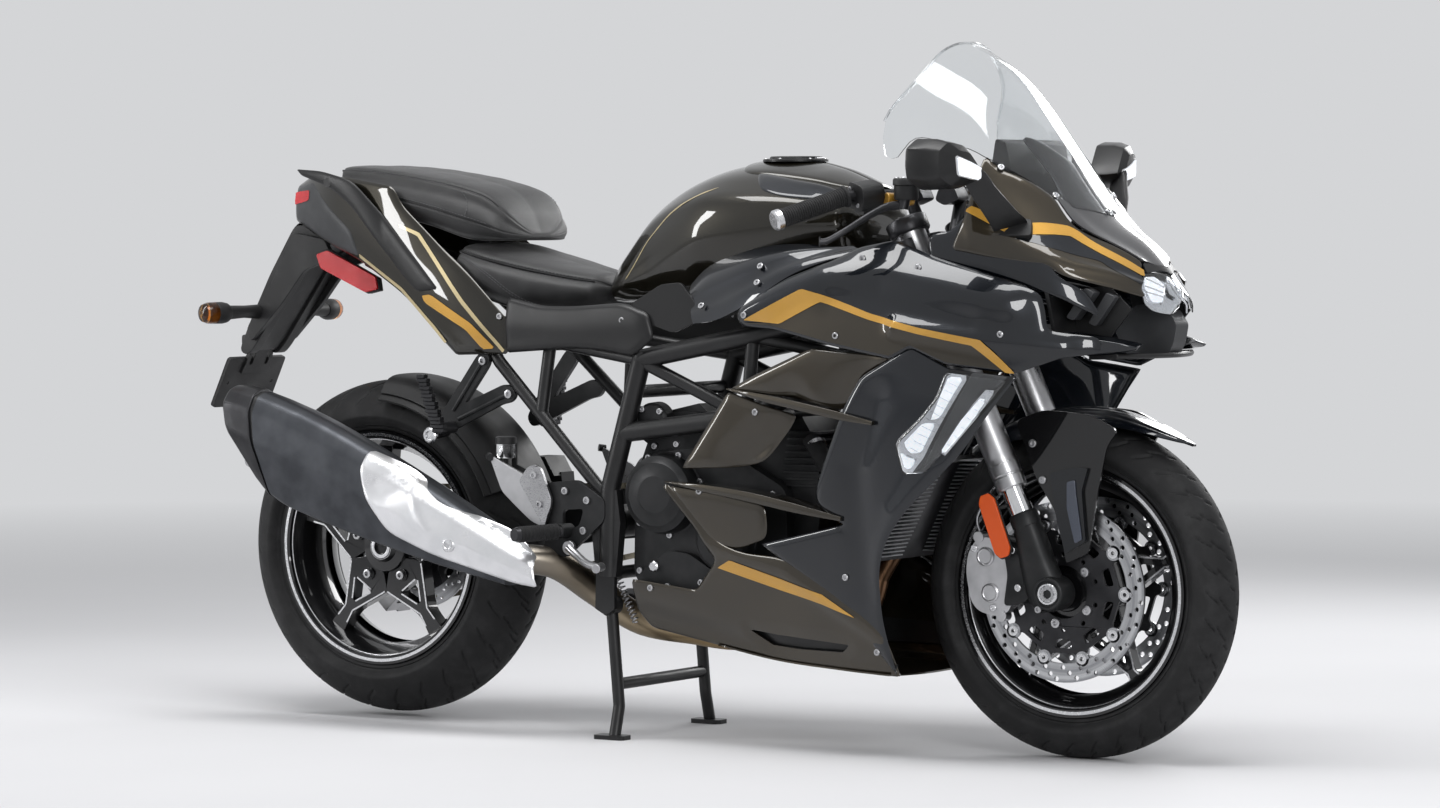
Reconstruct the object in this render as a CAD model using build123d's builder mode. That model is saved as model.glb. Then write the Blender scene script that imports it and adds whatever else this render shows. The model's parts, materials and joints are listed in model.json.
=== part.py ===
"""Sport touring motorcycle on its centre stand, one STEP file per sub-part.

Frame: +X to the front wheel, +Y to the rider's left, +Z up, origin on the floor under the
middle of the overall length. All sizes are in millimetres.
"""
import os
from math import cos, radians, sin

from build123d import *

# ---------------------------------------------------------------- driving dimensions
WHEELBASE = 1480.0
REAR_OVERHANG = 395.0  # rear axle to the end of the licence plate
FRONT_TYRE_R, FRONT_TYRE_W = 300.0, 120.0
REAR_TYRE_R, REAR_TYRE_W = 320.0, 190.0
REAR_LIFT = 8.0  # rear tyre above the floor on the centre stand
BEAD_R, FLANGE_R, FLANGE_T = 216.0, 226.0, 6.0  # 17 inch rims
FRONT_RIM_W, REAR_RIM_W = 89.0, 152.0  # between the flanges
RAKE, TRAIL = 24.7, 103.0
FORK_SPREAD = 214.0
AXLE_R, AXLE_BORE_R = 12.5, 8.0  # hollow front axle
STUB_R = 25.0  # rear stub axle
STUB_END = 185.0  # left end of the rear stub axle
STAND_BORE_R, STAND_BORE_DEPTH = 14.0, 60.0  # paddock-stand bore in the stub axle
DISC_T = 5.0
FRONT_DISC_R = 160.0
DISC_TO_FORK = 37.0  # inner face of each front disc to the middle of its fork leg
CARRIER_R = 96.0  # front disc carrier
REAR_DISC_R, REAR_DISC_Y = 125.0, 62.0
SPROCKET_R, SPROCKET_Y = 98.0, 110.0
PANEL_T = 4.0  # bodywork skin
MAIN_TUBE_R, BRACE_TUBE_R = 18.0, 12.0
RUN_GAP = 0.05  # radial clearance of a shaft in its bore
SIDE_GAP = 1.0  # face clearance beside a turning part
MOVE_GAP = 6.0  # clearance beside parts that turn

# ---------------------------------------------------------------- worked out from them
OVERALL_LENGTH = FRONT_TYRE_R + WHEELBASE + REAR_OVERHANG
FRONT_X = OVERALL_LENGTH / 2 - FRONT_TYRE_R
REAR_X = FRONT_X - WHEELBASE
FRONT_Z = FRONT_TYRE_R
REAR_Z = REAR_TYRE_R + REAR_LIFT
C, S = cos(radians(RAKE)), sin(radians(RAKE))
STEER_X = FRONT_X + TRAIL  # steering axis at floor level
STEER = Plane(origin=(STEER_X, 0, 0), x_dir=(C, 0, S), z_dir=(-S, 0, C))
FORK_U = -TRAIL * C + FRONT_Z * S  # the axle ahead of the steering axis
AXLE_W = TRAIL * S + FRONT_Z * C  # the axle's height along the steering axis
FORK_V = FORK_SPREAD / 2
FRONT_DISC_Y = FORK_V - DISC_TO_FORK
HEAD_X = FRONT_X - 357.5  # steering head, ahead of which the body keeps to the front axle
DRAWN_HEAD_X, DRAWN_REAR_X, DRAWN_END_X = 430.0, -692.5, -1087.5  # as the body is drawn

os.makedirs("parts", exist_ok=True)


def save(part, name):
    """Labels one finished sub-part and writes its STEP file."""
    part.label = name
    export_step(part, f"parts/{name}.step")


def along(x):
    """Where a distance drawn along the body lies for this wheelbase and overhang."""
    if x > DRAWN_HEAD_X:
        return HEAD_X + x - DRAWN_HEAD_X
    behind = x - DRAWN_REAR_X
    if behind > 0:
        return REAR_X + behind * (HEAD_X - REAR_X) / (DRAWN_HEAD_X - DRAWN_REAR_X)
    return REAR_X + behind * REAR_OVERHANG / (DRAWN_REAR_X - DRAWN_END_X)


def body(outline):
    """A drawn outline, each point's first number put in its place along the body."""
    return [(along(x), other) for x, other in outline]


def placed(point):
    """A drawn (x, y, z) put in its place along the body; a Vector is already there."""
    return point if isinstance(point, Vector) else Vector(along(point[0]), *point[1:])


def steer_point(u, v, w):
    """A point given forward of, left of and up along the steering axis."""
    return STEER.from_local_coords(Vector(u, v, w))


def across(x, y, z):
    """Plane across the machine's width at y, its local axes along -X and +Z."""
    return Plane(origin=(x, y, z), x_dir=(-1, 0, 0), z_dir=(0, 1, 0))


def rod(start, end, radius, mode=Mode.ADD):
    """Round bar between two points."""
    a, b = placed(start), placed(end)
    with BuildSketch(Plane(origin=a, z_dir=b - a)) as end_face:
        Circle(radius)
    extrude(end_face.sketch, amount=(b - a).length, dir=(b - a).normalized(), mode=mode)


def bent_tube(points, radii, radius):
    """Round tube along a filleted line of points."""
    with BuildLine() as route:
        FilletPolyline(*[placed(point) for point in points], radius=radii)
    with BuildSketch(Plane(origin=route.line @ 0, z_dir=route.line % 0)) as end_face:
        Circle(radius)
    sweep(end_face.sketch, path=route.line)


def side_plate(outline, y_from, y_to, mode=Mode.ADD, axle=None):
    """Side-view outline extruded between two distances left of centre.

    Its (x, z) points are drawn on the body, or measured from an axle if one is given.
    """
    if axle:
        points = [(axle[0] + x, axle[1] + z) for x, z in outline]
    else:
        points = body(outline)
    with BuildSketch(Plane.XZ.offset(-y_from)) as face:
        Polygon(*points, align=None)
    extrude(face.sketch, amount=y_to - y_from, dir=(0, 1, 0), mode=mode)


def cross_pin(x, z, radius, y_from, y_to, mode=Mode.ADD):
    """Cylinder lying across the machine."""
    rod(Vector(x, y_from, z), Vector(x, y_to, z), radius, mode)


def section_loft(sections, smooth=True):
    """Loft through closed (y, z) outlines at their x, each given as its left half."""
    faces = []
    for x, half in sections:
        whole = list(half) + [(-y, z) for y, z in reversed(half) if y > 0]
        with BuildSketch(Plane.YZ.offset(along(x))) as face:
            with BuildLine():
                if smooth:
                    Spline(*whole, periodic=True)
                else:
                    Polyline(*whole, close=True)
            make_face()
        faces.append(face.sketch)
    if smooth:
        loft(faces)
    else:
        for pair in zip(faces, faces[1:]):
            loft(pair, ruled=True)


def turned_ring(profile, x, z, angle=360.0, start=0.0):
    """Closed outline of (radius, y) points turned about the axle at x, z."""
    hub = Plane(origin=(x, 0, z), x_dir=(cos(radians(start)), 0, sin(radians(start))),
                z_dir=(-sin(radians(start)), 0, cos(radians(start))))
    with BuildSketch(hub) as face:
        with BuildLine():
            Polyline(*profile, close=True)
        make_face()
    revolve(face.sketch, axis=Axis((x, 0, z), (0, -1, 0)), revolution_arc=angle)


# ---------------------------------------------------------------- wheels
def tyre(x, z, outer_r, width, bead_y):
    """Tyre with a round crown, its beads on the rim seats."""
    shoulder_r = outer_r - 0.29 * width - 14
    with BuildSketch(Plane(origin=(x, 0, z), x_dir=(1, 0, 0), z_dir=(0, 0, 1))) as face:
        with BuildLine():
            Line((BEAD_R, -bead_y), (BEAD_R, bead_y))
            Line((BEAD_R, bead_y), (FLANGE_R, bead_y))
            Line((FLANGE_R, bead_y), (shoulder_r, width / 2))
            ThreePointArc((shoulder_r, width / 2), (outer_r, 0), (shoulder_r, -width / 2))
            Line((shoulder_r, -width / 2), (FLANGE_R, -bead_y))
            Line((FLANGE_R, -bead_y), (BEAD_R, -bead_y))
        make_face()
    revolve(face.sketch, axis=Axis((x, 0, z), (0, 1, 0)))


def rim_barrel(x, z, bead_y):
    """Drop-centre rim with a flange on each side."""
    outer = bead_y + FLANGE_T
    well, wall = 192.0, 5.0
    half = [(FLANGE_R, outer), (FLANGE_R, bead_y), (BEAD_R, bead_y), (BEAD_R, bead_y - 16),
            (well, 0.35 * bead_y)]
    inner = [(well - wall, 0.35 * bead_y), (BEAD_R - 8, bead_y - 14), (BEAD_R - 8, outer)]
    outline = half + [(r, -y) for r, y in reversed(half)]
    outline += [(r, -y) for r, y in inner[::-1]] + inner
    turned_ring(outline, x, z)


def spokes(x, z, outline, pocket, y_from, y_to, count=5, first=90.0):
    """Equal spokes of (radius, width offset) outline round the axle, each with a pocket."""
    with BuildSketch(across(x, y_from, z)) as face:
        for shape, mode in ((outline, Mode.ADD), (pocket, Mode.SUBTRACT)):
            with PolarLocations(0, count, start_angle=first):
                Polygon(*shape, align=None, mode=mode)
    extrude(face.sketch, amount=y_to - y_from, dir=(0, 1, 0))


FRONT_BEAD_Y, REAR_BEAD_Y = FRONT_RIM_W / 2, REAR_RIM_W / 2
with BuildPart() as front_tyre:
    tyre(FRONT_X, FRONT_Z, FRONT_TYRE_R, FRONT_TYRE_W, FRONT_BEAD_Y)
save(front_tyre.part, "front_tyre")

with BuildPart() as rear_tyre:
    tyre(REAR_X, REAR_Z, REAR_TYRE_R, REAR_TYRE_W, REAR_BEAD_Y)
save(rear_tyre.part, "rear_tyre")

HUB_Y = FRONT_DISC_Y - 4  # the disc carriers stand on the hub's ends
SLIM_SPOKE = [(30, -18), (62, -50), (176, -10), (190, -15), (190, 15), (176, 10), (62, 50),
              (30, 18)]
SLIM_POCKET = [(74, -31), (74, 31), (160, 0)]
with BuildPart() as front_rim:
    rim_barrel(FRONT_X, FRONT_Z, FRONT_BEAD_Y)
    spokes(FRONT_X, FRONT_Z, SLIM_SPOKE, SLIM_POCKET, -14, 14)
    cross_pin(FRONT_X, FRONT_Z, 36, -HUB_Y, HUB_Y)
    cross_pin(FRONT_X, FRONT_Z, 46, HUB_Y - 8, HUB_Y)
    cross_pin(FRONT_X, FRONT_Z, 46, -HUB_Y, 8 - HUB_Y)
    cross_pin(FRONT_X, FRONT_Z, AXLE_R + RUN_GAP, -HUB_Y - 1, HUB_Y + 1, Mode.SUBTRACT)
save(front_rim.part, "front_rim")

STAR_SPOKE = [(44, -26), (70, -53), (150, -12), (203, -18), (203, 18), (150, 12), (70, 53),
              (44, 26)]
STAR_POCKET = [(88, -25), (88, 25), (134, 0)]
with BuildPart() as rear_rim:
    rim_barrel(REAR_X, REAR_Z, REAR_BEAD_Y)
    spokes(REAR_X, REAR_Z, STAR_SPOKE, STAR_POCKET, -52, -20)
    cross_pin(REAR_X, REAR_Z, 52, -58, 62)
    cross_pin(REAR_X, REAR_Z, STUB_R, -70, STUB_END)
    cross_pin(REAR_X, REAR_Z, STAND_BORE_R, STUB_END - STAND_BORE_DEPTH, STUB_END, Mode.SUBTRACT)
save(rear_rim.part, "rear_rim")


def ring(x, z, outer_r, inner_r, y_from, y_to):
    """Flat ring across the machine."""
    turned_ring([(inner_r, y_from), (outer_r, y_from), (outer_r, y_to), (inner_r, y_to)], x, z)


with BuildPart() as front_discs:
    for side in (1, -1):
        face_y = side * FRONT_DISC_Y
        ring(FRONT_X, FRONT_Z, FRONT_DISC_R, 92, face_y, face_y + side * DISC_T)
        ring(FRONT_X, FRONT_Z, CARRIER_R, 28, side * HUB_Y, face_y)
save(front_discs.part, "front_discs")

with BuildPart() as rear_disc:
    ring(REAR_X, REAR_Z, REAR_DISC_R, STUB_R, REAR_DISC_Y, REAR_DISC_Y + DISC_T)
save(rear_disc.part, "rear_disc")

with BuildPart() as rear_sprocket:
    ring(REAR_X, REAR_Z, SPROCKET_R, STUB_R, SPROCKET_Y, SPROCKET_Y + 8)
    ring(REAR_X, REAR_Z, 48, STUB_R, REAR_DISC_Y + DISC_T, SPROCKET_Y)
save(rear_sprocket.part, "rear_sprocket")

# ---------------------------------------------------------------- steering
STEM_R, HEAD_R = 18.0, 36.0
LOWER_CLAMP_W, UPPER_CLAMP_W, CLAMP_T = 795.0, 985.0, 28.0
FORK_OUTER_R, FORK_INNER_R, FORK_FOOT_R = 28.0, 21.5, 24.0
FORK_TOP_W, FORK_TUBE_W, FORK_FOOT_W = 1035.0, 515.0, 420.0


def on_steering(w):
    """Plane square to the steering axis at height w along it."""
    return Plane(origin=steer_point(0, 0, w), x_dir=STEER.x_dir, z_dir=STEER.z_dir)


with BuildPart() as triple_clamps:
    for w in (LOWER_CLAMP_W, UPPER_CLAMP_W):
        with BuildSketch(on_steering(w)) as plate:
            with BuildLine():
                Polyline((-30, -30), (-30, 30), (FORK_U - 38, FORK_V + 38),
                         (FORK_U + 38, FORK_V + 38), (FORK_U + 38, FORK_V - 30),
                         (FORK_U + 20, 30), (FORK_U + 20, -30), (FORK_U + 38, 30 - FORK_V),
                         (FORK_U + 38, -FORK_V - 38), (FORK_U - 38, -FORK_V - 38), close=True)
            make_face()
            with Locations((FORK_U, FORK_V), (FORK_U, -FORK_V)):
                Circle(FORK_OUTER_R, mode=Mode.SUBTRACT)
        extrude(plate.sketch, amount=CLAMP_T, dir=STEER.z_dir)
    rod(steer_point(0, 0, LOWER_CLAMP_W), steer_point(0, 0, UPPER_CLAMP_W + CLAMP_T), STEM_R)
save(triple_clamps.part, "triple_clamps")

with BuildPart() as front_forks:
    for side in (1, -1):
        v = side * FORK_V
        rod(steer_point(FORK_U, v, FORK_TUBE_W), steer_point(FORK_U, v, FORK_TOP_W), FORK_OUTER_R)
        rod(steer_point(FORK_U, v, FORK_FOOT_W), steer_point(FORK_U, v, FORK_TUBE_W), FORK_INNER_R)
        rod(steer_point(FORK_U, v, AXLE_W), steer_point(FORK_U, v, FORK_FOOT_W), FORK_FOOT_R)
        cross_pin(FRONT_X, FRONT_Z, 27, v - 24, v + 24)
    cross_pin(FRONT_X, FRONT_Z, AXLE_R, -FORK_V - 25, FORK_V + 25, Mode.SUBTRACT)
save(front_forks.part, "front_forks")

with BuildPart() as front_axle:
    cross_pin(FRONT_X, FRONT_Z, AXLE_R, -FORK_V - 28, FORK_V + 28)
    cross_pin(FRONT_X, FRONT_Z, AXLE_BORE_R, -FORK_V - 28, FORK_V + 28, Mode.SUBTRACT)
save(front_axle.part, "front_axle")

# Radial calipers behind the fork feet, each with a slot round its disc.
CALIPER = [(-FRONT_DISC_R - 23, 72), (6 - FRONT_DISC_R, 98), (74 - FRONT_DISC_R, 78),
           (84 - FRONT_DISC_R, -32), (48 - FRONT_DISC_R, -50), (-FRONT_DISC_R - 7, -30)]
CALIPER_LUG = [(62 - FRONT_DISC_R, 80), (-53, 95), (-46, 0), (72 - FRONT_DISC_R, -10)]
with BuildPart() as front_calipers:
    side_plate(CALIPER, FRONT_DISC_Y - 14, FRONT_DISC_Y + 40, axle=(FRONT_X, FRONT_Z))
    with BuildSketch(across(FRONT_X, FRONT_DISC_Y - 5, FRONT_Z)) as slot:
        Circle(FRONT_DISC_R + MOVE_GAP)
    extrude(slot.sketch, amount=DISC_T + 10, dir=(0, 1, 0), mode=Mode.SUBTRACT)
    cross_pin(FRONT_X, FRONT_Z, CARRIER_R + MOVE_GAP, FRONT_DISC_Y - 20, FRONT_DISC_Y + 10,
              Mode.SUBTRACT)
    side_plate(CALIPER_LUG, FRONT_DISC_Y + 14, FRONT_DISC_Y + 50, axle=(FRONT_X, FRONT_Z))
    rod(steer_point(FORK_U, FORK_V, AXLE_W), steer_point(FORK_U, FORK_V, FORK_TUBE_W),
        FORK_FOOT_R, Mode.SUBTRACT)
    mirror(about=Plane.XZ)
save(front_calipers.part, "front_calipers")

FENDER_R, FENDER_T = FRONT_TYRE_R + 9, 3.0
FENDER_REACH, FENDER_START = 78.0, 50.0  # turned angle, and its front end above level
FENDER_SHROUD = [(-66, 260), (12, 305), (92, 275), (74, 170), (59, 69), (15, 51), (-3, 140),
                 (-43, 200)]
SHROUD_IN, SHROUD_OUT = FORK_V - 23, FORK_V - 13  # its face goes a little into the fork leg
SKIRT_Y = FORK_V - FORK_OUTER_R  # the skirts lie against the fork legs
with BuildPart() as front_fender:
    turned_ring([(FENDER_R - 22, SKIRT_Y - 3), (FENDER_R - 4, 50), (FENDER_R, 0),
                 (FENDER_R - 4, -50), (FENDER_R - 22, 3 - SKIRT_Y), (FENDER_R - 18, -SKIRT_Y),
                 (FENDER_R, -52), (FENDER_R + FENDER_T, 0), (FENDER_R, 52),
                 (FENDER_R - 18, SKIRT_Y)], FRONT_X, FRONT_Z, FENDER_REACH, FENDER_START)
    for side in (1, -1):
        side_plate(FENDER_SHROUD, side * (SKIRT_Y - 3), side * SHROUD_OUT,
                   axle=(FRONT_X, FRONT_Z))
        cross_pin(FRONT_X, FRONT_Z, FENDER_R - 24, side * (SKIRT_Y - 4), side * SHROUD_IN,
                  Mode.SUBTRACT)
    for side in (1, -1):
        rod(steer_point(FORK_U, side * FORK_V, AXLE_W),
            steer_point(FORK_U, side * FORK_V, FORK_TOP_W), FORK_OUTER_R, Mode.SUBTRACT)
save(front_fender.part, "front_fender")

BAR_R, GRIP_R = 11.0, 17.0
GRIP_IN, GRIP_OUT = (443, 235, 998), (365, 350, 955)
with BuildPart() as handlebars:
    riser = steer_point(FORK_U, FORK_V - 50, UPPER_CLAMP_W + CLAMP_T)
    rod(riser, riser + 30 * STEER.z_dir, 20)
    top = riser + 42 * STEER.z_dir
    rod(riser + 30 * STEER.z_dir, top, 18)
    bent_tube([riser + 30 * STEER.z_dir - Vector(0, 6, 0), (480, 150, 996), GRIP_IN, GRIP_OUT],
              [28, 60], BAR_R)
    rod(GRIP_IN, GRIP_OUT, GRIP_R)
    rod(GRIP_OUT, (361, 355, 953), 19)
    rod((470, 195, 999), GRIP_IN, 24)
    mirror(about=Plane.XZ)
save(handlebars.part, "handlebars")

with BuildPart() as control_levers:
    rod((510, 196, 985), (536, 200, 982), 15)
    rod((484, 196, 1000), (514, 196, 984), 15)
    rod((536, 195, 982), (452, 330, 926), 7)
    rod((536, 190, 990), (536, 190, 1030), 24)
    rod((470, 195, 999), GRIP_IN, 24, Mode.SUBTRACT)
    mirror(about=Plane.XZ)
save(control_levers.part, "control_levers")

# ---------------------------------------------------------------- frame and engine
PIVOT_X, PIVOT_Z = along(-108), 400.0  # swingarm
RAIL_Y = 166.0  # frame tubes at the pivot plates, left of centre
RAIL_OUT = RAIL_Y + MAIN_TUBE_R
PLATE_IN, PLATE_OUT = RAIL_Y - 10, RAIL_Y + 10  # pivot plates
HEAD_LOW_W, HEAD_HIGH_W = LOWER_CLAMP_W + CLAMP_T + SIDE_GAP, UPPER_CLAMP_W - SIDE_GAP
ENGINE_Y = 120.0
PIVOT_PLATE = [(-86, 300), (-130, 300), (-140, 400), (-132, 460), (-84, 460), (-76, 400)]


def cut_by(*pieces):
    """Takes the room of finished neighbours out of the piece being made."""
    for piece in pieces:
        add(piece.part, mode=Mode.SUBTRACT)


with BuildPart() as steering_head:
    rod(steer_point(0, 0, HEAD_LOW_W), steer_point(0, 0, HEAD_HIGH_W), HEAD_R)
    rod(steer_point(0, 0, HEAD_LOW_W - 5), steer_point(0, 0, HEAD_HIGH_W + 5),
        STEM_R + RUN_GAP, Mode.SUBTRACT)
save(steering_head.part, "steering_head")

# One welded truss of tubes on each side, from the steering head to the swingarm pivot.
with BuildPart() as trellis_frame:
    for side in (1, -1):
        rail_y = RAIL_Y * side
        bent_tube([steer_point(0, 14 * side, 935), steer_point(-75, 60 * side, 930),
                   steer_point(-135, 120 * side, 925), (210, rail_y, 748), (-40, rail_y, 700)],
                  [60, 60, 120], MAIN_TUBE_R)
        bent_tube([steer_point(0, 14 * side, 856), steer_point(-75, 60 * side, 856),
                   steer_point(-135, 125 * side, 852), (200, rail_y, 600), (-75, rail_y, 565)],
                  [60, 60, 90], MAIN_TUBE_R)
        bent_tube([(-30, rail_y, 716), (-104, rail_y, 460), (-108, rail_y, 300)], [80],
                  MAIN_TUBE_R)
        rod((210, rail_y, 745), (400, 129 * side, 705), BRACE_TUBE_R)
        rod((205, rail_y, 745), (190, rail_y, 600), BRACE_TUBE_R)
        rod((-38, rail_y, 698), (190, rail_y, 600), BRACE_TUBE_R)
        side_plate(PIVOT_PLATE, side * PLATE_IN, side * PLATE_OUT)
        rod((250, side * ENGINE_Y, 600), (250, side * (RAIL_Y - 6), 600), 16)
    rod(steer_point(0, 0, HEAD_LOW_W), steer_point(0, 0, HEAD_HIGH_W), HEAD_R, Mode.SUBTRACT)
save(trellis_frame.part, "trellis_frame")

# Seat rails with their struts, bolted to the trusses.
with BuildPart() as rear_subframe:
    for side in (1, -1):
        bent_tube([(-40, RAIL_Y * side, 700), (-250, 140 * side, 730), (-450, 112 * side, 786),
                   (-600, 90 * side, 870), (-790, 60 * side, 940)], [180, 200, 200], BRACE_TUBE_R)
        bent_tube([(-106, RAIL_Y * side, 440), (-365, 142 * side, 690), (-452, 112 * side, 788)],
                  [50], BRACE_TUBE_R)
        rod((-252, 140 * side, 728), (-266, 150 * side, 596), BRACE_TUBE_R)
    cut_by(trellis_frame)
save(rear_subframe.part, "rear_subframe")

with BuildPart() as frame_cross_tubes:
    for x, z, reach in ((-60, 640, RAIL_Y - 6), (-100, 306, RAIL_Y), (-600, 870, 88),
                        (-790, 940, 60)):
        cross_pin(along(x), z, BRACE_TUBE_R, -reach, reach)
    cut_by(trellis_frame, rear_subframe)
save(frame_cross_tubes.part, "frame_cross_tubes")
FRAME = (steering_head, trellis_frame, rear_subframe, frame_cross_tubes)

ENGINE = [(-60, 245), (240, 235), (300, 300), (330, 520), (280, 600), (180, 560), (130, 560),
          (60, 620), (-30, 600), (-70, 500), (-60, 470), (-60, 330)]
CHAIN_Y, CHAIN_W, CHAIN_T = 106.0, 14.0, 10.0
DRIVE_X, DRIVE_Z, DRIVE_R = along(-20), 410.0, 42.0  # hidden drive sprocket


def chain_pocket():
    """Room for the chain in the left rear of the engine."""
    room = DRIVE_R + CHAIN_T + 3
    cross_pin(DRIVE_X, DRIVE_Z, room, CHAIN_Y - 3, CHAIN_Y + CHAIN_W + 4, Mode.SUBTRACT)
    side_plate([(-100, -room - 24), (-100, room), (0, room), (0, -room)], CHAIN_Y - 3,
               CHAIN_Y + CHAIN_W + 4, Mode.SUBTRACT, axle=(DRIVE_X, DRIVE_Z))


with BuildPart() as engine_block:
    side_plate(ENGINE, -ENGINE_Y, ENGINE_Y)
    chain_pocket()
save(engine_block.part, "engine_block")

CASE = [(-64, 300), (-58, 480), (-20, 530), (180, 530), (262, 470), (262, 330), (180, 258),
        (-20, 258)]
CASE_Y = 150.0
with BuildPart() as engine_covers:
    for side in (1, -1):
        side_plate(CASE, side * ENGINE_Y, side * CASE_Y)
        cross_pin(along(8), 455, 72, side * CASE_Y, side * (CASE_Y + 44))
        cross_pin(along(140), 375, 58, side * CASE_Y, side * (CASE_Y + 32))
    chain_pocket()
save(engine_covers.part, "engine_covers")

RADIATOR = [(508, 520), (418, 335), (378, 350), (468, 536)]
with BuildPart() as radiator:
    side_plate(RADIATOR, -172, 172)
    for side in (1, -1):
        rod((478, side * 110, 512), (385, side * 110, 546), 9)
        rod((390, side * 110, 545), (310, side * 110, 530), 9)
    cut_by(engine_block)
save(radiator.part, "radiator")

ARM_IN, ARM_OUT = 128.0, 172.0
HUB_R, SWING_R = 70.0, 30.0
with BuildPart() as swingarm:
    side_plate([(-74, 380), (-74, 425), (-110, 438), (-330, 452), (-560, 392), (-692, 388),
                (-740, 328), (-692, 270), (-560, 300), (-330, 340), (-110, 362)], ARM_IN, ARM_OUT)
    side_plate([(-60, 340), (-150, 340), (-150, 480), (-60, 480)], PLATE_IN - 10, ARM_OUT,
               Mode.SUBTRACT)
    cross_pin(REAR_X, REAR_Z, HUB_R, ARM_IN, ARM_OUT)
    cross_pin(PIVOT_X, PIVOT_Z, SWING_R, 8 - PLATE_IN, ARM_IN)
    cross_pin(PIVOT_X, PIVOT_Z, 15, -PLATE_IN, PLATE_IN)
    cut_by(*FRAME)
    side_plate([(-300, 400), (-300, 450), (-200, 456), (-200, 400)], CHAIN_Y + CHAIN_W, ARM_IN)
    cross_pin(REAR_X, REAR_Z, STUB_R + RUN_GAP, ARM_IN - 1, ARM_OUT + 1, Mode.SUBTRACT)
save(swingarm.part, "swingarm")

CALIPER_TURN = 225.0  # behind and below the rear axle
with BuildPart() as rear_brake_caliper:
    for reach, y_from, y_to in ((138, REAR_DISC_Y - 18, REAR_DISC_Y + 24), (138, 86, ARM_IN)):
        with BuildSketch(across(REAR_X, y_from, REAR_Z)) as block:
            with Locations(Location((0, 0), 180 - CALIPER_TURN)):
                with Locations((reach if y_from > 80 else 112, 0)):
                    Rectangle(22 if y_from > 80 else 64, 92)
        extrude(block.sketch, amount=y_to - y_from, dir=(0, 1, 0))
    with BuildSketch(across(REAR_X, REAR_DISC_Y - 5, REAR_Z)) as slot:
        Circle(REAR_DISC_R + MOVE_GAP)
    extrude(slot.sketch, amount=DISC_T + 10, dir=(0, 1, 0), mode=Mode.SUBTRACT)
    with BuildSketch(across(REAR_X, ARM_IN - 5, REAR_Z)) as bracket:
        with Locations(Location((0, 0), 180 - CALIPER_TURN)):
            with Locations((105, 0)):
                Rectangle(90, 40)
    extrude(bracket.sketch, amount=5, dir=(0, 1, 0))
save(rear_brake_caliper.part, "rear_brake_caliper")

HUGGER_R = REAR_TYRE_R + 8
with BuildPart() as rear_hugger:
    turned_ring([(HUGGER_R - 46, 101), (HUGGER_R - 14, 62), (HUGGER_R, 0), (HUGGER_R - 14, -62),
                 (HUGGER_R - 46, -101), (HUGGER_R - 42, -104), (HUGGER_R - 9, -65),
                 (HUGGER_R + 4, 0), (HUGGER_R - 9, 65), (HUGGER_R - 42, 104)],
                REAR_X, REAR_Z, 64, 22)
    for outline, y_from in (([(284.5, 136), (262.5, 172), (222.5, 172), (212.5, 136)], 104),
                            ([(292.5, 72), (284.5, 142), (212.5, 142), (202.5, 52)], ARM_IN)):
        side_plate(outline, y_from, ARM_OUT, axle=(REAR_X, REAR_Z))
    with BuildSketch(across(REAR_X, 90, REAR_Z)) as wheel_room:
        Circle(HUGGER_R - 44)
    extrude(wheel_room.sketch, amount=90, dir=(0, 1, 0), mode=Mode.SUBTRACT)
    side_plate([(-74, 380), (-74, 425), (-110, 438), (-330, 452), (-560, 392), (-692, 388),
                (-740, 328), (-692, 270), (-560, 300), (-330, 340), (-110, 362)],
               ARM_IN, ARM_OUT + 1, Mode.SUBTRACT)
save(rear_hugger.part, "rear_hugger")

# Chain: a fixed loop round the rear sprocket and the hidden drive sprocket.
with BuildPart() as drive_chain:
    with BuildSketch(across(REAR_X, CHAIN_Y, REAR_Z)) as loop_face:
        for grow, mode in ((CHAIN_T, Mode.ADD), (0, Mode.SUBTRACT)):
            with BuildSketch(mode=Mode.PRIVATE) as belt:
                Circle(SPROCKET_R + MOVE_GAP + grow)
                with Locations((REAR_X - DRIVE_X, DRIVE_Z - REAR_Z)):
                    Circle(DRIVE_R + grow)
                make_hull()
            add(belt.sketch_local, mode=mode)
    extrude(loop_face.sketch, amount=CHAIN_W, dir=(0, 1, 0))
save(drive_chain.part, "drive_chain")

# ---------------------------------------------------------------- exhaust
CAN_LINE = [(-262, 318, 92, 84), (-400, 372, 106, 128), (-600, 446, 112, 172),
            (-820, 528, 116, 196), (-862, 543, 112, 190)]  # x, z, width, height
CAN_Y, CAN_WALL = -234.0, 3.0
CAN_AXIS = Vector(-600, 0, 225).normalized()


def can_loft(stations, grow=0.0, mode=Mode.ADD):
    """Oval silencer body through (x, z, width, height) stations."""
    ovals = []
    for x, z, width, height in stations:
        with BuildSketch(Plane((along(x), CAN_Y, z), x_dir=(0, 1, 0), z_dir=CAN_AXIS)) as oval:
            Ellipse(width / 2 + grow, height / 2 + grow)
        ovals.append(oval.sketch)
    loft(ovals, mode=mode)


with BuildPart() as muffler_can:
    can_loft(CAN_LINE[:4])
    can_loft(CAN_LINE[:4], -CAN_WALL, Mode.SUBTRACT)
save(muffler_can.part, "muffler_can")

with BuildPart() as muffler_end_cap:
    can_loft(CAN_LINE[3:])
save(muffler_end_cap.part, "muffler_end_cap")

with BuildPart() as muffler_heat_shield:
    can_loft(CAN_LINE[:4], 5)
    can_loft(CAN_LINE[:4], 0, Mode.SUBTRACT)
    side_plate([(-240, 280), (-290, 400), (-420, 462), (-640, 560), (-700, 530), (-600, 440),
                (-420, 340), (-300, 285)], -320, CAN_Y - 10, Mode.INTERSECT)
save(muffler_heat_shield.part, "muffler_heat_shield")

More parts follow.
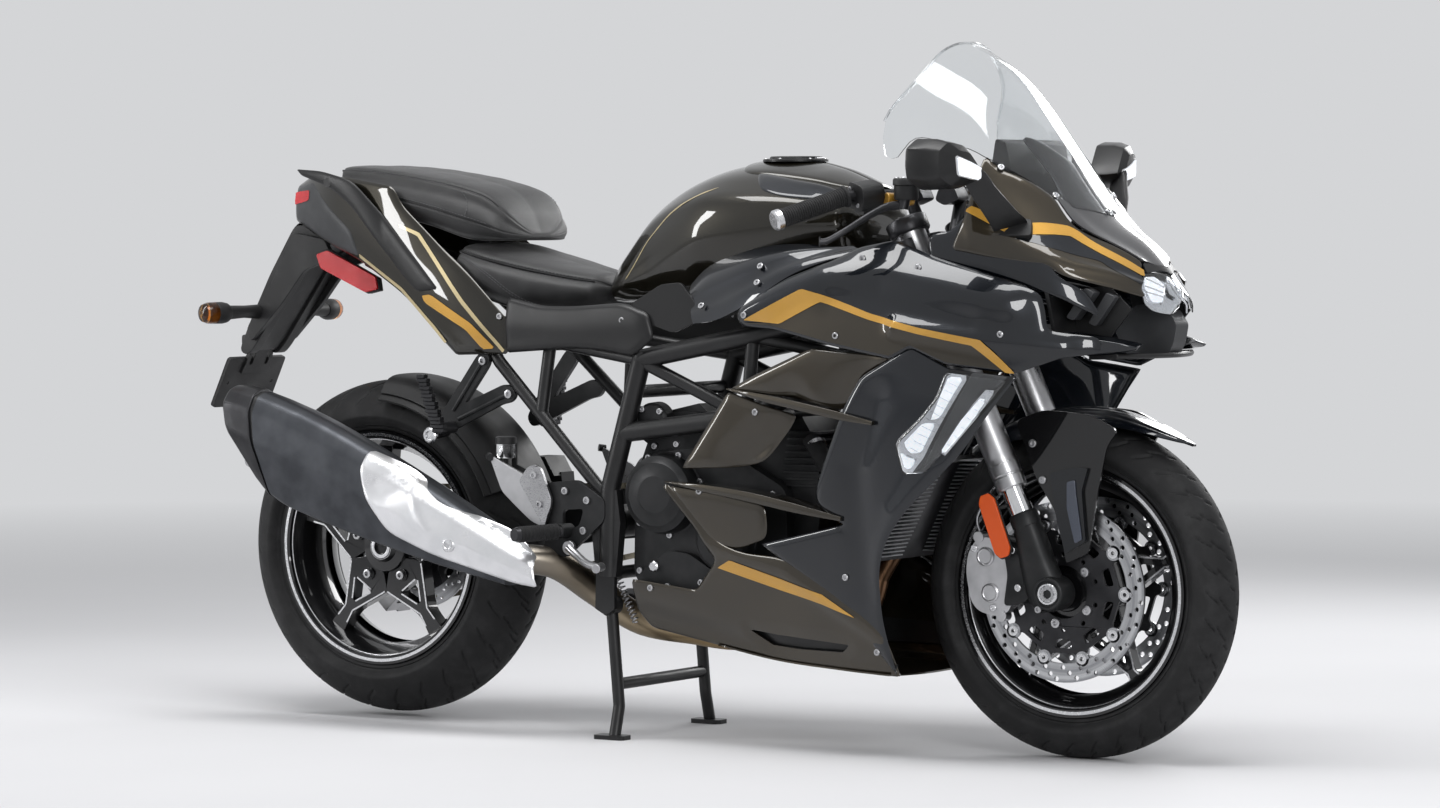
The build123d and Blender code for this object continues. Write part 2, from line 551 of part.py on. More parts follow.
with BuildPart() as exhaust_headers:
    for side in (1, -1):
        bent_tube([(318, 45 * side, 424), (350, 45 * side, 404), (343, 45 * side, 300),
                   (280, 40 * side, 205), (150, 40 * side, 195)], [18, 60, 60], 20)
    bent_tube([(160, 0, 195), (20, -20, 195), (-105, -50, 210), (-183, -90, 264),
               (-225, -172, 324), (-282, CAN_Y, 326)], [200, 60, 40, 26], 28)
    cut_by(engine_block, muffler_can)
save(exhaust_headers.part, "exhaust_headers")

# ---------------------------------------------------------------- tank and seats
TANK = [(-180, [(0, 836), (40, 832), (62, 815), (50, 802), (0, 800)]),
        (-130, [(0, 905), (62, 894), (98, 850), (80, 806), (0, 798)]),
        (-50, [(0, 988), (85, 970), (128, 905), (108, 822), (0, 800)]),
        (60, [(0, 1044), (98, 1022), (156, 930), (128, 836), (0, 806)]),
        (180, [(0, 1060), (104, 1036), (170, 945), (140, 846), (0, 812)]),
        (290, [(0, 1048), (100, 1028), (160, 955), (132, 872), (0, 830)]),
        (380, [(0, 1018), (76, 1002), (116, 955), (92, 905), (0, 880)])]
CAP_X, CAP_Z, CAP_R = along(195), 1064.0, 48.0
with BuildPart() as fuel_tank:
    section_loft(TANK)
    rod(Vector(CAP_X, 0, CAP_Z - 40), Vector(CAP_X, 0, CAP_Z), CAP_R + 8)
    for side in (1, -1):
        rod((300, side * 116, 890), (300, side * 142, 772), 10)
    cut_by(*FRAME)
save(fuel_tank.part, "fuel_tank")

CAP_HINGE_X, CAP_GAP = CAP_X + CAP_R + 3, 0.3
with BuildPart() as fuel_cap:
    rod(Vector(CAP_X, 0, CAP_Z + CAP_GAP), Vector(CAP_X, 0, CAP_Z + 7), CAP_R)
    with BuildSketch(Plane.XY.offset(CAP_Z + CAP_GAP)) as lug:
        with Locations((CAP_HINGE_X - 10, 0)):
            Rectangle(20, 26)
    extrude(lug.sketch, amount=6)
save(fuel_cap.part, "fuel_cap")

RIDER_SEAT = [(-184, [(0, 846), (40, 842), (58, 822), (50, 796), (0, 792)]),
              (-250, [(0, 872), (72, 862), (102, 830), (96, 786), (0, 782)]),
              (-340, [(0, 892), (98, 884), (140, 846), (132, 790), (0, 786)]),
              (-420, [(0, 906), (108, 900), (152, 866), (140, 816), (0, 812)]),
              (-480, [(0, 914), (104, 908), (146, 882), (134, 842), (0, 838)])]
with BuildPart() as rider_seat:
    section_loft(RIDER_SEAT)
    with BuildSketch(Plane.XY.offset(780)) as tank_side:
        with Locations((along(-60), 0)):
            Rectangle(along(120) - along(-120), 400)
    extrude(tank_side.sketch, amount=140, mode=Mode.SUBTRACT)
    for side in (1, -1):
        rod((-345, side * 120, 745), (-345, side * 120, 810), 9)
    cut_by(*FRAME)
save(rider_seat.part, "rider_seat")

PILLION_SEAT = [(-372, [(0, 950), (70, 946), (104, 934), (100, 920), (0, 918)]),
                (-420, [(0, 1006), (88, 996), (128, 960), (118, 920), (0, 918)]),
                (-500, [(0, 1032), (98, 1022), (138, 980), (126, 926), (0, 920)]),
                (-660, [(0, 1054), (92, 1046), (124, 1012), (112, 966), (0, 958)]),
                (-780, [(0, 1056), (66, 1050), (90, 1026), (80, 994), (0, 988)])]
with BuildPart() as passenger_seat:
    section_loft(PILLION_SEAT)
    cut_by(rider_seat)
save(passenger_seat.part, "passenger_seat")


# ---------------------------------------------------------------- tail
TAIL = [(-330, [(128, 880), (160, 830), (168, 790), (166, 690)]),
        (-420, [(140, 930), (160, 890), (168, 850), (160, 690)]),
        (-520, [(150, 985), (156, 950), (158, 920), (150, 740)]),
        (-660, [(136, 1022), (140, 1000), (140, 975), (126, 840)]),
        (-800, [(100, 1042), (106, 1016), (106, 1000), (92, 900)]),
        (-905, [(36, 1022), (48, 1012), (52, 1002), (46, 950)])]


def side_walls(sections):
    """Mirrored pair of thin walls through the (x, [(y, z), ...]) lines of the left side."""
    faces = []
    for x, line in sections:
        inner = [(y - PANEL_T, z) for y, z in reversed(line)]
        with BuildSketch(Plane.YZ.offset(along(x))) as face:
            Polygon(*line, *inner, align=None)
        faces.append(face.sketch)
    for pair in zip(faces, faces[1:]):
        loft(pair, ruled=True)


with BuildPart() as tail_panels:
    side_walls(TAIL)
    side_plate([(-735, 1038), (-905, 1040), (-905, 950), (-820, 918), (-703, 876), (-585, 812),
                (-495, 735), (-455, 700), (-330, 706), (-330, 800), (-430, 860), (-540, 945),
                (-610, 1018)], 0, 300, Mode.INTERSECT)
    cut_by(*FRAME)
    mirror(about=Plane.XZ)
save(tail_panels.part, "tail_panels")

FLANK = [(-25, [(RAIL_OUT + 4, 810), (RAIL_OUT + 8, 780), (RAIL_OUT + 10, 700)]),
         (-180, [(178, 820), (182, 780), (184, 700)]),
         (-330, [(160, 870), (168, 800), (170, 700)])]
with BuildPart() as side_covers:
    side_walls(FLANK)
    side_plate([(-330, 706), (-147, 720), (-25, 707), (-25, 796), (-180, 775), (-330, 790)],
               0, 300, Mode.INTERSECT)
    mirror(about=Plane.XZ)
save(side_covers.part, "side_covers")

GRAB_RAIL = [(-838, 1050), (-700, 1026), (-560, 880), (-600, 880), (-716, 996), (-840, 1030)]
with BuildPart() as grab_rails:
    for side in (1, -1):
        side_plate(GRAB_RAIL, side * 138, side * 152)
        cross_pin(along(-760), 1014, 9, side * 60, side * 138)
        cross_pin(along(-600), 890, 9, side * 120, side * 138)
    cut_by(passenger_seat, tail_panels)
save(grab_rails.part, "grab_rails")

HANGER = [(-800, 925), (-880, 955), (-905, 945), (-1020, 735), (-1038, 700), (-1081, 588),
          (-1075, 586), (-1032, 690), (-1000, 705), (-870, 880), (-800, 915)]
PLATE = Plane(origin=(along(-1062), 0, 639), x_dir=(0, 1, 0), z_dir=(-0.908, 0, 0.419))
PLATE_W, PLATE_H, PLATE_BOLTS, PLATE_HOLE_R = 180.0, 106.0, 140.0, 3.5
with BuildPart() as rear_fender:
    side_plate(HANGER, -62, 62)
    with BuildSketch(PLATE.offset(-6)) as backing:
        RectangleRounded(PLATE_W, PLATE_H, 8)
        with GridLocations(PLATE_BOLTS, 0, 2, 1):
            Circle(PLATE_HOLE_R, mode=Mode.SUBTRACT)
    extrude(backing.sketch, amount=6, dir=PLATE.z_dir)
    cross_pin(along(-990), 776, 9, -170, 170)
    cut_by(tail_panels)
save(rear_fender.part, "rear_fender")

with BuildPart() as licence_plate:
    with BuildSketch(PLATE) as sheet:
        RectangleRounded(PLATE_W, PLATE_H, 8)
        with GridLocations(PLATE_BOLTS, 0, 2, 1):
            Circle(PLATE_HOLE_R, mode=Mode.SUBTRACT)
    extrude(sheet.sketch, amount=2)
    cut_by(rear_fender)
save(licence_plate.part, "licence_plate")

with BuildPart() as tail_light:
    section_loft([(-846, [(0, 1022), (50, 1020), (66, 1002), (50, 958), (0, 946)]),
                  (-905, [(0, 1012), (26, 1010), (36, 998), (26, 960), (0, 946)])])
    cut_by(tail_panels, rear_fender)
save(tail_light.part, "tail_light")

with BuildPart() as rear_turn_signals:
    rod((-990, 170, 776), (-1002, 214, 774), 22)
    mirror(about=Plane.XZ)
    cut_by(rear_fender)
save(rear_turn_signals.part, "rear_turn_signals")

# ---------------------------------------------------------------- fairing
# Half-widths of the right-hand fairing hull at each height, at the stations of HULL_X.
HULL_X = (-80, 220, 430, 620, 800, 970)
HULL = {150: (120, 145, 185, 200, 190, 160), 300: (180, 205, 224, 235, 220, 190),
        400: (190, 215, 235, 245, 225, 160), 500: (195, 222, 245, 256, 220, 140),
        600: (195, 225, 252, 265, 225, 140), 700: (200, 232, 258, 268, 225, 135),
        800: (200, 235, 255, 262, 225, 110), 930: (150, 175, 190, 190, 165, 90)}


def hull_wall(layer, thick=PANEL_T):
    """Wall of the right-hand hull, layer 0 inside and each next one just outside it."""
    faces = []
    for z, halves in HULL.items():
        outer = body([(x, -y - layer * PANEL_T - thick) for x, y in zip(HULL_X, halves)])
        inner = body([(x, -y - layer * PANEL_T) for x, y in zip(HULL_X, halves)])
        with BuildSketch(Plane.XY.offset(z)) as face:
            with BuildLine():
                Polyline(*outer, *reversed(inner), close=True)
            make_face()
        faces.append(face.sketch)
    for pair in zip(faces, faces[1:]):
        loft(pair, ruled=True)


def hull_panel(layer, outline):
    """Mirrored pair of panels cut from one layer of the hull by a side-view outline."""
    hull_wall(layer)
    side_plate(outline, -400, -50, Mode.INTERSECT)
    mirror(about=Plane.XZ)


UPPER = [(229, 765), (218, 780), (221, 795), (316, 852), (404, 884), (452, 907), (521, 920),
         (561, 907), (608, 892), (702, 867), (792, 839), (823, 824), (830, 764), (908, 752),
         (912, 724), (779, 689), (660, 703), (591, 733), (551, 712), (418, 735), (292, 762)]
LOWER = [(486, 680), (591, 735), (664, 697), (781, 682), (736, 624), (679, 545), (631, 497),
         (597, 468), (546, 417), (515, 366), (506, 316), (507, 246), (520, 152), (408, 280),
         (251, 375), (435, 417), (383, 444), (377, 474), (401, 530), (446, 625)]
LOUVRE = [(190, 651), (229, 765), (292, 762), (418, 735), (551, 712), (591, 733), (630, 690),
          (557, 500), (424, 430), (47, 482), (81, 507), (204, 513), (331, 609)]
BELLY = [(-49, 299), (-4, 294), (96, 284), (149, 341), (47, 470), (47, 478), (424, 426),
         (470, 400), (480, 300), (505, 152), (245, 159), (-29, 208), (-50, 236)]
CORNER = [(664, 697), (783, 682), (730, 624), (618, 508), (571, 505), (557, 565), (645, 650)]

with BuildPart() as upper_side_fairings:
    hull_panel(1, UPPER)
save(upper_side_fairings.part, "upper_side_fairings")

with BuildPart() as lower_side_fairings:
    hull_panel(1, [(591, 733), *LOWER[2:], (486, 680), (551, 710)])
    cut_by(upper_side_fairings)
save(lower_side_fairings.part, "lower_side_fairings")

with BuildPart() as fairing_louvres:
    hull_panel(0, LOUVRE)
save(fairing_louvres.part, "fairing_louvres")

with BuildPart() as belly_cowls:
    hull_panel(0, BELLY)
    with BuildSketch(Plane.XY.offset(150)) as pan:
        Polygon(*body([(-29, -130), (-29, 130), (245, 149), (500, 192), (500, -192),
                       (245, -149)]), align=None)
    extrude(pan.sketch, amount=PANEL_T)
    for side in (1, -1):
        cross_pin(along(10), 285, 9, side * CASE_Y, side * 183)
save(belly_cowls.part, "belly_cowls")

with BuildPart() as corner_lights:
    hull_panel(2, CORNER)
save(corner_lights.part, "corner_lights")

NOSE = [(560, [(0, 1276), (110, 1240), (190, 1120), (210, 960), (214, 870)]),
        (650, [(0, 1210), (105, 1170), (182, 1060), (214, 940), (216, 865)]),
        (745, [(0, 1090), (95, 1058), (165, 985), (208, 900), (212, 850)]),
        (841, [(0, 963), (80, 945), (140, 905), (182, 860), (195, 820)]),
        (920, [(0, 902), (55, 886), (95, 862), (120, 835), (135, 780)]),
        (990, [(0, 822), (10, 820), (18, 815), (25, 808), (30, 790)])]
with BuildPart() as nose_core:
    section_loft([(x, [(max(y - PANEL_T, 0), z - PANEL_T) for y, z in half])
                  for x, half in NOSE], smooth=False)

with BuildPart() as nose_shell:
    section_loft(NOSE, smooth=False)
    cut_by(nose_core)
    side_plate([(560, 869), (560, 1300), (1000, 1300), (1000, 792), (960, 812), (830, 850),
                (650, 868)], -300, 300, Mode.INTERSECT)

SCREEN_EDGE = [(560, 1104), (600, 1098), (700, 1030), (780, 985), (846, 950)]
with BuildPart() as windscreen:
    add(nose_shell.part)
    side_plate([*SCREEN_EDGE, (860, 1300), (560, 1300)], -300, 300, Mode.INTERSECT)
save(windscreen.part, "windscreen")

with BuildPart() as nose_cowl:
    add(nose_shell.part)
    side_plate([*SCREEN_EDGE, (1000, 950), (1000, 780), (560, 780)], -300, 300, Mode.INTERSECT)
    side_plate([(540, 800), (540, 1200), (600, 1098), (650, 1010), (665, 868), (665, 800)],
               -300, 300, Mode.SUBTRACT)
    cut_by(upper_side_fairings)
save(nose_cowl.part, "nose_cowl")

with BuildPart() as headlight:
    add(nose_core.part)
    side_plate([(1000, 800), (960, 812), (850, 848), (850, 780), (1000, 780)], -300, 300,
               Mode.INTERSECT)
    cut_by(nose_cowl)
save(headlight.part, "headlight")

with BuildPart() as chin_cowl:
    with BuildSketch(Plane.XY.offset(712)) as beak:
        Polygon(*body([(800, -221), (905, -168), (978, 0), (905, 168), (800, 221), (800, 160),
                       (860, 120), (860, -120), (800, -160)]), align=None)
    extrude(beak.sketch, amount=28)
    side_plate([(862, 735), (862, 790), (900, 790), (940, 735)], -40, 40)
    cut_by(upper_side_fairings, headlight)
save(chin_cowl.part, "chin_cowl")

with BuildPart() as fairing_stay:
    bent_tube([(530, 0, 842), (660, 0, 852), (748, 0, 930)], [60], 14)
    cross_pin(along(746), 928, 10, -185, 185)
    cut_by(*FRAME, nose_shell, upper_side_fairings)
save(fairing_stay.part, "fairing_stay")

with BuildPart() as instrument_panel:
    side_plate([(668, 1000), (700, 990), (690, 1090), (672, 1096)], -110, 110)
    side_plate([(690, 1000), (690, 1030), (752, 990), (752, 920), (738, 920), (738, 975)], -12, 12)
    cut_by(fairing_stay)
save(instrument_panel.part, "instrument_panel")

MIRROR_HEAD = [(248, 1036), (300, 1092), (350, 1098), (380, 1078), (379, 1024), (340, 1006),
               (290, 1008)]
with BuildPart() as mirrors:
    with BuildSketch(Plane.YZ.offset(along(640))) as head:
        with BuildLine():
            Spline(*MIRROR_HEAD, periodic=True)
        make_face()
    extrude(head.sketch, amount=62, dir=(1, 0, 0))
    bent_tube([(742, 160, 950), (722, 238, 985), (690, 285, 1030)], [30], 13)
    mirror(about=Plane.XZ)
    cut_by(nose_shell, nose_core)
save(mirrors.part, "mirrors")

# ---------------------------------------------------------------- footrests and stands
HEEL_GUARD = [(-112, 392), (-106, 442), (-190, 446), (-330, 516), (-356, 516), (-346, 480),
              (-262, 420), (-218, 372), (-190, 366)]
with BuildPart() as rider_footrests:
    side_plate(HEEL_GUARD, PLATE_OUT + 8, PLATE_OUT + 16)
    for x, z in ((-118, 432), (-120, 404)):
        cross_pin(along(x), z, 12, PLATE_OUT, PLATE_OUT + 8)
    rod((-198, PLATE_OUT + 16, 382), (-226, 300, 380), 14)
    cut_by(*FRAME)
    mirror(about=Plane.XZ)
save(rider_footrests.part, "rider_footrests")

PILLION_HANGER = [(-352, 700), (-330, 668), (-318, 640), (-344, 626), (-462, 566), (-486, 580),
                  (-470, 620), (-404, 690)]
with BuildPart() as passenger_footrests:
    side_plate(PILLION_HANGER, 144, 154)
    rod((-468, 154, 580), (-468, 196, 580), 14)
    rod((-468, 190, 570), (-476, 236, 664), 13)
    cut_by(*FRAME)
    mirror(about=Plane.XZ)
save(passenger_footrests.part, "passenger_footrests")

STAND_X, STAND_Z, STAND_Y, STAND_R = along(-112), 246.0, 150.0, 11.0
STAND_PIN_R, LUG_Y = 8.0, STAND_Y + STAND_R + SIDE_GAP
PROP_X, PROP_Y, PROP_Z = along(-72), 196.0, 226.0
PROP_LENGTH, PROP_R, PROP_PIN_R = 225.0, 10.0, 6.0
PROP_AXIS = Vector(-0.028, -0.929, -0.369)
pin = Vector(PROP_X, PROP_Y, PROP_Z)
with BuildPart() as stand_brackets:
    side_plate([(-92, 304), (-132, 304), (-134, 240), (-112, 228), (-92, 240)], LUG_Y, LUG_Y + 10)
    cross_pin(STAND_X, STAND_Z, STAND_PIN_R, STAND_Y - 12, LUG_Y + 10)
    cut_by(*FRAME)
    mirror(about=Plane.XZ)
    rod(pin + 20 * PROP_AXIS, pin + 10 * PROP_AXIS, 16)
    rod(pin + 20 * PROP_AXIS, pin - 12 * PROP_AXIS, PROP_PIN_R)
    rod((-44, ENGINE_Y, 270), pin + 20 * PROP_AXIS, 8)
    cut_by(engine_covers, engine_block)
save(stand_brackets.part, "stand_brackets")

FOOT_X = STAND_X + 16
with BuildPart() as centre_stand:
    cross_pin(STAND_X, STAND_Z, 18, STAND_Y - STAND_R, STAND_Y + STAND_R)
    bent_tube([Vector(STAND_X + 1, STAND_Y, STAND_Z - 12), Vector(FOOT_X, STAND_Y, 60),
               Vector(FOOT_X, STAND_Y + 16, 4)], [40], STAND_R)
    with BuildSketch(Plane.XY) as foot:
        with Locations((FOOT_X - 4, STAND_Y + 18)):
            RectangleRounded(66, 34, 8)
    extrude(foot.sketch, amount=8)
    mirror(about=Plane.XZ)
    cross_pin(FOOT_X - 5, 100, STAND_R, -STAND_Y, STAND_Y)
    cross_pin(STAND_X, STAND_Z, STAND_PIN_R + RUN_GAP, -175, 175, Mode.SUBTRACT)
save(centre_stand.part, "centre_stand")

with BuildPart() as side_stand:
    rod(pin + 9 * PROP_AXIS, pin - 9 * PROP_AXIS, 15)
    rod(pin, pin + Vector(-PROP_LENGTH, 7, 0), PROP_R)
    rod(pin + Vector(-PROP_LENGTH, 7, 0), pin + Vector(-PROP_LENGTH - 7, 7, 0), 20)
    rod(pin + 13 * PROP_AXIS, pin - 13 * PROP_AXIS, PROP_PIN_R + RUN_GAP, Mode.SUBTRACT)
save(side_stand.part, "side_stand")
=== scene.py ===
"""Sport touring motorcycle: the looks of every piece, on the frame's bodies.

Points are written in millimetres in the frame's own axes: +X to the front wheel, +Y to the
rider's left, +Z up. Meshes are made in metres.
"""
import json
from math import atan2, cos, exp, hypot, pi, radians, sin, sqrt

import bmesh
import bpy
from mathutils import Matrix, Vector, geometry


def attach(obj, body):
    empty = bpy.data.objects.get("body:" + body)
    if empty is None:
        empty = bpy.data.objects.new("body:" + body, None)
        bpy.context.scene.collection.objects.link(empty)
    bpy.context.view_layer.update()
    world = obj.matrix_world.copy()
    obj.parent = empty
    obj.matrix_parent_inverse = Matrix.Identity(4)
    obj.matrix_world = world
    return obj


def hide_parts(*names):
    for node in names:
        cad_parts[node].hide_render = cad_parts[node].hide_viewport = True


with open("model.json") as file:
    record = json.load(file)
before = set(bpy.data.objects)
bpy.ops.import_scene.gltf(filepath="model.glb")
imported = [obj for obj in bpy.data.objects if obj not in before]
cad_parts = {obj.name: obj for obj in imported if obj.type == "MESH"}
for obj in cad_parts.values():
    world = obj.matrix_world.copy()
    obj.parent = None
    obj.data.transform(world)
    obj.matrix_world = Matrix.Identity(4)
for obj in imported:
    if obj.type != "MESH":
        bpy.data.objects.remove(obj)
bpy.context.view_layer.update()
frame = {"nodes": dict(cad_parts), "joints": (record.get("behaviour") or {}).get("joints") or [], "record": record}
JOINT_AT = {joint["name"]: joint["pos_m"] for joint in frame["joints"]}  # anchors, in metres

# ---------------------------------------------------------------- camera
AZIMUTH, ELEVATION, ROLL = radians(31.84), radians(2.32), radians(-0.12)
TARGET = Vector((0.0307, 0.0, 0.6140))
DISTANCE, LENS = 9.2963, 125.59


def make_camera():
    """Camera at the studio viewpoint, to the right of and a little ahead of the machine."""
    away = Vector((sin(AZIMUTH) * cos(ELEVATION), -cos(AZIMUTH) * cos(ELEVATION), sin(ELEVATION)))
    data = bpy.data.cameras.new("studio_camera")
    data.lens, data.sensor_width = LENS, 36.0
    camera = bpy.data.objects.new("studio_camera", data)
    look = (-away).to_track_quat("-Z", "Y").to_matrix().to_4x4()
    camera.matrix_world = Matrix.Translation(TARGET + DISTANCE * away) @ look @ \
        Matrix.Rotation(ROLL, 4, "Z")
    bpy.context.scene.collection.objects.link(camera)
    bpy.context.scene.camera = camera


make_camera()


# ---------------------------------------------------------------- shader expressions
class Shade:
    """A value or colour worked out over a surface; arithmetic adds Math nodes."""

    def __init__(self, finish, socket):
        self.finish, self.socket = finish, socket

    def _math(self, operation, *values):
        return self.finish.node("ShaderNodeMath", {"operation": operation}, dict(enumerate(values)))

    def __add__(self, other):
        return self._math("ADD", self, other)

    __radd__ = __add__

    def __sub__(self, other):
        return self._math("SUBTRACT", self, other)

    def __rsub__(self, other):
        return self._math("SUBTRACT", other, self)

    def __mul__(self, other):
        return self._math("MULTIPLY", self, other)

    __rmul__ = __mul__

    def sqrt(self):
        return self._math("SQRT", self)

    def between(self, low, high):
        """0 at low, 1 at high, straight in between and held past them."""
        return self.finish.node("ShaderNodeMapRange", {"clamp": True},
                                {"Value": self, "From Min": low, "From Max": high})


class Finish:
    """A procedural material built from expressions."""

    def __init__(self, name, **constants):
        self.material = bpy.data.materials.new(name)
        self.material.use_nodes = True
        self.tree = self.material.node_tree
        self.surface = self.tree.nodes["Principled BSDF"]
        for socket, value in constants.items():
            self.surface.inputs[socket.replace("_", " ")].default_value = value

    def node(self, kind, settings=None, inputs=None, output=0):
        """Any node: its settings are made first, then its sockets get values or links."""
        made = self.tree.nodes.new(kind)
        for key, value in (settings or {}).items():
            if key == "stops":
                ramp = made.color_ramp
                while len(ramp.elements) < len(value):
                    ramp.elements.new(0.5)
                for element, (place, colour) in zip(ramp.elements, value):
                    element.position, element.color = place, colour
            else:
                setattr(made, key, value)
        for key, value in (inputs or {}).items():
            socket = made.inputs[key]
            if isinstance(value, Shade):
                self.tree.links.new(value.socket, socket)
            else:
                socket.default_value = value
        return Shade(self, made.outputs[output])

    def place(self, axis):
        """A point's x, y or z in metres, as a value."""
        point = self.node("ShaderNodeTexCoord", output="Object")
        return self.node("ShaderNodeSeparateXYZ", {}, {"Vector": point}, output=axis)

    def noise(self, scale, detail=2.0, rough=0.5, stretch=None):
        """Soft random value around one half, at so many lumps a metre."""
        point = self.node("ShaderNodeTexCoord", output="Object")
        if stretch:
            point = self.node("ShaderNodeVectorMath", {"operation": "MULTIPLY"},
                              {0: point, 1: stretch})
        return self.node("ShaderNodeTexNoise", {},
                         {"Vector": point, "Scale": scale, "Detail": detail, "Roughness": rough})

    def cells(self, scale, feature="F1"):
        """Value of a cell pattern, at so many cells a metre."""
        point = self.node("ShaderNodeTexCoord", output="Object")
        return self.node("ShaderNodeTexVoronoi", {"feature": feature},
                         {"Vector": point, "Scale": scale})

    def mix(self, mask, first, second):
        """First colour where the mask is 0, second where it is 1."""
        return self.node("ShaderNodeMix", {"data_type": "RGBA"}, {0: mask, 6: first, 7: second},
                         output=2)

    def bump(self, height, strength, distance=0.001):
        """Raises the surface by a value, distance in metres."""
        normal = self.node("ShaderNodeBump", {}, {"Height": height, "Strength": strength,
                                                  "Distance": distance})
        self.set("Normal", normal)

    def set(self, socket, value):
        """Feeds a value to a socket of the surface."""
        self.tree.links.new(value.socket, self.surface.inputs[socket])


def rgb(red, green, blue):
    """A colour as it looks, 0 to 255, turned into linear light."""
    def linear(part):
        part /= 255
        return part / 12.92 if part < 0.04045 else ((part + 0.055) / 1.055) ** 2.4
    return (linear(red), linear(green), linear(blue), 1.0)


# ---------------------------------------------------------------- finishes
def metallic_paint(name, deep, flake, metallic=0.75, roughness=0.32):
    """Lacquered paint with fine flakes: two tones that swap from flake to flake."""
    paint = Finish(name, Metallic=metallic, Coat_Weight=1.0, Coat_Roughness=0.025,
                   Specular_IOR_Level=0.15)
    flakes = paint.cells(2600)
    sparkle = paint.node("ShaderNodeTexNoise", {}, {"Vector": flakes, "Scale": 4.0})
    cloud = paint.noise(3.0)
    tone = (sparkle * 0.75 + cloud * 0.35).between(0.32, 0.78)
    paint.set("Base Color", paint.mix(tone, deep, flake))
    paint.set("Roughness", roughness + 0.08 * sparkle - 0.04)
    return paint.material


def moulded_plastic(name, colour, worn, roughness=0.5, grain=900, depth=0.25):
    """Moulded plastic with a fine grain and slightly rubbed tone."""
    plastic = Finish(name, Specular_IOR_Level=0.4)
    grain_field = plastic.noise(grain, 3.0, 0.6)
    rubbed = plastic.noise(14, 3.0).between(0.45, 0.75)
    plastic.set("Base Color", plastic.mix(rubbed, colour, worn))
    plastic.set("Roughness", roughness - 0.12 * rubbed + 0.1 * grain_field)
    plastic.bump(grain_field, depth, 0.0004)
    return plastic.material


def cast_metal(name, colour, shade, roughness=0.45, metallic=1.0, grain=500, depth=0.3):
    """Cast or bead-blasted alloy: a pebbled skin with soft blotches."""
    metal = Finish(name, Metallic=metallic)
    pebble = metal.noise(grain, 4.0, 0.6)
    blotch = metal.noise(18, 3.0).between(0.35, 0.7)
    metal.set("Base Color", metal.mix(blotch, colour, shade))
    metal.set("Roughness", roughness + 0.14 * pebble - 0.1 * blotch)
    metal.bump(pebble, depth, 0.0003)
    return metal.material


def drawn_metal(name, colour, shade, stretch, roughness=0.24, depth=0.12):
    """Brushed, ground or turned metal whose fine lines run one way."""
    metal = Finish(name, Metallic=1.0)
    lines = metal.noise(220, 3.0, 0.65, stretch)
    blotch = metal.noise(9, 2.0)
    metal.set("Base Color", metal.mix((lines * 0.6 + blotch * 0.5).between(0.35, 0.75), colour,
                                      shade))
    metal.set("Roughness", roughness + 0.16 * lines - 0.06)
    metal.bump(lines, depth, 0.0002)
    return metal.material


def ground_disc(name, wheel_joint, colour, shade):
    """Brake disc face with rings left by the grinding wheel and the pads."""
    disc = Finish(name, Metallic=1.0)
    axle_x, _, axle_z = JOINT_AT[wheel_joint]
    x, z = disc.place(0) - axle_x, disc.place(2) - axle_z
    radius = (x * x + z * z).sqrt()
    rings = disc.node("ShaderNodeTexNoise", {"noise_dimensions": "1D"},
                      {"W": radius, "Scale": 1500.0, "Detail": 4.0})
    wear = disc.node("ShaderNodeTexNoise", {"noise_dimensions": "1D"},
                     {"W": radius, "Scale": 90.0, "Detail": 2.0})
    disc.set("Base Color", disc.mix(wear.between(0.35, 0.7), colour, shade))
    disc.set("Roughness", 0.2 + 0.22 * rings)
    disc.bump(rings, 0.2, 0.0002)
    return disc.material


def lens(name, colour, roughness=0.04):
    """Clear or coloured moulded glass with faint flow marks."""
    glass = Finish(name, Transmission_Weight=1.0, IOR=1.45, Coat_Weight=0.0)
    flow = glass.noise(6, 2.0)
    glass.set("Base Color", glass.mix(flow.between(0.3, 0.7), colour,
                                      tuple(0.96 * part for part in colour[:3]) + (1.0,)))
    glass.set("Roughness", roughness + 0.02 * flow)
    return glass.material


def rubber(name, colour, dusty, roughness=0.62):
    """Moulded rubber, dull with grain and dusty in patches."""
    skin = Finish(name, Specular_IOR_Level=0.35)
    grain = skin.noise(700, 3.0, 0.6)
    dust = skin.noise(22, 4.0, 0.6).between(0.45, 0.8)
    skin.set("Base Color", skin.mix(dust, colour, dusty))
    skin.set("Roughness", roughness + 0.18 * grain - 0.12 * dust)
    skin.bump(grain, 0.3, 0.0004)
    return skin.material


def seat_vinyl(name, colour, worn):
    """Grained vinyl: pebbles with fine creases between them."""
    hide = Finish(name, Specular_IOR_Level=0.45, Sheen_Weight=0.12)
    pebbles = hide.cells(620, "DISTANCE_TO_EDGE").between(0.0, 0.22)
    mottle = hide.noise(30, 3.0).between(0.35, 0.75)
    hide.set("Base Color", hide.mix(mottle, colour, worn))
    hide.set("Roughness", 0.5 - 0.1 * pebbles + 0.1 * mottle)
    hide.bump(pebbles * 0.8 + hide.noise(140, 2.0) * 0.2, 0.35, 0.0005)
    return hide.material


def heat_tinted(name, colours, along_axis, start, end):
    """Header steel that runs from straw to blue along its length."""
    pipe = Finish(name, Metallic=1.0)
    way = (pipe.place(along_axis) + 0.03 * pipe.noise(12, 3.0)).between(start, end)
    count = len(colours) - 1
    stops = [(index / count, colour) for index, colour in enumerate(colours)]
    tint = pipe.node("ShaderNodeValToRGB", {"stops": stops}, {0: way})
    pipe.set("Base Color", tint)
    scuff = pipe.noise(60, 4.0, 0.7)
    pipe.set("Roughness", 0.24 + 0.2 * scuff)
    pipe.bump(scuff, 0.12, 0.0003)
    return pipe.material


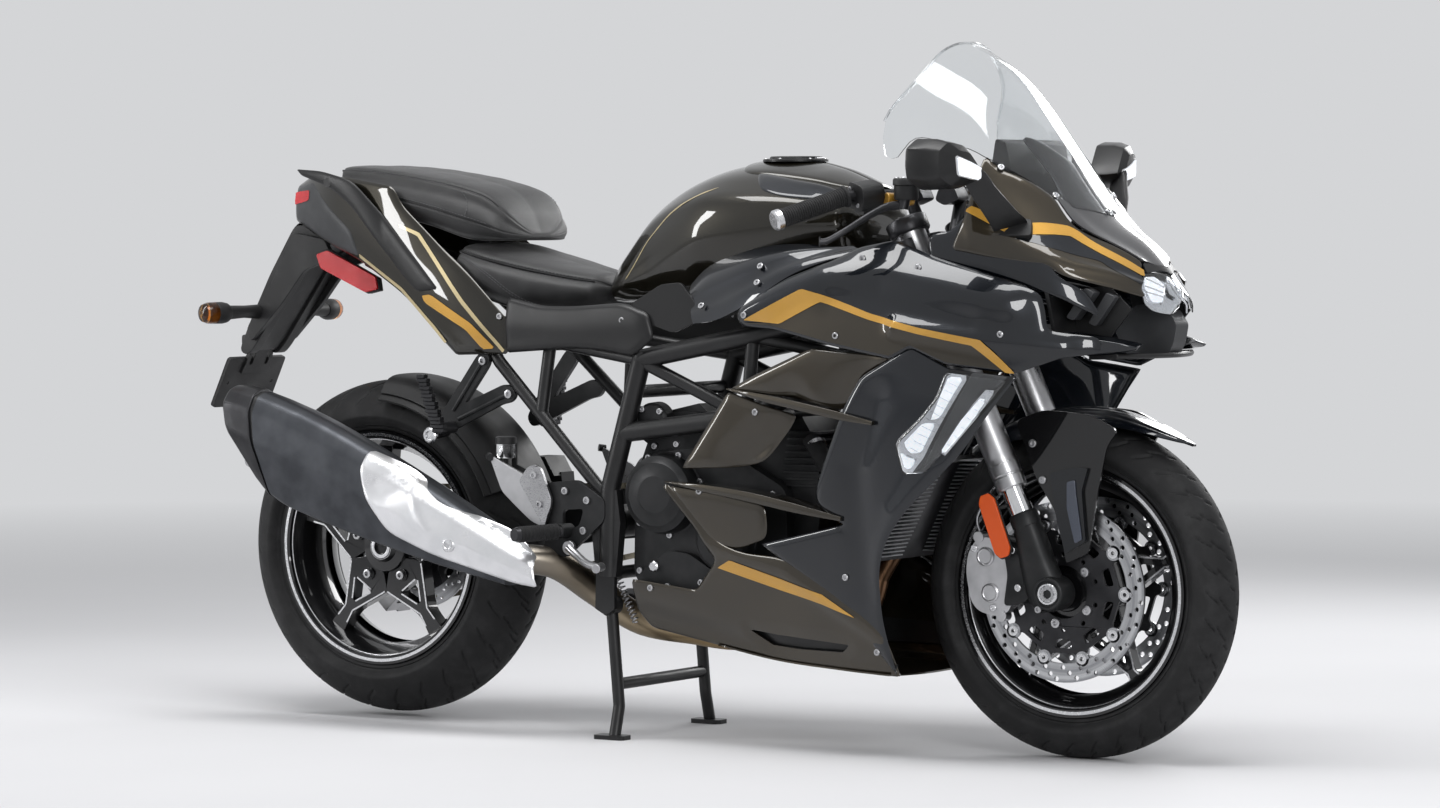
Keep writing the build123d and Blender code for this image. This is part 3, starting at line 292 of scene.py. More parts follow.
def lit_glass(name, colour, strength):
    """A lamp's bright inner part."""
    lamp = Finish(name, Roughness=0.25, Emission_Strength=strength)
    cells = lamp.cells(260).between(0.0, 0.6)
    dim = tuple(0.7 * part for part in colour[:3]) + (1.0,)
    lamp.set("Base Color", lamp.mix(cells, colour, dim))
    lamp.set("Emission Color", lamp.mix(cells, colour, dim))
    return lamp.material


NAVY = metallic_paint("navy_black_lacquer", rgb(5, 7, 10), rgb(19, 24, 33), 0.5, 0.32)
BRONZE = metallic_paint("charcoal_bronze_lacquer", rgb(24, 22, 18), rgb(70, 62, 48), 0.8, 0.34)
TANK_PAINT = metallic_paint("black_olive_lacquer", rgb(10, 10, 8), rgb(46, 42, 32), 0.7, 0.3)
GOLD = metallic_paint("gold_stripe", rgb(158, 116, 38), rgb(216, 166, 74), 0.45, 0.38)
PALE_GOLD = metallic_paint("pale_gold_line", rgb(150, 134, 96), rgb(205, 190, 150), 0.4, 0.35)
# Lighter blue-grey for the facet on each fender vane: a painted highlight in place of the reflection along it.
VANE_PAINTED_HIGHLIGHT = metallic_paint("vane_painted_highlight_lacquer", rgb(52, 57, 68), rgb(104, 110, 124), 0.6, 0.4)
GREY_PAINT = metallic_paint("dark_grey_lacquer", rgb(40, 40, 42), rgb(88, 88, 90), 0.6, 0.4)
BLACK_PLASTIC = moulded_plastic("black_moulding", rgb(20, 20, 21), rgb(32, 32, 33))
SATIN_BLACK = moulded_plastic("satin_black_moulding", rgb(15, 15, 16), rgb(26, 26, 27), 0.36, 1400,
                              0.08)
GREY_PLASTIC = moulded_plastic("grey_moulding", rgb(52, 53, 55), rgb(66, 67, 69), 0.42)
FRAME_PAINT = cast_metal("frame_powder_coat", rgb(17, 17, 18), rgb(28, 28, 29), 0.36, 0.2, 900,
                         0.15)
ENGINE_ALLOY = cast_metal("engine_casting", rgb(30, 31, 32), rgb(46, 46, 47), 0.42, 0.6)
DARK_ALLOY = cast_metal("dark_forging", rgb(44, 44, 46), rgb(62, 62, 64), 0.34, 0.8, 800, 0.12)
SILVER_ALLOY = cast_metal("silver_forging", rgb(168, 168, 170), rgb(196, 196, 198), 0.3, 1.0, 700,
                          0.12)
BRIGHT_ALLOY = drawn_metal("machined_alloy", rgb(196, 197, 199), rgb(220, 220, 222), (1, 6, 1))
CHROME = drawn_metal("ground_chrome", rgb(205, 206, 208), rgb(232, 232, 233), (4, 4, 0.3), 0.08,
                     0.04)
STEEL = drawn_metal("brushed_steel", rgb(150, 150, 152), rgb(186, 186, 188), (1, 8, 8), 0.26)
WHEEL_PAINT = metallic_paint("wheel_black_lacquer", rgb(12, 12, 13), rgb(32, 32, 34), 0.5, 0.3)
CHAIN_STEEL = cast_metal("chain_steel", rgb(112, 106, 92), rgb(150, 144, 128), 0.34, 1.0, 300, 0.2)
FRONT_DISC, REAR_DISC = [
    ground_disc(f"{end}_disc_face", f"{end}_wheel_spin", rgb(150, 151, 154), rgb(190, 191, 193))
    for end in ("front", "rear")]
HEADER = heat_tinted("header_steel", [rgb(120, 92, 70), rgb(176, 144, 96), rgb(150, 134, 108),
                                      rgb(120, 116, 110)], 0, 0.36, -0.25)
CAN_SKIN = cast_metal("silencer_satin", rgb(58, 60, 64), rgb(76, 78, 82), 0.36, 0.8, 1200, 0.05)
SHIELD_STEEL = cast_metal("silencer_shield", rgb(214, 215, 217), rgb(232, 232, 234), 0.3, 0.9, 900,
                          0.03)
TYRE_RUBBER = rubber("tyre_rubber", rgb(20, 20, 21), rgb(36, 36, 37))
GRIP_RUBBER = rubber("grip_rubber", rgb(26, 26, 27), rgb(40, 40, 41), 0.7)
VINYL = seat_vinyl("seat_vinyl", rgb(18, 18, 19), rgb(32, 32, 33))
THREAD = moulded_plastic("stitching_thread", rgb(74, 74, 76), rgb(96, 96, 98), 0.6, 2500, 0.4)
CLEAR = lens("screen_acrylic", (0.93, 0.95, 0.96, 1.0))
LAMP_LENS = lens("lamp_lens", (0.95, 0.96, 0.97, 1.0))
RED_LENS = lens("red_lens", (0.62, 0.015, 0.02, 1.0), 0.12)
AMBER_LENS = lens("amber_lens", (0.85, 0.24, 0.02, 1.0), 0.12)
AMBER = moulded_plastic("amber_reflector", rgb(214, 84, 26), rgb(232, 110, 40), 0.2, 1800, 0.3)
RED = moulded_plastic("red_reflector", rgb(176, 22, 30), rgb(205, 40, 46), 0.2, 1800, 0.3)
LED = lit_glass("led_white", (0.9, 0.93, 0.97, 1.0), 0.75)
REFLECTOR = drawn_metal("lamp_reflector", rgb(196, 198, 202), rgb(228, 230, 233), (2, 2, 2), 0.12)
DARK_GLASS = moulded_plastic("dial_glass", rgb(10, 11, 13), rgb(18, 19, 22), 0.1, 1500, 0.02)
MIRROR_GLASS = drawn_metal("mirror_glass", rgb(222, 224, 226), rgb(236, 238, 240), (1, 1, 1), 0.05,
                           0.0)
FIN_ALLOY = cast_metal("radiator_fins", rgb(168, 170, 173), rgb(200, 201, 204), 0.4, 0.5, 600,
                       0.05)
SLOT_FINISH = {
    "gloss_navy": NAVY, "charcoal": BRONZE, "bronze": BRONZE, "black_plastic": BLACK_PLASTIC,
    "vinyl": VINYL, "clear": CLEAR, "lamp_glass": LAMP_LENS, "red_lens": RED_LENS,
    "amber_lens": AMBER_LENS, "frame_black": FRAME_PAINT, "engine_alloy": ENGINE_ALLOY,
    "alloy": SILVER_ALLOY, "wheel_alloy": WHEEL_PAINT, "steel": STEEL, "disc_steel": FRONT_DISC,
    "header_steel": HEADER, "can_steel": CAN_SKIN, "tyre": TYRE_RUBBER}


def dress_frame():
    """Every carried-over node takes the finish of its slot."""
    slots = {entry["node"]: entry["material_slot"] for entry in frame["record"]["subparts"]}
    for name, node in frame["nodes"].items():
        node.data.materials.clear()
        node.data.materials.append(SLOT_FINISH[slots[name]])
        node.data.set_sharp_from_angle(angle=radians(32))


dress_frame()


# ---------------------------------------------------------------- mesh making
UP, LEFT, RIGHT = (0, 0, 1), (0, 1, 0), (0, -1, 0)
MM = 0.001  # a millimetre in metres
ON_CENTRE = 0.01  # points this near the centre plane are shared by joined halves
CREASE, BEVEL_FROM = 38, 35  # degrees from which an edge looks sharp, or is rounded


def keep(name, body, finish, verts, faces, stands_for=(), crease=CREASE):
    """Makes a mesh piece from millimetre points and sets it on its body."""
    mesh = bpy.data.meshes.new(name)
    mesh.from_pydata([tuple(MM * part for part in vert) for vert in verts], [], faces)
    mesh.validate()
    shape = bmesh.new()
    shape.from_mesh(mesh)
    bmesh.ops.recalc_face_normals(shape, faces=shape.faces)
    shape.to_mesh(mesh)
    shape.free()
    mesh.shade_smooth()
    if crease:
        mesh.set_sharp_from_angle(angle=radians(crease))
    mesh.materials.append(finish)
    made = bpy.data.objects.new(name, mesh)
    bpy.context.scene.collection.objects.link(made)
    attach(made, body)
    if stands_for:
        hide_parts(*stands_for)
    return made


class Heap:
    """Points and faces gathered from several small shapes into one mesh."""

    def __init__(self):
        self.verts, self.faces = [], []

    def put(self, shape, *others):
        """Adds shapes, each a pair of points and faces."""
        for verts, faces in (shape, *others):
            first = len(self.verts)
            self.verts += [tuple(vert) for vert in verts]
            self.faces += [tuple(first + index for index in face) for face in faces]
        return self

    def both_sides(self, joined=False):
        """Adds a mirror image on the other side, joined or not along the centre plane."""
        image = {}
        for index, (x, y, z) in enumerate(list(self.verts)):
            if joined and abs(y) < ON_CENTRE:
                image[index] = index
            else:
                image[index] = len(self.verts)
                self.verts.append((x, -y, z))
        self.faces += [tuple(image[index] for index in reversed(face)) for face in self.faces]
        return self

    def keep(self, name, body, finish, stands_for=(), crease=CREASE):
        return keep(name, body, finish, self.verts, self.faces, stands_for, crease)


def piece(name, finish, *shapes, body="chassis", mirrored=False, edge=0.0, segments=2,
          stands_for=(), crease=CREASE):
    """One mesh of several shapes, mirrored or not, its edges rounded by edge millimetres."""
    heap = Heap().put(*shapes)
    if mirrored:
        heap.both_sides()
    made = heap.keep(name, body, finish, stands_for, crease)
    return bevel(made, edge, segments) if edge else made


def bevel(made, width, segments=2):
    """Rounds the edges of a hard piece, width in millimetres."""
    modifier = made.modifiers.new("edges", "BEVEL")
    modifier.width, modifier.segments = MM * width, segments
    modifier.limit_method, modifier.angle_limit = "ANGLE", radians(BEVEL_FROM)
    modifier.harden_normals = False
    for polygon in made.data.polygons:
        polygon.use_smooth = True
    return made


def thicken(made, depth):
    """Gives a skin its wall, on its inner side, depth in millimetres."""
    shape = bmesh.new()
    shape.from_mesh(made.data)
    for edge in shape.edges:
        if edge.is_boundary:
            edge.smooth = False
    shape.to_mesh(made.data)
    shape.free()
    modifier = made.modifiers.new("wall", "SOLIDIFY")
    modifier.thickness, modifier.offset = MM * depth, -1.0
    modifier.use_even_offset = True
    return made


def curve_through(points, steps=8):
    """Smooth line through points, as many dimensions as they have."""
    points = [tuple(point) for point in points]
    ends = [points[0]] + points + [points[-1]]
    line = []
    for a, b, c, d in [ends[i:i + 4] for i in range(len(points) - 1)]:
        for step in range(steps):
            t = step / steps
            line.append(tuple(
                0.5 * (2 * q + (r - p) * t + (2 * p - 5 * q + 4 * r - s) * t * t
                       + (3 * q - p - 3 * r + s) * t ** 3)
                for p, q, r, s in zip(a, b, c, d)))
    return line + [points[-1]]


def evenly(points, gap=None, count=None, closed=False):
    """The same line with points at equal steps along it."""
    line = [tuple(point) for point in points] + ([tuple(points[0])] if closed else [])
    reach = [0.0]
    for a, b in zip(line, line[1:]):
        reach.append(reach[-1] + sqrt(sum((q - p) ** 2 for p, q in zip(a, b))))
    total = reach[-1]
    count = count or max(2, round(total / gap))
    out, at = [], 0
    for step in range(count + (0 if closed else 1)):
        wanted = total * step / count
        while at < len(line) - 2 and reach[at + 1] < wanted:
            at += 1
        span = reach[at + 1] - reach[at] or 1.0
        t = min(1.0, (wanted - reach[at]) / span)
        out.append(tuple(p + (q - p) * t for p, q in zip(line[at], line[at + 1])))
    return out


def rounded(points, radius, steps=4):
    """Closed 2-D outline with each corner cut by a small curve; radius may be per corner."""
    out, count = [], len(points)
    for index, corner in enumerate(points):
        r = radius[index] if isinstance(radius, (list, tuple)) else radius
        before, after = points[index - 1], points[(index + 1) % count]
        if r <= 0:
            out.append(tuple(corner))
            continue
        legs = []
        for other in (before, after):
            length = hypot(other[0] - corner[0], other[1] - corner[1]) or 1.0
            cut = min(r, 0.48 * length)
            legs.append((corner[0] + (other[0] - corner[0]) * cut / length,
                         corner[1] + (other[1] - corner[1]) * cut / length))
        for step in range(steps + 1):
            t = step / steps
            out.append(tuple((1 - t) ** 2 * a + 2 * t * (1 - t) * c + t * t * b
                             for a, c, b in zip(legs[0], corner, legs[1])))
    return out


def loft(rings, closed=True):
    """Skin over rings of equal point counts, capped at both ends if the rings are closed."""
    verts = [point for ring in rings for point in ring]
    size, faces = len(rings[0]), []
    span = size if closed else size - 1
    for row in range(len(rings) - 1):
        for col in range(span):
            a, b = row * size + col, row * size + (col + 1) % size
            faces.append((a, b, b + size, a + size))
    if closed:
        faces.append(tuple(range(size - 1, -1, -1)))
        faces.append(tuple(range(len(verts) - size, len(verts))))
    return verts, faces


def tube(path, radius, sides=14):
    """Round bar along a line; radius is one number or one for each point."""
    path = [Vector(point) for point in path]
    radii = radius if isinstance(radius, (list, tuple)) else [radius] * len(path)
    rings, up = [], None
    for index, point in enumerate(path):
        ahead = path[min(index + 1, len(path) - 1)] - path[max(index - 1, 0)]
        ahead.normalize()
        if up is None:
            up = ahead.orthogonal()
        up = (up - ahead * up.dot(ahead)).normalized()
        side = ahead.cross(up)
        rings.append([tuple(point + radii[index] * (cos(2 * pi * k / sides) * up
                                                    + sin(2 * pi * k / sides) * side))
                      for k in range(sides)])
    return loft(rings)


def turned(profile, centre, axis=LEFT, steps=72, closed=False):
    """Turns (radius, along) points about an axis through centre."""
    axis, centre = Vector(axis).normalized(), Vector(centre)
    first = Vector((0, 0, 1)) if abs(axis.z) < 0.9 else Vector((1, 0, 0))
    u = (first - axis * first.dot(axis)).normalized()
    v = axis.cross(u)
    rings = []
    for step in range(steps):
        angle = radians(360.0 * step / steps)
        out = cos(angle) * u + sin(angle) * v
        rings.append([tuple(centre + r * out + a * axis) for r, a in profile])
    verts = [point for ring in rings for point in ring]
    size, faces = len(profile), []
    span = size if closed else size - 1
    for row in range(len(rings)):
        for col in range(span):
            a, b = row * size + col, row * size + (col + 1) % size
            c = (row + 1) % len(rings) * size
            faces.append((a, b, c + (col + 1) % size, c + col))
    return verts, faces


def slab(outline, holes, place, low, high):
    """Flat plate with holes: 2-D outlines put in space by place(u, v, height)."""
    loops = [list(outline)] + [list(hole) for hole in holes]
    flat = [[Vector((u, v, 0)) for u, v in loop] for loop in loops]
    triangles = geometry.tessellate_polygon(flat)
    points = [point for loop in loops for point in loop]
    verts = [tuple(place(u, v, low)) for u, v in points]
    verts += [tuple(place(u, v, high)) for u, v in points]
    count = len(points)
    faces = [tuple(face) for face in triangles]
    faces += [tuple(index + count for index in reversed(face)) for face in triangles]
    first = 0
    for loop in loops:
        size = len(loop)
        for k in range(size):
            a, b = first + k, first + (k + 1) % size
            faces.append((a, b, b + count, a + count))
        first += size
    return verts, faces


def circle(u, v, radius, sides=16):
    """Round 2-D outline."""
    return [(u + radius * cos(2 * pi * k / sides), v + radius * sin(2 * pi * k / sides))
            for k in range(sides)]


def side_view(u, v, height):
    """Puts a side-view outline at a distance left of centre."""
    return u, height, v


def plan_view(u, v, height):
    """Puts an outline seen from above at a height."""
    return u, v, height


def block(outline, y_from, y_to, holes=()):
    """Plate with a side-view outline, between two distances left of centre."""
    return slab(outline, holes, side_view, y_from, y_to)


def brick(low, high):
    """Box between two corners."""
    xs, ys, zs = zip(low, high)
    verts = [(x, y, z) for x in xs for y in ys for z in zs]
    return verts, [(0, 1, 3, 2), (4, 6, 7, 5), (0, 4, 5, 1), (2, 3, 7, 6), (0, 2, 6, 4),
                   (1, 5, 7, 3)]


def on_plane(centre, normal, up=UP):
    """place(u, v, height) on a plane: u sideways, v upwards, height along its normal."""
    centre, normal = Vector(centre), Vector(normal).normalized()
    v_axis = (Vector(up) - normal * Vector(up).dot(normal)).normalized()
    u_axis = v_axis.cross(normal)
    return lambda u, v, h: tuple(centre + u * u_axis + v * v_axis + h * normal)


def bolt(centre, normal, radius=5.0, height=4.0):
    """Cap screw with a hexagon socket, its underside at centre."""
    rim = 0.86 * radius
    floor = height - 0.55 * radius
    profile = [(radius, 0), (radius, height - 0.6), (rim, height), (0.52 * radius, height),
               (0.5 * radius, floor), (0.01, floor)]
    return turned(profile, centre, normal, 12)


def on_sides(places, tilt=0.0):
    """(x, z, half-width) places on both sides of the machine, each with its outward way."""
    return [((x, side * y, z), (0, side, tilt)) for side in (1, -1) for x, z, y in places]


def bolts(name, body, places, radius=5.0, height=4.0, finish=None):
    """Cap screws at (centre, outward way) places, as one mesh."""
    heap = Heap()
    for centre, normal in places:
        heap.put(bolt(centre, normal, radius, height))
    return heap.keep(name, body, finish or SILVER_ALLOY, crease=30)


def fill(outline, gap, holes=(), rows=()):
    """Even triangles inside a closed 2-D outline: points and faces, border points first.

    Each of rows is a distance from the border at which a row of points follows it.
    """
    border = evenly(outline, gap, closed=True)
    loops = [border] + [evenly(hole, gap, closed=True) for hole in holes]
    points = [Vector(point) for loop in loops for point in loop]
    edges, first = [], 0
    for loop in loops:
        edges += [(first + k, first + (k + 1) % len(loop)) for k in range(len(loop))]
        first += len(loop)
    walls = [(loop[k - 1], loop[k]) for loop in loops for k in range(len(loop))]
    turn = sum(a[0] * b[1] - b[0] * a[1] for a, b in zip(border, border[1:] + border[:1]))
    for far in rows:
        for k, (u, v) in enumerate(border):
            before, after = border[k - 1], border[(k + 1) % len(border)]
            way = Vector((after[0] - before[0], after[1] - before[1])).normalized()
            out = Vector((-way.y, way.x)) * (far if turn > 0 else -far)
            if is_inside(u + out.x, v + out.y, loops) and clear_of(u + out.x, v + out.y, walls,
                                                                  0.9 * far):
                points.append(Vector((u + out.x, v + out.y)))
    us, vs = [p[0] for p in border], [p[1] for p in border]
    down = int((max(vs) - min(vs)) / (gap * 0.87)) + 1
    across = int((max(us) - min(us)) / gap) + 1
    room = (rows[-1] if rows else 0) + 0.55 * gap
    for row in range(1, down):
        v = min(vs) + row * gap * 0.87
        for col in range(across + 1):
            u = min(us) + (col + 0.5 * (row % 2)) * gap
            if is_inside(u, v, loops) and clear_of(u, v, walls, room):
                points.append(Vector((u, v)))
    made = geometry.delaunay_2d_cdt(points, edges, [], 1, 1e-5)
    verts, faces = made[0], made[2]
    inner = [face for face in faces
             if is_inside(*(sum(verts[i][axis] for i in face) / 3 for axis in (0, 1)), loops)]
    return [tuple(vert) for vert in verts], inner


def is_inside(u, v, loops):
    """Whether a point is inside the outline and outside its holes."""
    hit = False
    for loop in loops:
        for (u0, v0), (u1, v1) in zip(loop, loop[1:] + loop[:1]):
            if (v0 > v) != (v1 > v) and u < u0 + (v - v0) * (u1 - u0) / (v1 - v0):
                hit = not hit
    return hit


def to_line(u, v, line):
    """Distance from a 2-D point to a run of straight pieces."""
    best = 1e9
    for (u0, v0), (u1, v1) in zip(line, line[1:]):
        du, dv = u1 - u0, v1 - v0
        t = max(0.0, min(1.0, ((u - u0) * du + (v - v0) * dv) / (du * du + dv * dv or 1.0)))
        best = min(best, hypot(u - u0 - t * du, v - v0 - t * dv))
    return best


def clear_of(u, v, walls, room):
    """Whether a point keeps its room from every stretch of border."""
    for (u0, v0), (u1, v1) in walls:
        if min(u0, u1) - room < u < max(u0, u1) + room and min(v0, v1) - room < v < max(v0, v1) + room:
            if to_line(u, v, ((u0, v0), (u1, v1))) < room:
                return False
    return True


def skin(outline, surface, gap=14.0, lip=0.0, lip_drop=0.0, holes=()):
    """Panel over a surface: surface(u, v, lift) gives the point, lift being outward.

    Within lip of its border the panel rolls in by lip_drop.
    """
    rows = [lip * part for part in (0.14, 0.4, 0.7, 1.0)] if lip else []
    step = 0.62 * gap if lip else gap
    points, faces = fill(outline, step, holes, rows)
    rings = [evenly(loop, step, closed=True) for loop in [outline] + list(holes)]
    verts = []
    for u, v in points:
        drop = 0.0
        if lip:
            near = min(1.0, min(to_line(u, v, ring + ring[:1]) for ring in rings) / lip)
            drop = lip_drop * (1 - sqrt(1 - (1 - near) ** 2))
        verts.append(tuple(surface(u, v, -drop)))
    return verts, faces


# ---------------------------------------------------------------- floor, sky and lamps
def pale_floor():
    """Pale floor that runs into a background of its own colour, keeping only shadows."""
    floor = Finish("pale_floor", Specular_IOR_Level=0.1)
    marks = floor.noise(1.2, 3.0)
    floor.set("Base Color", floor.mix(marks, rgb(214, 214, 216), rgb(208, 208, 210)))
    floor.set("Roughness", 0.75 + 0.15 * marks)
    radius, sides = 60, 64
    x, y = floor.place(0), floor.place(1)
    away = (x * x + y * y).sqrt().between(2.6, 7.5)
    haze = floor.node("ShaderNodeEmission", {}, {"Color": BACKGROUND})
    blend = floor.node("ShaderNodeMixShader", {}, {0: away})
    links = floor.tree.links
    mixer = blend.socket.node
    links.new(floor.surface.outputs[0], mixer.inputs[1])
    links.new(haze.socket, mixer.inputs[2])
    links.new(mixer.outputs[0], floor.tree.nodes["Material Output"].inputs["Surface"])
    mesh = bpy.data.meshes.new("studio_floor")
    mesh.from_pydata([(radius * cos(2 * pi * k / sides), radius * sin(2 * pi * k / sides), 0.0)
                      for k in range(sides)], [], [tuple(range(sides))])
    mesh.materials.append(floor.material)
    ground = bpy.data.objects.new("studio_floor", mesh)
    bpy.context.scene.collection.objects.link(ground)


def pale_sky(light):
    """World: the background's own colour where it is seen, a plain grey light elsewhere."""
    world = bpy.data.worlds.new("studio_sky")
    bpy.context.scene.world = world
    world.use_nodes = True
    nodes, links = world.node_tree.nodes, world.node_tree.links
    sky = nodes["Background"]
    sky.inputs["Color"].default_value = BACKGROUND
    ray = nodes.new("ShaderNodeLightPath")
    seen = nodes.new("ShaderNodeMath")
    seen.operation = "MAXIMUM"
    mirrored = nodes.new("ShaderNodeMath")
    mirrored.operation = "MAXIMUM"
    strength = nodes.new("ShaderNodeMapRange")
    strength.inputs["To Min"].default_value = light
    strength.inputs["To Max"].default_value = 1.0
    links.new(ray.outputs["Is Camera Ray"], seen.inputs[0])
    links.new(ray.outputs["Is Glossy Ray"], seen.inputs[1])
    links.new(seen.outputs[0], mirrored.inputs[0])
    links.new(ray.outputs["Is Transmission Ray"], mirrored.inputs[1])
    links.new(mirrored.outputs[0], strength.inputs["Value"])
    links.new(strength.outputs[0], sky.inputs["Strength"])


def lamp(name, place, aim, size, watts):
    """Rectangular soft box; place, aim and size in metres."""
    data = bpy.data.lights.new(name, "AREA")
    data.shape, data.size, data.size_y = "RECTANGLE", *size
    data.energy = watts
    light = bpy.data.objects.new(name, data)
    light.location = place
    light.rotation_euler = (Vector(aim) - Vector(place)).to_track_quat("-Z", "Y").to_euler()
    bpy.context.scene.collection.objects.link(light)


BACKGROUND = rgb(212, 213, 215)
bpy.context.scene.view_settings.view_transform = "Standard"
pale_floor()
pale_sky(0.62)
lamp("overhead_box", (0.1, -0.6, 3.3), (0, 0, 0.6), (3.4, 1.1), 95)
lamp("front_box", (3.4, -2.9, 1.9), (0.3, 0, 0.6), (0.7, 2.2), 60)
lamp("rear_strip", (-3.2, -2.4, 1.7), (-0.4, 0, 0.6), (0.35, 2.4), 45)
lamp("far_box", (0.6, 3.6, 2.2), (0, 0, 0.6), (2.4, 1.0), 60)


# ---------------------------------------------------------------- wheels
def anchor(joint):
    """Anchor of a joint, in millimetres."""
    return tuple(round(part / MM, 2) for part in JOINT_AT[joint])


FRONT_HUB, REAR_HUB = anchor("front_wheel_spin"), anchor("rear_wheel_spin")
FRONT_AXLE, REAR_AXLE = [(x, z) for x, _, z in (FRONT_HUB, REAR_HUB)]
FRONT_BEAD, REAR_BEAD = 44.5, 76.0  # half-widths between the rim's flanges
TREAD_DEPTH, GROOVE_EDGE = 3.4, 0.9
TIPS = [18 + 72 * k for k in range(5)]  # where the five spokes meet each rim, in degrees


def wheel_point(axle, radius, angle, y, aside=0.0):
    """Point at a radius and angle round an axle, aside being square to that radius."""
    c, s = cos(radians(angle)), sin(radians(angle))
    return axle[0] + radius * c - aside * s, y, axle[1] + radius * s + aside * c


def groove_depth(along, across_by, slits, pitch):
    """0 to 1, how deep the tread is cut at a point; slits are lines in one pitch."""
    deepest = 0.0
    for line, half in slits:
        for shift in (-pitch, 0.0, pitch):
            gap = to_line(along + shift, across_by, line)
            deepest = max(deepest, min(1.0, max(0.0, (half + GROOVE_EDGE - gap) / GROOVE_EDGE)))
    return deepest


def tyre(name, body, axle, outer_r, width, bead_y, repeats, columns, slits, stands_for):
    """Round-crowned tyre whose tread grooves are cut in its mesh."""
    shoulder = outer_r - 0.29 * width - 14
    half = width / 2
    rise = outer_r - shoulder
    arc_r = (half * half + rise * rise) / (2 * rise)
    top = atan2(half, arc_r - rise)
    foot_r, foot_y = 234, bead_y + 3.2  # where the sidewall leaves the rim's flange
    side = [(219, bead_y - 2, None), (226, bead_y + 1.5, None), (230, bead_y + 3.5, None),
            (foot_r, foot_y, None)]
    side += [(foot_r + (shoulder - foot_r) * t,
              foot_y + (half - 0.4 - foot_y) * sin(0.5 * pi * t), None) for t in (0.25, 0.5, 0.75)]
    rows = round(2 * arc_r * top / 2.9)
    crown = []
    for row in range(rows + 1):
        turn = top - 2 * top * row / rows
        crown.append((outer_r - arc_r + arc_r * cos(turn), arc_r * sin(turn), arc_r * turn))
    profile = side + crown + [(r, -y, None) for r, y, _ in reversed(side)]
    pitch = 2 * pi * outer_r / repeats
    mirrored = [([(c + pitch / 2, -t) for c, t in line], w) for line, w in slits]
    tile = [[groove_depth(pitch * col / columns, t, slits + mirrored, pitch) if t is not None
             else 0.0 for _, _, t in profile] for col in range(columns)]
    verts, faces = [], []
    size, steps = len(profile), repeats * columns
    for step in range(steps):
        angle = 360.0 * step / steps
        for (r, y, t), cut in zip(profile, tile[step % columns]):
            verts.append(wheel_point(axle, r - TREAD_DEPTH * cut, angle, y))
    for step in range(steps):
        a, b = step * size, (step + 1) % steps * size
        faces += [(a + k, a + k + 1, b + k + 1, b + k) for k in range(size - 1)]
    return keep(name, body, TYRE_RUBBER, verts, faces, stands_for, crease=60)


FRONT_SLITS = [([(0, 17), (10, 27), (24, 38)], 1.3), ([(14, 40), (23, 51), (38, 62)], 1.5),
               ([(36, 6), (44, 16)], 1.0)]
REAR_SLITS = [([(0, 14), (13, 34), (34, 58)], 1.8), ([(30, 66), (40, 80), (56, 96)], 1.8),
              ([(48, 4), (58, 20), (66, 30)], 1.6)]
tyre("front_tyre_tread", "front_wheel", FRONT_AXLE, 300, 120, FRONT_BEAD, 36, 20, FRONT_SLITS,
     ("front_tyre",))
tyre("rear_tyre_tread", "rear_wheel", REAR_AXLE, 320, 190, REAR_BEAD, 30, 22, REAR_SLITS,
     ("rear_tyre",))


def moulded_rings(name, body, hub, rings):
    """Fine raised rings, given as (radius, half-width), on both sidewalls."""
    wide, sunk, proud = 1.6, 1.2, 0.8
    piece(name, TYRE_RUBBER,
          *[turned([(radius - wide, side * (y - sunk)), (radius, side * (y + proud)),
                    (radius + wide, side * (y - sunk))], hub, steps=160)
            for radius, y in rings for side in (1, -1)], body=body, crease=60)


moulded_rings("front_sidewall_rings", "front_wheel", FRONT_HUB, [(232.5, 48.5), (242, 54.6)])
moulded_rings("rear_sidewall_rings", "rear_wheel", REAR_HUB, [(232.5, 80), (242, 88.6)])


def rim(name, body, hub, bead_y, stands_for):
    """Drop-centre barrel with stepped flanges and a bright line on each side."""
    out = bead_y + 6
    half = [(226, out - 3), (226, bead_y), (216, bead_y), (215, bead_y - 16), (199, 0.62 * bead_y),
            (192, 0.36 * bead_y)]
    inner = [(186, 0.36 * bead_y), (190, 0.6 * bead_y), (203, 0.86 * bead_y), (206, bead_y - 4),
             (208.5, bead_y - 3), (209, out - 2), (211, out), (224.5, out)]
    outline = half + [(r, -y) for r, y in reversed(half)] + \
        [(r, -y) for r, y in inner] + [(r, y) for r, y in reversed(inner)]
    piece(name, WHEEL_PAINT, turned(outline, hub, steps=144, closed=True), body=body,
          stands_for=stands_for, crease=30)
    lines = ([(213.5, out - 0.5), (213.8, out + 0.5), (219.4, out + 0.5), (219.7, out - 0.5)],
             [(205.2, bead_y - 8), (206.8, bead_y - 3.6), (208.2, bead_y - 2.7)])
    piece(name + "_bright_line", BRIGHT_ALLOY,
          *[turned([(r, side * y) for r, y in line], hub, steps=144)
            for side in (1, -1) for line in lines], body=body, crease=30)


rim("front_rim_barrel", "front_wheel", FRONT_HUB, FRONT_BEAD, ("front_rim",))
rim("rear_rim_barrel", "rear_wheel", REAR_HUB, REAR_BEAD, ("rear_rim",))


def spoke_plate(axle, angle, outline, holes, low, high):
    """One spoke: outline of (radius, aside) points between two widths from centre."""
    return slab(outline, holes, lambda u, v, h: wheel_point(axle, u, angle, h, v), low, high)


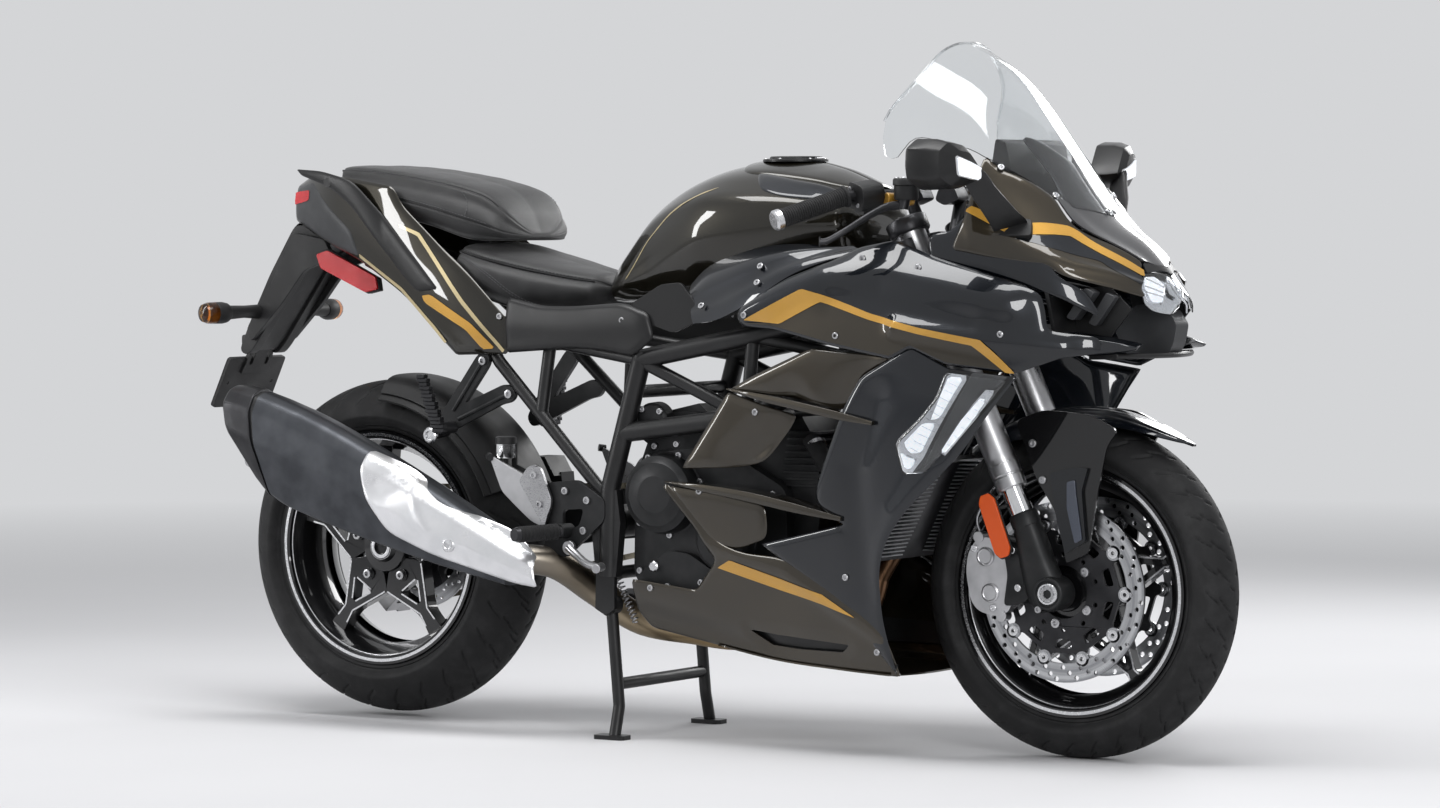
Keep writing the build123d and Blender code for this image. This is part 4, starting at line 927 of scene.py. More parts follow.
def edge_strips(axle, angle, lines, y, wide, proud):
    """Machined edges: flat strips along lines of (radius, aside) points."""
    heap = Heap()
    for line in lines:
        for (u0, v0), (u1, v1) in zip(line, line[1:]):
            run = hypot(u1 - u0, v1 - v0)
            nu, nv = -(v1 - v0) / run * wide / 2, (u1 - u0) / run * wide / 2
            quad = [(u0 + nu, v0 + nv), (u1 + nu, v1 + nv), (u1 - nu, v1 - nv), (u0 - nu, v0 - nv)]
            heap.put(spoke_plate(axle, angle, quad, [], y - abs(proud) * 0.2, y + proud))
    return heap.verts, heap.faces


def front_wheel():
    """Five slim spokes with machined edges, and the hub between them."""
    outline = [(30, -18), (62, -50), (176, -9), (193, -15), (193, 15), (176, 9), (62, 50), (30, 18)]
    spoke, window = rounded(outline, [0, 0, 14, 0, 0, 14, 0, 0], 3), [(76, -31), (76, 31), (158, 0)]
    half, lines = 13, [[(66, side * 46.5), (175, side * 7.5), (192, side * 12.5)] for side in (1, -1)]
    piece("front_wheel_spokes", WHEEL_PAINT,
          *[spoke_plate(FRONT_AXLE, tip, spoke, [rounded(window, 6, 3)], -half, half)
            for tip in TIPS], body="front_wheel", edge=2.2, crease=25)
    piece("front_spoke_edges", BRIGHT_ALLOY,
          *[edge_strips(FRONT_AXLE, tip, lines, side * (half + 0.1), 3.0, side * 0.6)
            for tip in TIPS for side in (1, -1)], body="front_wheel")
    left = [(12.6, 66), (34, 66), (36, 62), (46, 61), (46, 52), (38, 48), (33, 38), (31, 20),
            (36, 13)]
    piece("front_hub", WHEEL_PAINT,
          turned(left + [(r, -y) for r, y in reversed(left)], FRONT_HUB, steps=64, closed=True),
          body="front_wheel", crease=30)


def rear_wheel():
    """Five wide spokes on the right, bolted to a hub that reaches across to the left."""
    outline = [(44, -26), (70, -53), (150, -12), (205, -18), (205, 18), (150, 12), (70, 53), (44, 26)]
    spoke, window = rounded(outline, [0, 8, 16, 0, 0, 16, 8, 0], 3), [(88, -25), (88, 25), (136, 0)]
    lines = [[(72, side * 48.5), (78, side * 46), (149, side * 9.8), (176, side * 12.4)]
             for side in (1, -1)]
    lines += [[(89, 19), (90, -19)], [(94, 23.5), (130, 4.6)], [(94, -23.5), (130, -4.6)]]
    face, bolt_r = -52, 66
    piece("rear_wheel_spokes", WHEEL_PAINT,
          *[spoke_plate(REAR_AXLE, tip, spoke, [rounded(window, 9, 3)], face, face + 30)
            for tip in TIPS], body="rear_wheel", edge=2.6, crease=25)
    piece("rear_spoke_edges", BRIGHT_ALLOY,
          *[edge_strips(REAR_AXLE, tip, lines, face - 0.1, 3.0, -0.6) for tip in TIPS],
          body="rear_wheel")
    piece("rear_spoke_bosses", WHEEL_PAINT,
          *[spoke_plate(REAR_AXLE, tip, circle(bolt_r, 0, 12, 20), [], face - 4, face + 2)
            for tip in TIPS], body="rear_wheel", edge=1.5)
    bolts("rear_hub_bolts", "rear_wheel",
          [(wheel_point(REAR_AXLE, bolt_r, tip, face - 3), RIGHT) for tip in TIPS], 8.5, 8)
    hub = [(14, 185), (21, 185), (25, 182), (25, 62), (50, 60), (52, 40), (46, 10), (48, -20),
           (52, -46), (47, -58), (30, -60), (26, -66), (23, -70), (14, -70), (12, -64), (1, -64)]
    piece("rear_hub", WHEEL_PAINT, turned(hub, REAR_HUB, steps=64), body="rear_wheel", crease=30)
    ring = [(24, -66.5), (24, -69.4), (19, -70.6), (15, -70.2)]
    piece("rear_axle_ring", BRIGHT_ALLOY, turned(ring, REAR_HUB, steps=48), body="rear_wheel",
          crease=30)


front_wheel()
rear_wheel()

# ---------------------------------------------------------------- brake discs
FRONT_FACE, DISC_THICK = 70.0, 5.0


def polar(radius, angle):
    """2-D point at a radius and an angle in radians."""
    return radius * cos(angle), radius * sin(angle)


def round_axle_plate(axle):
    """Puts a side-view outline given from an axle at a distance left of centre."""
    return lambda u, v, height: (axle[0] + u, height, axle[1] + v)


def drilled_disc(axle, outer, inner, rows, count, hole_r, low, high):
    """Ring with staggered rows of holes."""
    holes = []
    for index in range(count):
        for radius, shift in rows:
            holes.append(circle(*polar(radius, 2 * pi * (index + shift) / count), hole_r, 8))
    bore = circle(0, 0, inner, 90)
    return slab(circle(0, 0, outer, 120), [bore] + holes, round_axle_plate(axle), low, high)


def lobed(outer, inner, count, width):
    """Star outline whose arms end at outer, joined at inner."""
    points = []
    for index in range(count):
        middle = 2 * pi * index / count
        foot, tip = width / inner, width * 0.62 / outer
        points += [polar(inner, middle - foot), polar(outer, middle - tip),
                   polar(outer, middle + tip), polar(inner, middle + foot)]
    return points


def front_discs():
    """Two floating discs: drilled rings, carriers with windows, and buttons between them."""
    rows = [(133, 0.0), (143, 0.17), (153, 0.34), (137, 0.5), (147, 0.67), (154, 0.84)]
    rings, carriers, buttons, screws = Heap(), Heap(), Heap(), []
    windows = []
    for k in range(10):
        corners = ((84, 36 * k + 9), (101, 36 * k + 8), (101, 36 * k + 28), (84, 36 * k + 27))
        windows.append(rounded([polar(radius, radians(angle)) for radius, angle in corners], 5, 2))
        windows.append(circle(*polar(66, radians(36 * k + 18)), 4.6, 10))
    for side in (1, -1):
        face = side * FRONT_FACE
        rings.put(drilled_disc(FRONT_AXLE, 160, 126, rows, 12, 4.6, face, face + side * DISC_THICK))
        carriers.put(slab(rounded(lobed(121, 110, 10, 12), 4, 2), [circle(0, 0, 47, 60)] + windows,
                          round_axle_plate(FRONT_AXLE), face - side * 3, face + side * 3.6))
        for k in range(10):
            place = wheel_point(FRONT_AXLE, 122.5, 36.0 * k, face + side * DISC_THICK / 2)
            buttons.put(turned([(3.4, -4.5), (3.6, 4.5), (7.6, 5.2), (9.6, 4.6), (9.6, -4.6),
                                (3.4, -4.5)], place, (0, side, 0), 20))
            rings.put(turned([(9.7, -2.5), (13.5, -2.5), (13.5, 2.5), (9.7, 2.5)], place,
                             (0, side, 0), 18, closed=True))
        screws += [(wheel_point(FRONT_AXLE, 57, 72 * k + 40, face + side * 3.6), (0, side, 0))
                   for k in range(5)]
    rings.keep("front_disc_rings", "front_wheel", FRONT_DISC, ("front_discs",), crease=30)
    bevel(carriers.keep("front_disc_carriers", "front_wheel", DARK_ALLOY), 0.8)
    buttons.keep("front_disc_buttons", "front_wheel", BRIGHT_ALLOY, crease=30)
    bolts("front_disc_bolts", "front_wheel", screws, 8.5, 6)


def rear_disc():
    """Drilled ring on a six-armed carrier, on the left of the hub."""
    rows = [(101, 0.0), (108, 0.25), (116, 0.5), (104, 0.75)]
    piece("rear_disc_ring", REAR_DISC, drilled_disc(REAR_AXLE, 125, 93, rows, 14, 3.6, 62, 67),
          body="rear_wheel", stands_for=("rear_disc",), crease=30)
    piece("rear_disc_carrier", DARK_ALLOY,
          slab(rounded(lobed(96, 62, 6, 9), 5, 3), [circle(0, 0, 25.5, 40)],
               round_axle_plate(REAR_AXLE), 62.6, 66.4), body="rear_wheel", edge=0.8)


front_discs()
rear_disc()


def toothed(radius, teeth):
    """Sprocket outline: a rounded tooth and a roller seat in turn."""
    points = []
    for index in range(teeth * 6):
        angle = 2 * pi * index / (teeth * 6)
        points.append(polar(radius + 3.6 * cos(teeth * angle), angle))
    return points


def rear_sprocket():
    """Toothed ring with six windows on a collar, and its bolts."""
    windows = [circle(*polar(70, 2 * pi * k / 6), 12, 16) for k in range(6)]
    bore, inner, outer = 25.5, 110, 117
    piece("rear_sprocket_teeth", DARK_ALLOY,
          slab(toothed(94, 44), [circle(0, 0, bore, 40)] + windows, round_axle_plate(REAR_AXLE),
               inner, outer),
          turned([(bore, 67), (48, 67), (48, 109.6), (bore, 109.6)], REAR_HUB, steps=48,
                 closed=True), body="rear_wheel", stands_for=("rear_sprocket",), crease=30)
    bolts("rear_sprocket_bolts", "rear_wheel",
          [(wheel_point(REAR_AXLE, 42, 60 * k + 30, outer), LEFT) for k in range(6)], 7, 6)


rear_sprocket()


# ---------------------------------------------------------------- body surfaces
def glide(stops, values, at):
    """Smooth curve through values at uneven stops, read off at one place."""
    if at <= stops[0]:
        index, at = 0, max(at, stops[0] - 0.6 * (stops[1] - stops[0]))
    elif at >= stops[-1]:
        index = len(stops) - 2
        at = min(at, stops[-1] + 0.6 * (stops[-1] - stops[-2]))
    else:
        index = max(k for k in range(len(stops) - 1) if stops[k] <= at)

    def slope(k):
        low, high = max(k - 1, 0), min(k + 1, len(stops) - 1)
        return (values[high] - values[low]) / (stops[high] - stops[low])

    span = stops[index + 1] - stops[index]
    t = (at - stops[index]) / span
    return ((2 * t ** 3 - 3 * t * t + 1) * values[index] + (t ** 3 - 2 * t * t + t) * span * slope(index)
            + (3 * t * t - 2 * t ** 3) * values[index + 1]
            + (t ** 3 - t * t) * span * slope(index + 1))


HULL_X = (-80, 220, 430, 620, 800, 970)
HULL_Z = (150, 300, 400, 500, 600, 700, 800, 930)
HULL = ((120, 145, 185, 200, 190, 160), (180, 205, 224, 235, 220, 190),
        (190, 215, 235, 245, 225, 160), (195, 222, 245, 256, 220, 140),
        (195, 225, 252, 265, 225, 140), (200, 232, 258, 268, 225, 135),
        (200, 235, 255, 262, 225, 110), (150, 175, 190, 190, 165, 90))


def hull_half(x, z):
    """Half-width of the fairing hull, evened out so that the paint reflects calmly."""
    total, reach = 0.0, 40.0
    for at_x in (x - reach, x, x + reach):
        rows = [glide(HULL_X, row, at_x) for row in HULL]
        total += sum(glide(HULL_Z, rows, at_z) for at_z in (z - reach, z, z + reach))
    return total / 9


def hull(base):
    """Surface over the right side of the hull, base millimetres outside it."""
    return lambda x, z, lift: (x, -hull_half(x, z) - base - lift, z)


NOSE_X = (560, 650, 745, 841, 920, 990)
NOSE_YZ = (((0, 1266), (110, 1232), (190, 1120), (210, 960), (214, 870)),
           ((0, 1210), (105, 1170), (182, 1060), (214, 940), (216, 865)),
           ((0, 1090), (95, 1058), (165, 985), (208, 900), (212, 850)),
           ((0, 963), (80, 945), (140, 905), (182, 860), (195, 820)),
           ((0, 902), (55, 886), (95, 862), (120, 835), (135, 780)),
           ((0, 822), (10, 820), (18, 815), (25, 808), (30, 790)))
BAND = 60.0  # a nose coordinate runs 60 for each of the four spans from the centre line down


def nose_point(x, v):
    """Point of the right side of the nose at x, v being 0 on top and 240 at the low edge."""
    s = v / BAND
    rows = []
    for row in NOSE_YZ:
        stops = (-1, 0, 1, 2, 3, 4)
        ys = [-row[1][0]] + [y for y, _ in row]
        zs = [row[1][1]] + [z for _, z in row]
        rows.append((glide(stops, ys, s), glide(stops, zs, s)))
    return Vector((x, -glide(NOSE_X, [y for y, _ in rows], x),
                   glide(NOSE_X, [z for _, z in rows], x)))


def nose(base):
    """Surface over the right side of the nose, base millimetres outside it."""
    def surface(x, v, lift):
        point = nose_point(x, v)
        along_x = nose_point(x + 4, v) - nose_point(x - 4, v)
        down = nose_point(x, v + 3) - nose_point(x, v - 3)
        out = down.cross(along_x)
        out.normalize()
        if out.dot(point - Vector((x - 150, 0, 870))) < 0:
            out = -out
        return tuple(point + (base + lift) * out)
    return surface


# ---------------------------------------------------------------- fairing panels
def both(shape):
    """The shape and its mirror image on the left side."""
    return Heap().put(shape).both_sides(joined=True)


def ridge(x, z, line, height, reach):
    """Soft swelling along a side-view line."""
    return height * exp(-(2.1 * to_line(x, z, line) / reach) ** 2)


def raised(surface, relief):
    """The surface lifted by a relief over it, if there is one."""
    return (lambda u, v, lift: surface(u, v, lift + relief(u, v))) if relief else surface


def panel(name, outline, surface, finish, stands_for=(), gap=15.0, radius=6.0, lip=16.0, drop=5.0,
          wall=3.0, relief=None, holes=()):
    """Mirrored pair of skins with rolled edges and a wall."""
    shape = skin(rounded(outline, radius, 3), raised(surface, relief), gap, lip, drop, holes)
    return thicken(both(shape).keep(name, "chassis", finish, stands_for, crease=50), wall)


def stripe(name, outline, surface, finish, gap=10.0, radius=1.0, relief=None):
    """Thin painted film on a panel, a hair proud of it."""
    shape = skin(rounded(outline, radius, 2), raised(surface, relief), gap)
    return both(shape).keep(name, "chassis", finish, crease=50)


OUTER, INNER, LAMP_SKIN = 8.0, 4.0, 11.0  # outside of each layer of panels from the hull


def upper_relief(x, z):
    """Shoulder line of the upper panel and the crease that leaves the beak."""
    return (ridge(x, z, [(240, 792), (390, 856), (520, 868), (640, 845), (760, 812)], 13, 60)
            + ridge(x, z, [(560, 770), (700, 752), (860, 735)], 9, 34)
            - ridge(x, z, [(420, 812), (560, 800), (700, 778)], 6, 40))


UPPER = [(229, 765), (218, 780), (221, 795), (316, 852), (404, 884), (452, 907), (521, 920),
         (561, 907), (608, 892), (702, 867), (792, 839), (815, 826), (824, 800), (830, 764),
         (908, 752), (912, 726), (850, 716), (779, 689), (660, 703), (591, 733), (551, 712),
         (418, 735), (292, 762)]
panel("upper_side_fairing_skins", UPPER, hull(OUTER), NAVY, ("upper_side_fairings",), 13,
      relief=upper_relief, radius=9)
stripe("fairing_bronze_band", [(234, 771), (296, 768), (420, 741), (551, 718), (592, 738),
                               (662, 708), (776, 694), (727, 738), (613, 758), (505, 783),
                               (402, 812), (316, 775)], hull(OUTER + 1.2), BRONZE,
       8, relief=upper_relief)
stripe("fairing_gold_stripe", [(239, 777), (359, 834), (399, 824), (505, 792), (613, 768),
                               (727, 748), (782, 690), (767, 690), (710, 738), (612, 757),
                               (504, 781), (398, 811), (314, 771)], hull(OUTER + 2.4), GOLD,
       8, relief=upper_relief)


def lower_relief(x, z):
    """Swelling behind the front edge of the lower panel, and the hollow along its rear edge."""
    return (ridge(x, z, [(640, 520), (560, 430), (530, 330), (540, 200)], 8, 70)
            - ridge(x, z, [(520, 640), (470, 520), (470, 420), (480, 300)], 5, 60))


LOWER = [(486, 680), (591, 735), (664, 697), (781, 684), (736, 624), (679, 545), (631, 497),
         (597, 468), (546, 417), (515, 366), (506, 316), (507, 246), (522, 150), (408, 280),
         (251, 375), (435, 417), (383, 444), (377, 474), (401, 530), (446, 625)]
panel("lower_side_fairing_skins", LOWER, hull(OUTER - 1.2), NAVY, ("lower_side_fairings",), 13,
      relief=lower_relief, radius=[12, 10, 8, 4, 10, 30, 30, 30, 30, 30, 30, 20, 4, 30, 2, 2, 30,
                                   40, 40, 30])


def turned_in(x, z):
    """The middle panels fall away towards the intakes ahead of them."""
    return (-ridge(x, z, [(331, 615), (280, 560), (204, 513)], 16, 60)
            - ridge(x, z, [(500, 690), (446, 625)], 10, 60))


panel("fairing_shoulder_panels", [(190, 651), (240, 675), (376, 728), (551, 716), (575, 727),
                                  (486, 680), (462, 640), (440, 618), (330, 640)], hull(INNER + 1),
      BRONZE, ("fairing_louvres",), relief=turned_in, radius=[8, 20, 12, 8, 2, 6, 20, 14, 30])
panel("fairing_middle_panels", [(186, 648), (331, 607), (318, 585), (290, 556), (262, 524),
                                (204, 511), (76, 505)], hull(INNER), BRONZE, relief=turned_in,
      radius=[10, 8, 24, 24, 20, 10, 8])
panel("fairing_lower_panels", [(47, 474), (160, 466), (262, 448), (268, 420), (266, 386),
                               (200, 362), (150, 366), (96, 416)], hull(INNER + 3), BRONZE,
      relief=turned_in, radius=[4, 20, 10, 20, 14, 20, 20, 20])


def shelf(line, outs, ins, thick):
    """Aero blade along a side-view line: its outer and inner reach from the hull."""
    rings = []
    for (x, z), out, inward, depth in zip(line, outs, ins, thick):
        base = hull_half(x, z)
        rings.append([(x, -base - out, z + 0.15 * depth), (x, -base - out + 2, z + 0.5 * depth),
                      (x, -base + inward, z + 0.5 * depth), (x, -base + inward, z - 0.5 * depth),
                      (x, -base - out + 2, z - 0.5 * depth), (x, -base - out, z - 0.15 * depth)])
    return loft(rings)


BLADES = (([(186, 652), (260, 640), (350, 626), (440, 611), (512, 599)], (5, 11, 15, 17, 12),
           (6, 26, 36, 36, 10), (3, 12, 15, 14, 7)),
          ([(42, 480), (140, 471), (240, 459), (340, 443), (436, 427)], (5, 12, 16, 18, 13),
           (6, 30, 40, 40, 12), (3, 13, 17, 16, 8)))


def blade(line, *reaches):
    """Shelf along a smooth line, with its reaches and depth eased between the points."""
    fine = evenly(curve_through(line, 6), count=24)
    stops = [x for x, _ in line]
    return shelf(fine, *[[glide(stops, row, x) for x, _ in fine] for row in reaches])


piece("fairing_blades", BRONZE, *[blade(*row) for row in BLADES], mirrored=True, edge=1.5,
      crease=50)

BELLY = [(-49, 299), (-4, 294), (96, 284), (149, 341), (108, 400), (39, 470), (47, 478),
         (100, 434), (158, 375), (205, 358), (300, 352), (424, 300), (508, 225), (522, 146), (400, 150),
         (245, 159), (100, 184), (-29, 208), (-50, 236)]
SLOT = [(197, 216), (260, 209), (423, 199), (403, 184), (300, 184), (241, 188)]


def belly_relief(x, z):
    """Crease along the top of the belly cowl and the tuck under it."""
    return (ridge(x, z, [(39, 474), (130, 372), (300, 330), (500, 215)], 7, 34)
            - ridge(x, z, [(-30, 230), (200, 180), (510, 150)], 9, 60))


panel("belly_cowl_skins", BELLY, hull(INNER), BRONZE, ("belly_cowls",), 13, relief=belly_relief,
      radius=[8, 8, 10, 12, 10, 2, 2, 14, 18, 24, 30, 30, 20, 4, 10, 30, 30, 12, 10],
      holes=[rounded(SLOT, 4, 2)], drop=4, lip=12)
stripe("belly_gold_stripe", [(153, 328), (183, 343), (384, 290), (452, 250), (380, 272),
                             (290, 293)], hull(INNER + 1.4), GOLD, 8, relief=belly_relief)
panel("belly_slot_backs", [(180, 224), (440, 208), (420, 172), (230, 176)], hull(-14),
      SATIN_BLACK, drop=0, lip=0)


def belly_pan():
    """Shallow pan that joins the two belly cowls, bowed down in the middle."""
    rings, bow = [], 7
    for step in range(21):
        x = 118 + 382 * step / 20
        low = glide((-29, 100, 245, 400, 500), (208, 185, 161, 152, 148), x)
        half = hull_half(x, low) - 1
        rings.append([(x, half * t, low + 2 - bow * (1 - t * t))
                      for t in [k / 6 - 1 for k in range(13)]])
    thicken(keep("belly_pan", "chassis", BRONZE, *loft(rings, closed=False), crease=50), 3)


belly_pan()
heads = [(437, 323, 6), (486, 190, 4), (-5, 284, 4), (250, 612, 3), (120, 466, 4)]
heads += [(x, z, OUTER + upper_relief(x, z))
          for x, z in ((437, 752), (241, 786), (470, 888), (590, 873), (760, 758))]
bolts("fairing_bolts", "chassis",
      on_sides([(x, z, hull_half(x, z) + out) for x, z, out in heads]), 6, 4)

# LED corner lights let into the fairing's shoulders.
LAMP = [(664, 697), (781, 684), (730, 624), (618, 508), (571, 505), (557, 565), (610, 610),
        (645, 650)]


def shrunk(outline, by):
    """The outline drawn in towards its middle."""
    cx = sum(x for x, _ in outline) / len(outline)
    cz = sum(z for _, z in outline) / len(outline)
    return [(cx + (x - cx) * by, cz + (z - cz) * by) for x, z in outline]


panel("corner_light_frames", LAMP, hull(LAMP_SKIN - 2), SATIN_BLACK, ("corner_lights",), 13,
      drop=1, wall=4, radius=[6, 4, 6, 14, 10, 14, 20, 20])
WIDE_LAMP = [(666, 690), (704, 686), (648, 596), (600, 514), (574, 512), (563, 562), (614, 606),
             (650, 648)]
SLIM_LAMP = [(738, 668), (750, 662), (716, 612), (672, 562), (640, 528), (634, 540), (686, 610)]
stripe("corner_light_reflectors", WIDE_LAMP, hull(LAMP_SKIN - 1), REFLECTOR, 12, 6)
stripe("corner_light_side_reflectors", SLIM_LAMP, hull(LAMP_SKIN - 1), REFLECTOR, 12, 4)
for part, cells in (("upper", [(668, 684), (694, 682), (650, 612), (632, 606), (652, 650)]),
                    ("middle", [(618, 602), (642, 602), (612, 550), (590, 548), (578, 566)]),
                    ("lower", [(570, 552), (586, 540), (602, 540), (592, 522), (578, 520)])):
    stripe(f"corner_light_{part}_cells", cells, hull(LAMP_SKIN + 0.6), LED, 8, 4)
stripe("corner_light_side_cells", shrunk(SLIM_LAMP, 0.72), hull(LAMP_SKIN + 0.6), LED, 8, 3)
panel("corner_light_bars", [(710, 692), (770, 684), (746, 660), (728, 662), (622, 512), (604, 508),
                            (656, 596)], hull(LAMP_SKIN + 1.5), GREY_PLASTIC, gap=10, radius=3,
      lip=5, drop=2)


def lamp_rib(start, end, thick):
    """Thin bright fin that stands on the reflector between two side-view points."""
    return shelf([start, end], (LAMP_SKIN + 1.4,) * 2, (-LAMP_SKIN,) * 2, (thick, thick))


ribs = []
for t in [(step + 0.5) / 11 for step in range(11)]:
    x, z, wide = 684 - 96 * t, 674 - 140 * t, 13 - 7 * abs(t - 0.35)
    ribs.append(lamp_rib((x - wide, z + 0.5 * wide), (x + wide, z - 0.4 * wide), 1.6))
for x, z in [(742 - 12.5 * step, 656 - 15.5 * step) for step in range(8)]:
    ribs.append(lamp_rib((x - 4, z + 3), (x + 4, z - 2), 1.4))
piece("corner_light_ribs", REFLECTOR, *ribs, mirrored=True)
panel("corner_light_lenses", shrunk(LAMP, 0.93), hull(LAMP_SKIN + 6), LAMP_LENS, gap=13, drop=3,
      lip=14, wall=1.5, radius=8)


# ---------------------------------------------------------------- nose and screen
def nose_relief(x, v):
    """Centre ridge and the two brow lines that run back from the lamp."""
    return (ridge(x, v, [(560, 92), (746, 92), (930, 60)], 5, 26)
            + ridge(x, v, [(680, 178), (800, 160), (945, 140)], 5, 26))


NOSE_SIDE = [(679, 104), (706, 104), (787, 77), (822, 88), (882, 69), (930, 62), (936, 90),
             (943, 120), (944, 150), (953, 186), (895, 180), (840, 180), (820, 171), (760, 190),
             (700, 205), (640, 210), (655, 178), (668, 156), (672, 130)]
panel("nose_cowl_sides", NOSE_SIDE, nose(3), BRONZE, ("nose_cowl",), 11, relief=nose_relief,
      radius=[4, 10, 6, 20, 20, 8, 10, 10, 10, 8, 20, 14, 14, 30, 20, 10, 20, 12, 12], drop=4,
      lip=10)
panel("nose_cowl_cheeks", [(590, 195), (640, 184), (668, 160), (732, 170), (805, 152), (826, 172),
                           (842, 186), (880, 200), (905, 238), (800, 238), (690, 236), (600, 236)],
      nose(1), NAVY, relief=nose_relief, radius=12, drop=4, lip=10)
stripe("nose_gold_stripe", [(676, 152), (747, 147), (754, 146), (819, 95), (833, 89), (936, 81),
                            (942, 104), (860, 101), (831, 104), (798, 131), (756, 158),
                            (662, 160)], nose(3.8), GOLD, 9, relief=nose_relief)
stripe("nose_navy_band", [(756, 160), (798, 133), (831, 105), (860, 103), (942, 108), (943, 150),
                          (883, 119), (804, 147)], nose(3.7), NAVY, 9, relief=nose_relief)
CROWN = [(786, 74), (822, 84), (882, 66), (928, 60), (936, 40), (958, 14), (960, 0), (846, 0),
         (836, 22), (812, 60)]
panel("nose_cowl_crown", CROWN, nose(3), GREY_PAINT, gap=9, relief=nose_relief, radius=[
    6, 14, 14, 6, 10, 4, 0, 0, 10, 10], drop=0, lip=0)
SCREEN = [(558, 0), (552, 47), (540, 89), (502, 130), (500, 150), (527, 149), (556, 128),
          (601, 120), (661, 108), (678, 106), (719, 97), (785, 79), (812, 64), (836, 24), (846, 0)]
panel("windscreen_bubble", SCREEN, nose(4), CLEAR, ("windscreen",), 12, drop=0, lip=0, wall=3,
      radius=[0, 20, 26, 14, 8, 12, 20, 14, 6, 6, 10, 10, 10, 10, 0])
panel("windscreen_bracket", [(712, 54), (730, 34), (758, 14), (768, 0), (846, 0), (838, 20),
                             (812, 58), (798, 62), (770, 52)], nose(-3), DARK_ALLOY, gap=9,
      drop=2, lip=8, radius=[10, 12, 12, 0, 0, 10, 8, 8, 14])
SHOWN_EDGE = [(502, 131), (541, 89), (552, 47), (558, 0)]
line = [nose(4.5)(x, v, 0) for x, v in evenly(curve_through(SHOWN_EDGE, 6), gap=10)]
piece("windscreen_rim", CLEAR, tube(line, 2.1, 8), mirrored=True)
spots = []
for x, v in ((706, 103), (787, 75), (838, 8)):
    point = Vector(nose(5)(x, v, 0))
    out = Vector(nose(9)(x, v, 0)) - point
    spots += [(tuple(point), tuple(out)), ((point.x, -point.y, point.z), (out.x, -out.y, out.z))]
bolts("windscreen_bolts", "chassis", spots, 6, 4, BRIGHT_ALLOY)

# LED headlight under the tip of the nose.
LAMP_EDGE = [(936, 84), (946, 40), (954, 16), (958, 0), (985, 0), (991, 60), (992, 120), (990, 200),
             (984, 234), (964, 217), (955, 200), (946, 140)]
panel("headlight_reflector", LAMP_EDGE, nose(-9), REFLECTOR, ("headlight",), 7, drop=0, lip=0,
      radius=2)
stripe("headlight_bright_cells", [(942, 92), (951, 62), (964, 66), (972, 120), (972, 190),
                                  (960, 194), (950, 146)], nose(-4), LED, 6, 2)
stripe("headlight_centre_cells", [(966, 20), (980, 12), (984, 60), (984, 110), (976, 110),
                                  (968, 62)], nose(-4), REFLECTOR, 6, 2)
HEADLIGHT_RIBS = ((944, 96, 968, 84), (948, 130, 972, 120), (952, 160, 972, 156),
                  (966, 62, 974, 196), (964, 24, 985, 66))
piece("headlight_ribs", CHROME,
      *[tube([nose(-3)(x0 + (x1 - x0) * t, v0 + (v1 - v0) * t, 0)
              for t in (0.0, 0.25, 0.5, 0.75, 1.0)], 1.3, 8)
        for x0, v0, x1, v1 in HEADLIGHT_RIBS], mirrored=True)
panel("headlight_lens", LAMP_EDGE, nose(2), LAMP_LENS, gap=7, drop=1.5, lip=7, wall=1.6, radius=3)
panel("headlight_brow", [(930, 62), (940, 84), (950, 40), (958, 14), (962, 0), (950, 0), (944, 30)],
      nose(4.5), SATIN_BLACK, gap=6, drop=0, lip=0, radius=2)

# Beak under the lamp: centre fin, wings on both sides and the lip that joins them.
fin = [(862, 760), (905, 806), (944, 806), (968, 796), (984, 772), (978, 740), (966, 716),
       (890, 714)]
piece("chin_fin", GREY_PLASTIC, block(rounded(fin, 6, 3), -24, 24), edge=5, segments=3,
      stands_for=("chin_cowl",))


def chin_wings():
    """Wing on each side of the fin, rounded along its whole length."""
    sections = (((786, -216, 752), (790, -206, 716)), ((840, -196, 752), (844, -186, 718)),
                ((900, -172, 748), (896, -160, 722)), ((946, -150, 740), (940, -142, 726)),
                ((964, -136, 734), (962, -132, 730)))
    rings = [[top, (top[0] - 4, top[1] + 34, top[2] + 6), (low[0] - 30, low[1] + 44, low[2] - 2),
              low] for top, low in sections]
    edges = [evenly(curve_through(edge, 5), count=18) for edge in zip(*rings)]
    piece("chin_wings", NAVY, loft([list(ring) for ring in zip(*edges)]), mirrored=True, edge=2.5,
          crease=45)


def chin_lip():
    """Lip that runs round under the fin from wing to wing."""
    arc = [(-148, 930), (-110, 948), (-60, 966), (0, 976), (60, 966), (110, 948), (148, 930)]
    rings = [[(x, y, 724), (x + 3, y, 719), (x, y, 714), (x - 62, y * 0.9, 712),
              (x - 62, y * 0.9, 720)] for y, x in evenly(curve_through(arc, 5), count=28)]
    piece("chin_lip", SATIN_BLACK, loft(rings), edge=1.5, crease=45)


chin_wings()
chin_lip()

# Air intakes beside the lamp, each with two vanes.
MOUTH = [(822, 832), (838, 760), (905, 752), (945, 800), (900, 842)]
piece("intake_backs", SATIN_BLACK, block(MOUTH, -120, -116),
      block([(816, 836), (832, 760), (838, 760), (824, 834)], -200, -118), mirrored=True)


def intake_vane(low, high, y):
    """Slanting vane between two side-view points, its outer face at y."""
    outline = [low, (low[0] + 16, low[1] - 6), (high[0] + 18, high[1] - 8), high]
    return block(rounded(outline, 4, 2), y, y + 26)


piece("intake_vanes", GREY_PLASTIC, intake_vane((836, 786), (874, 838), -158),
      intake_vane((868, 776), (904, 830), -136), mirrored=True, edge=2)


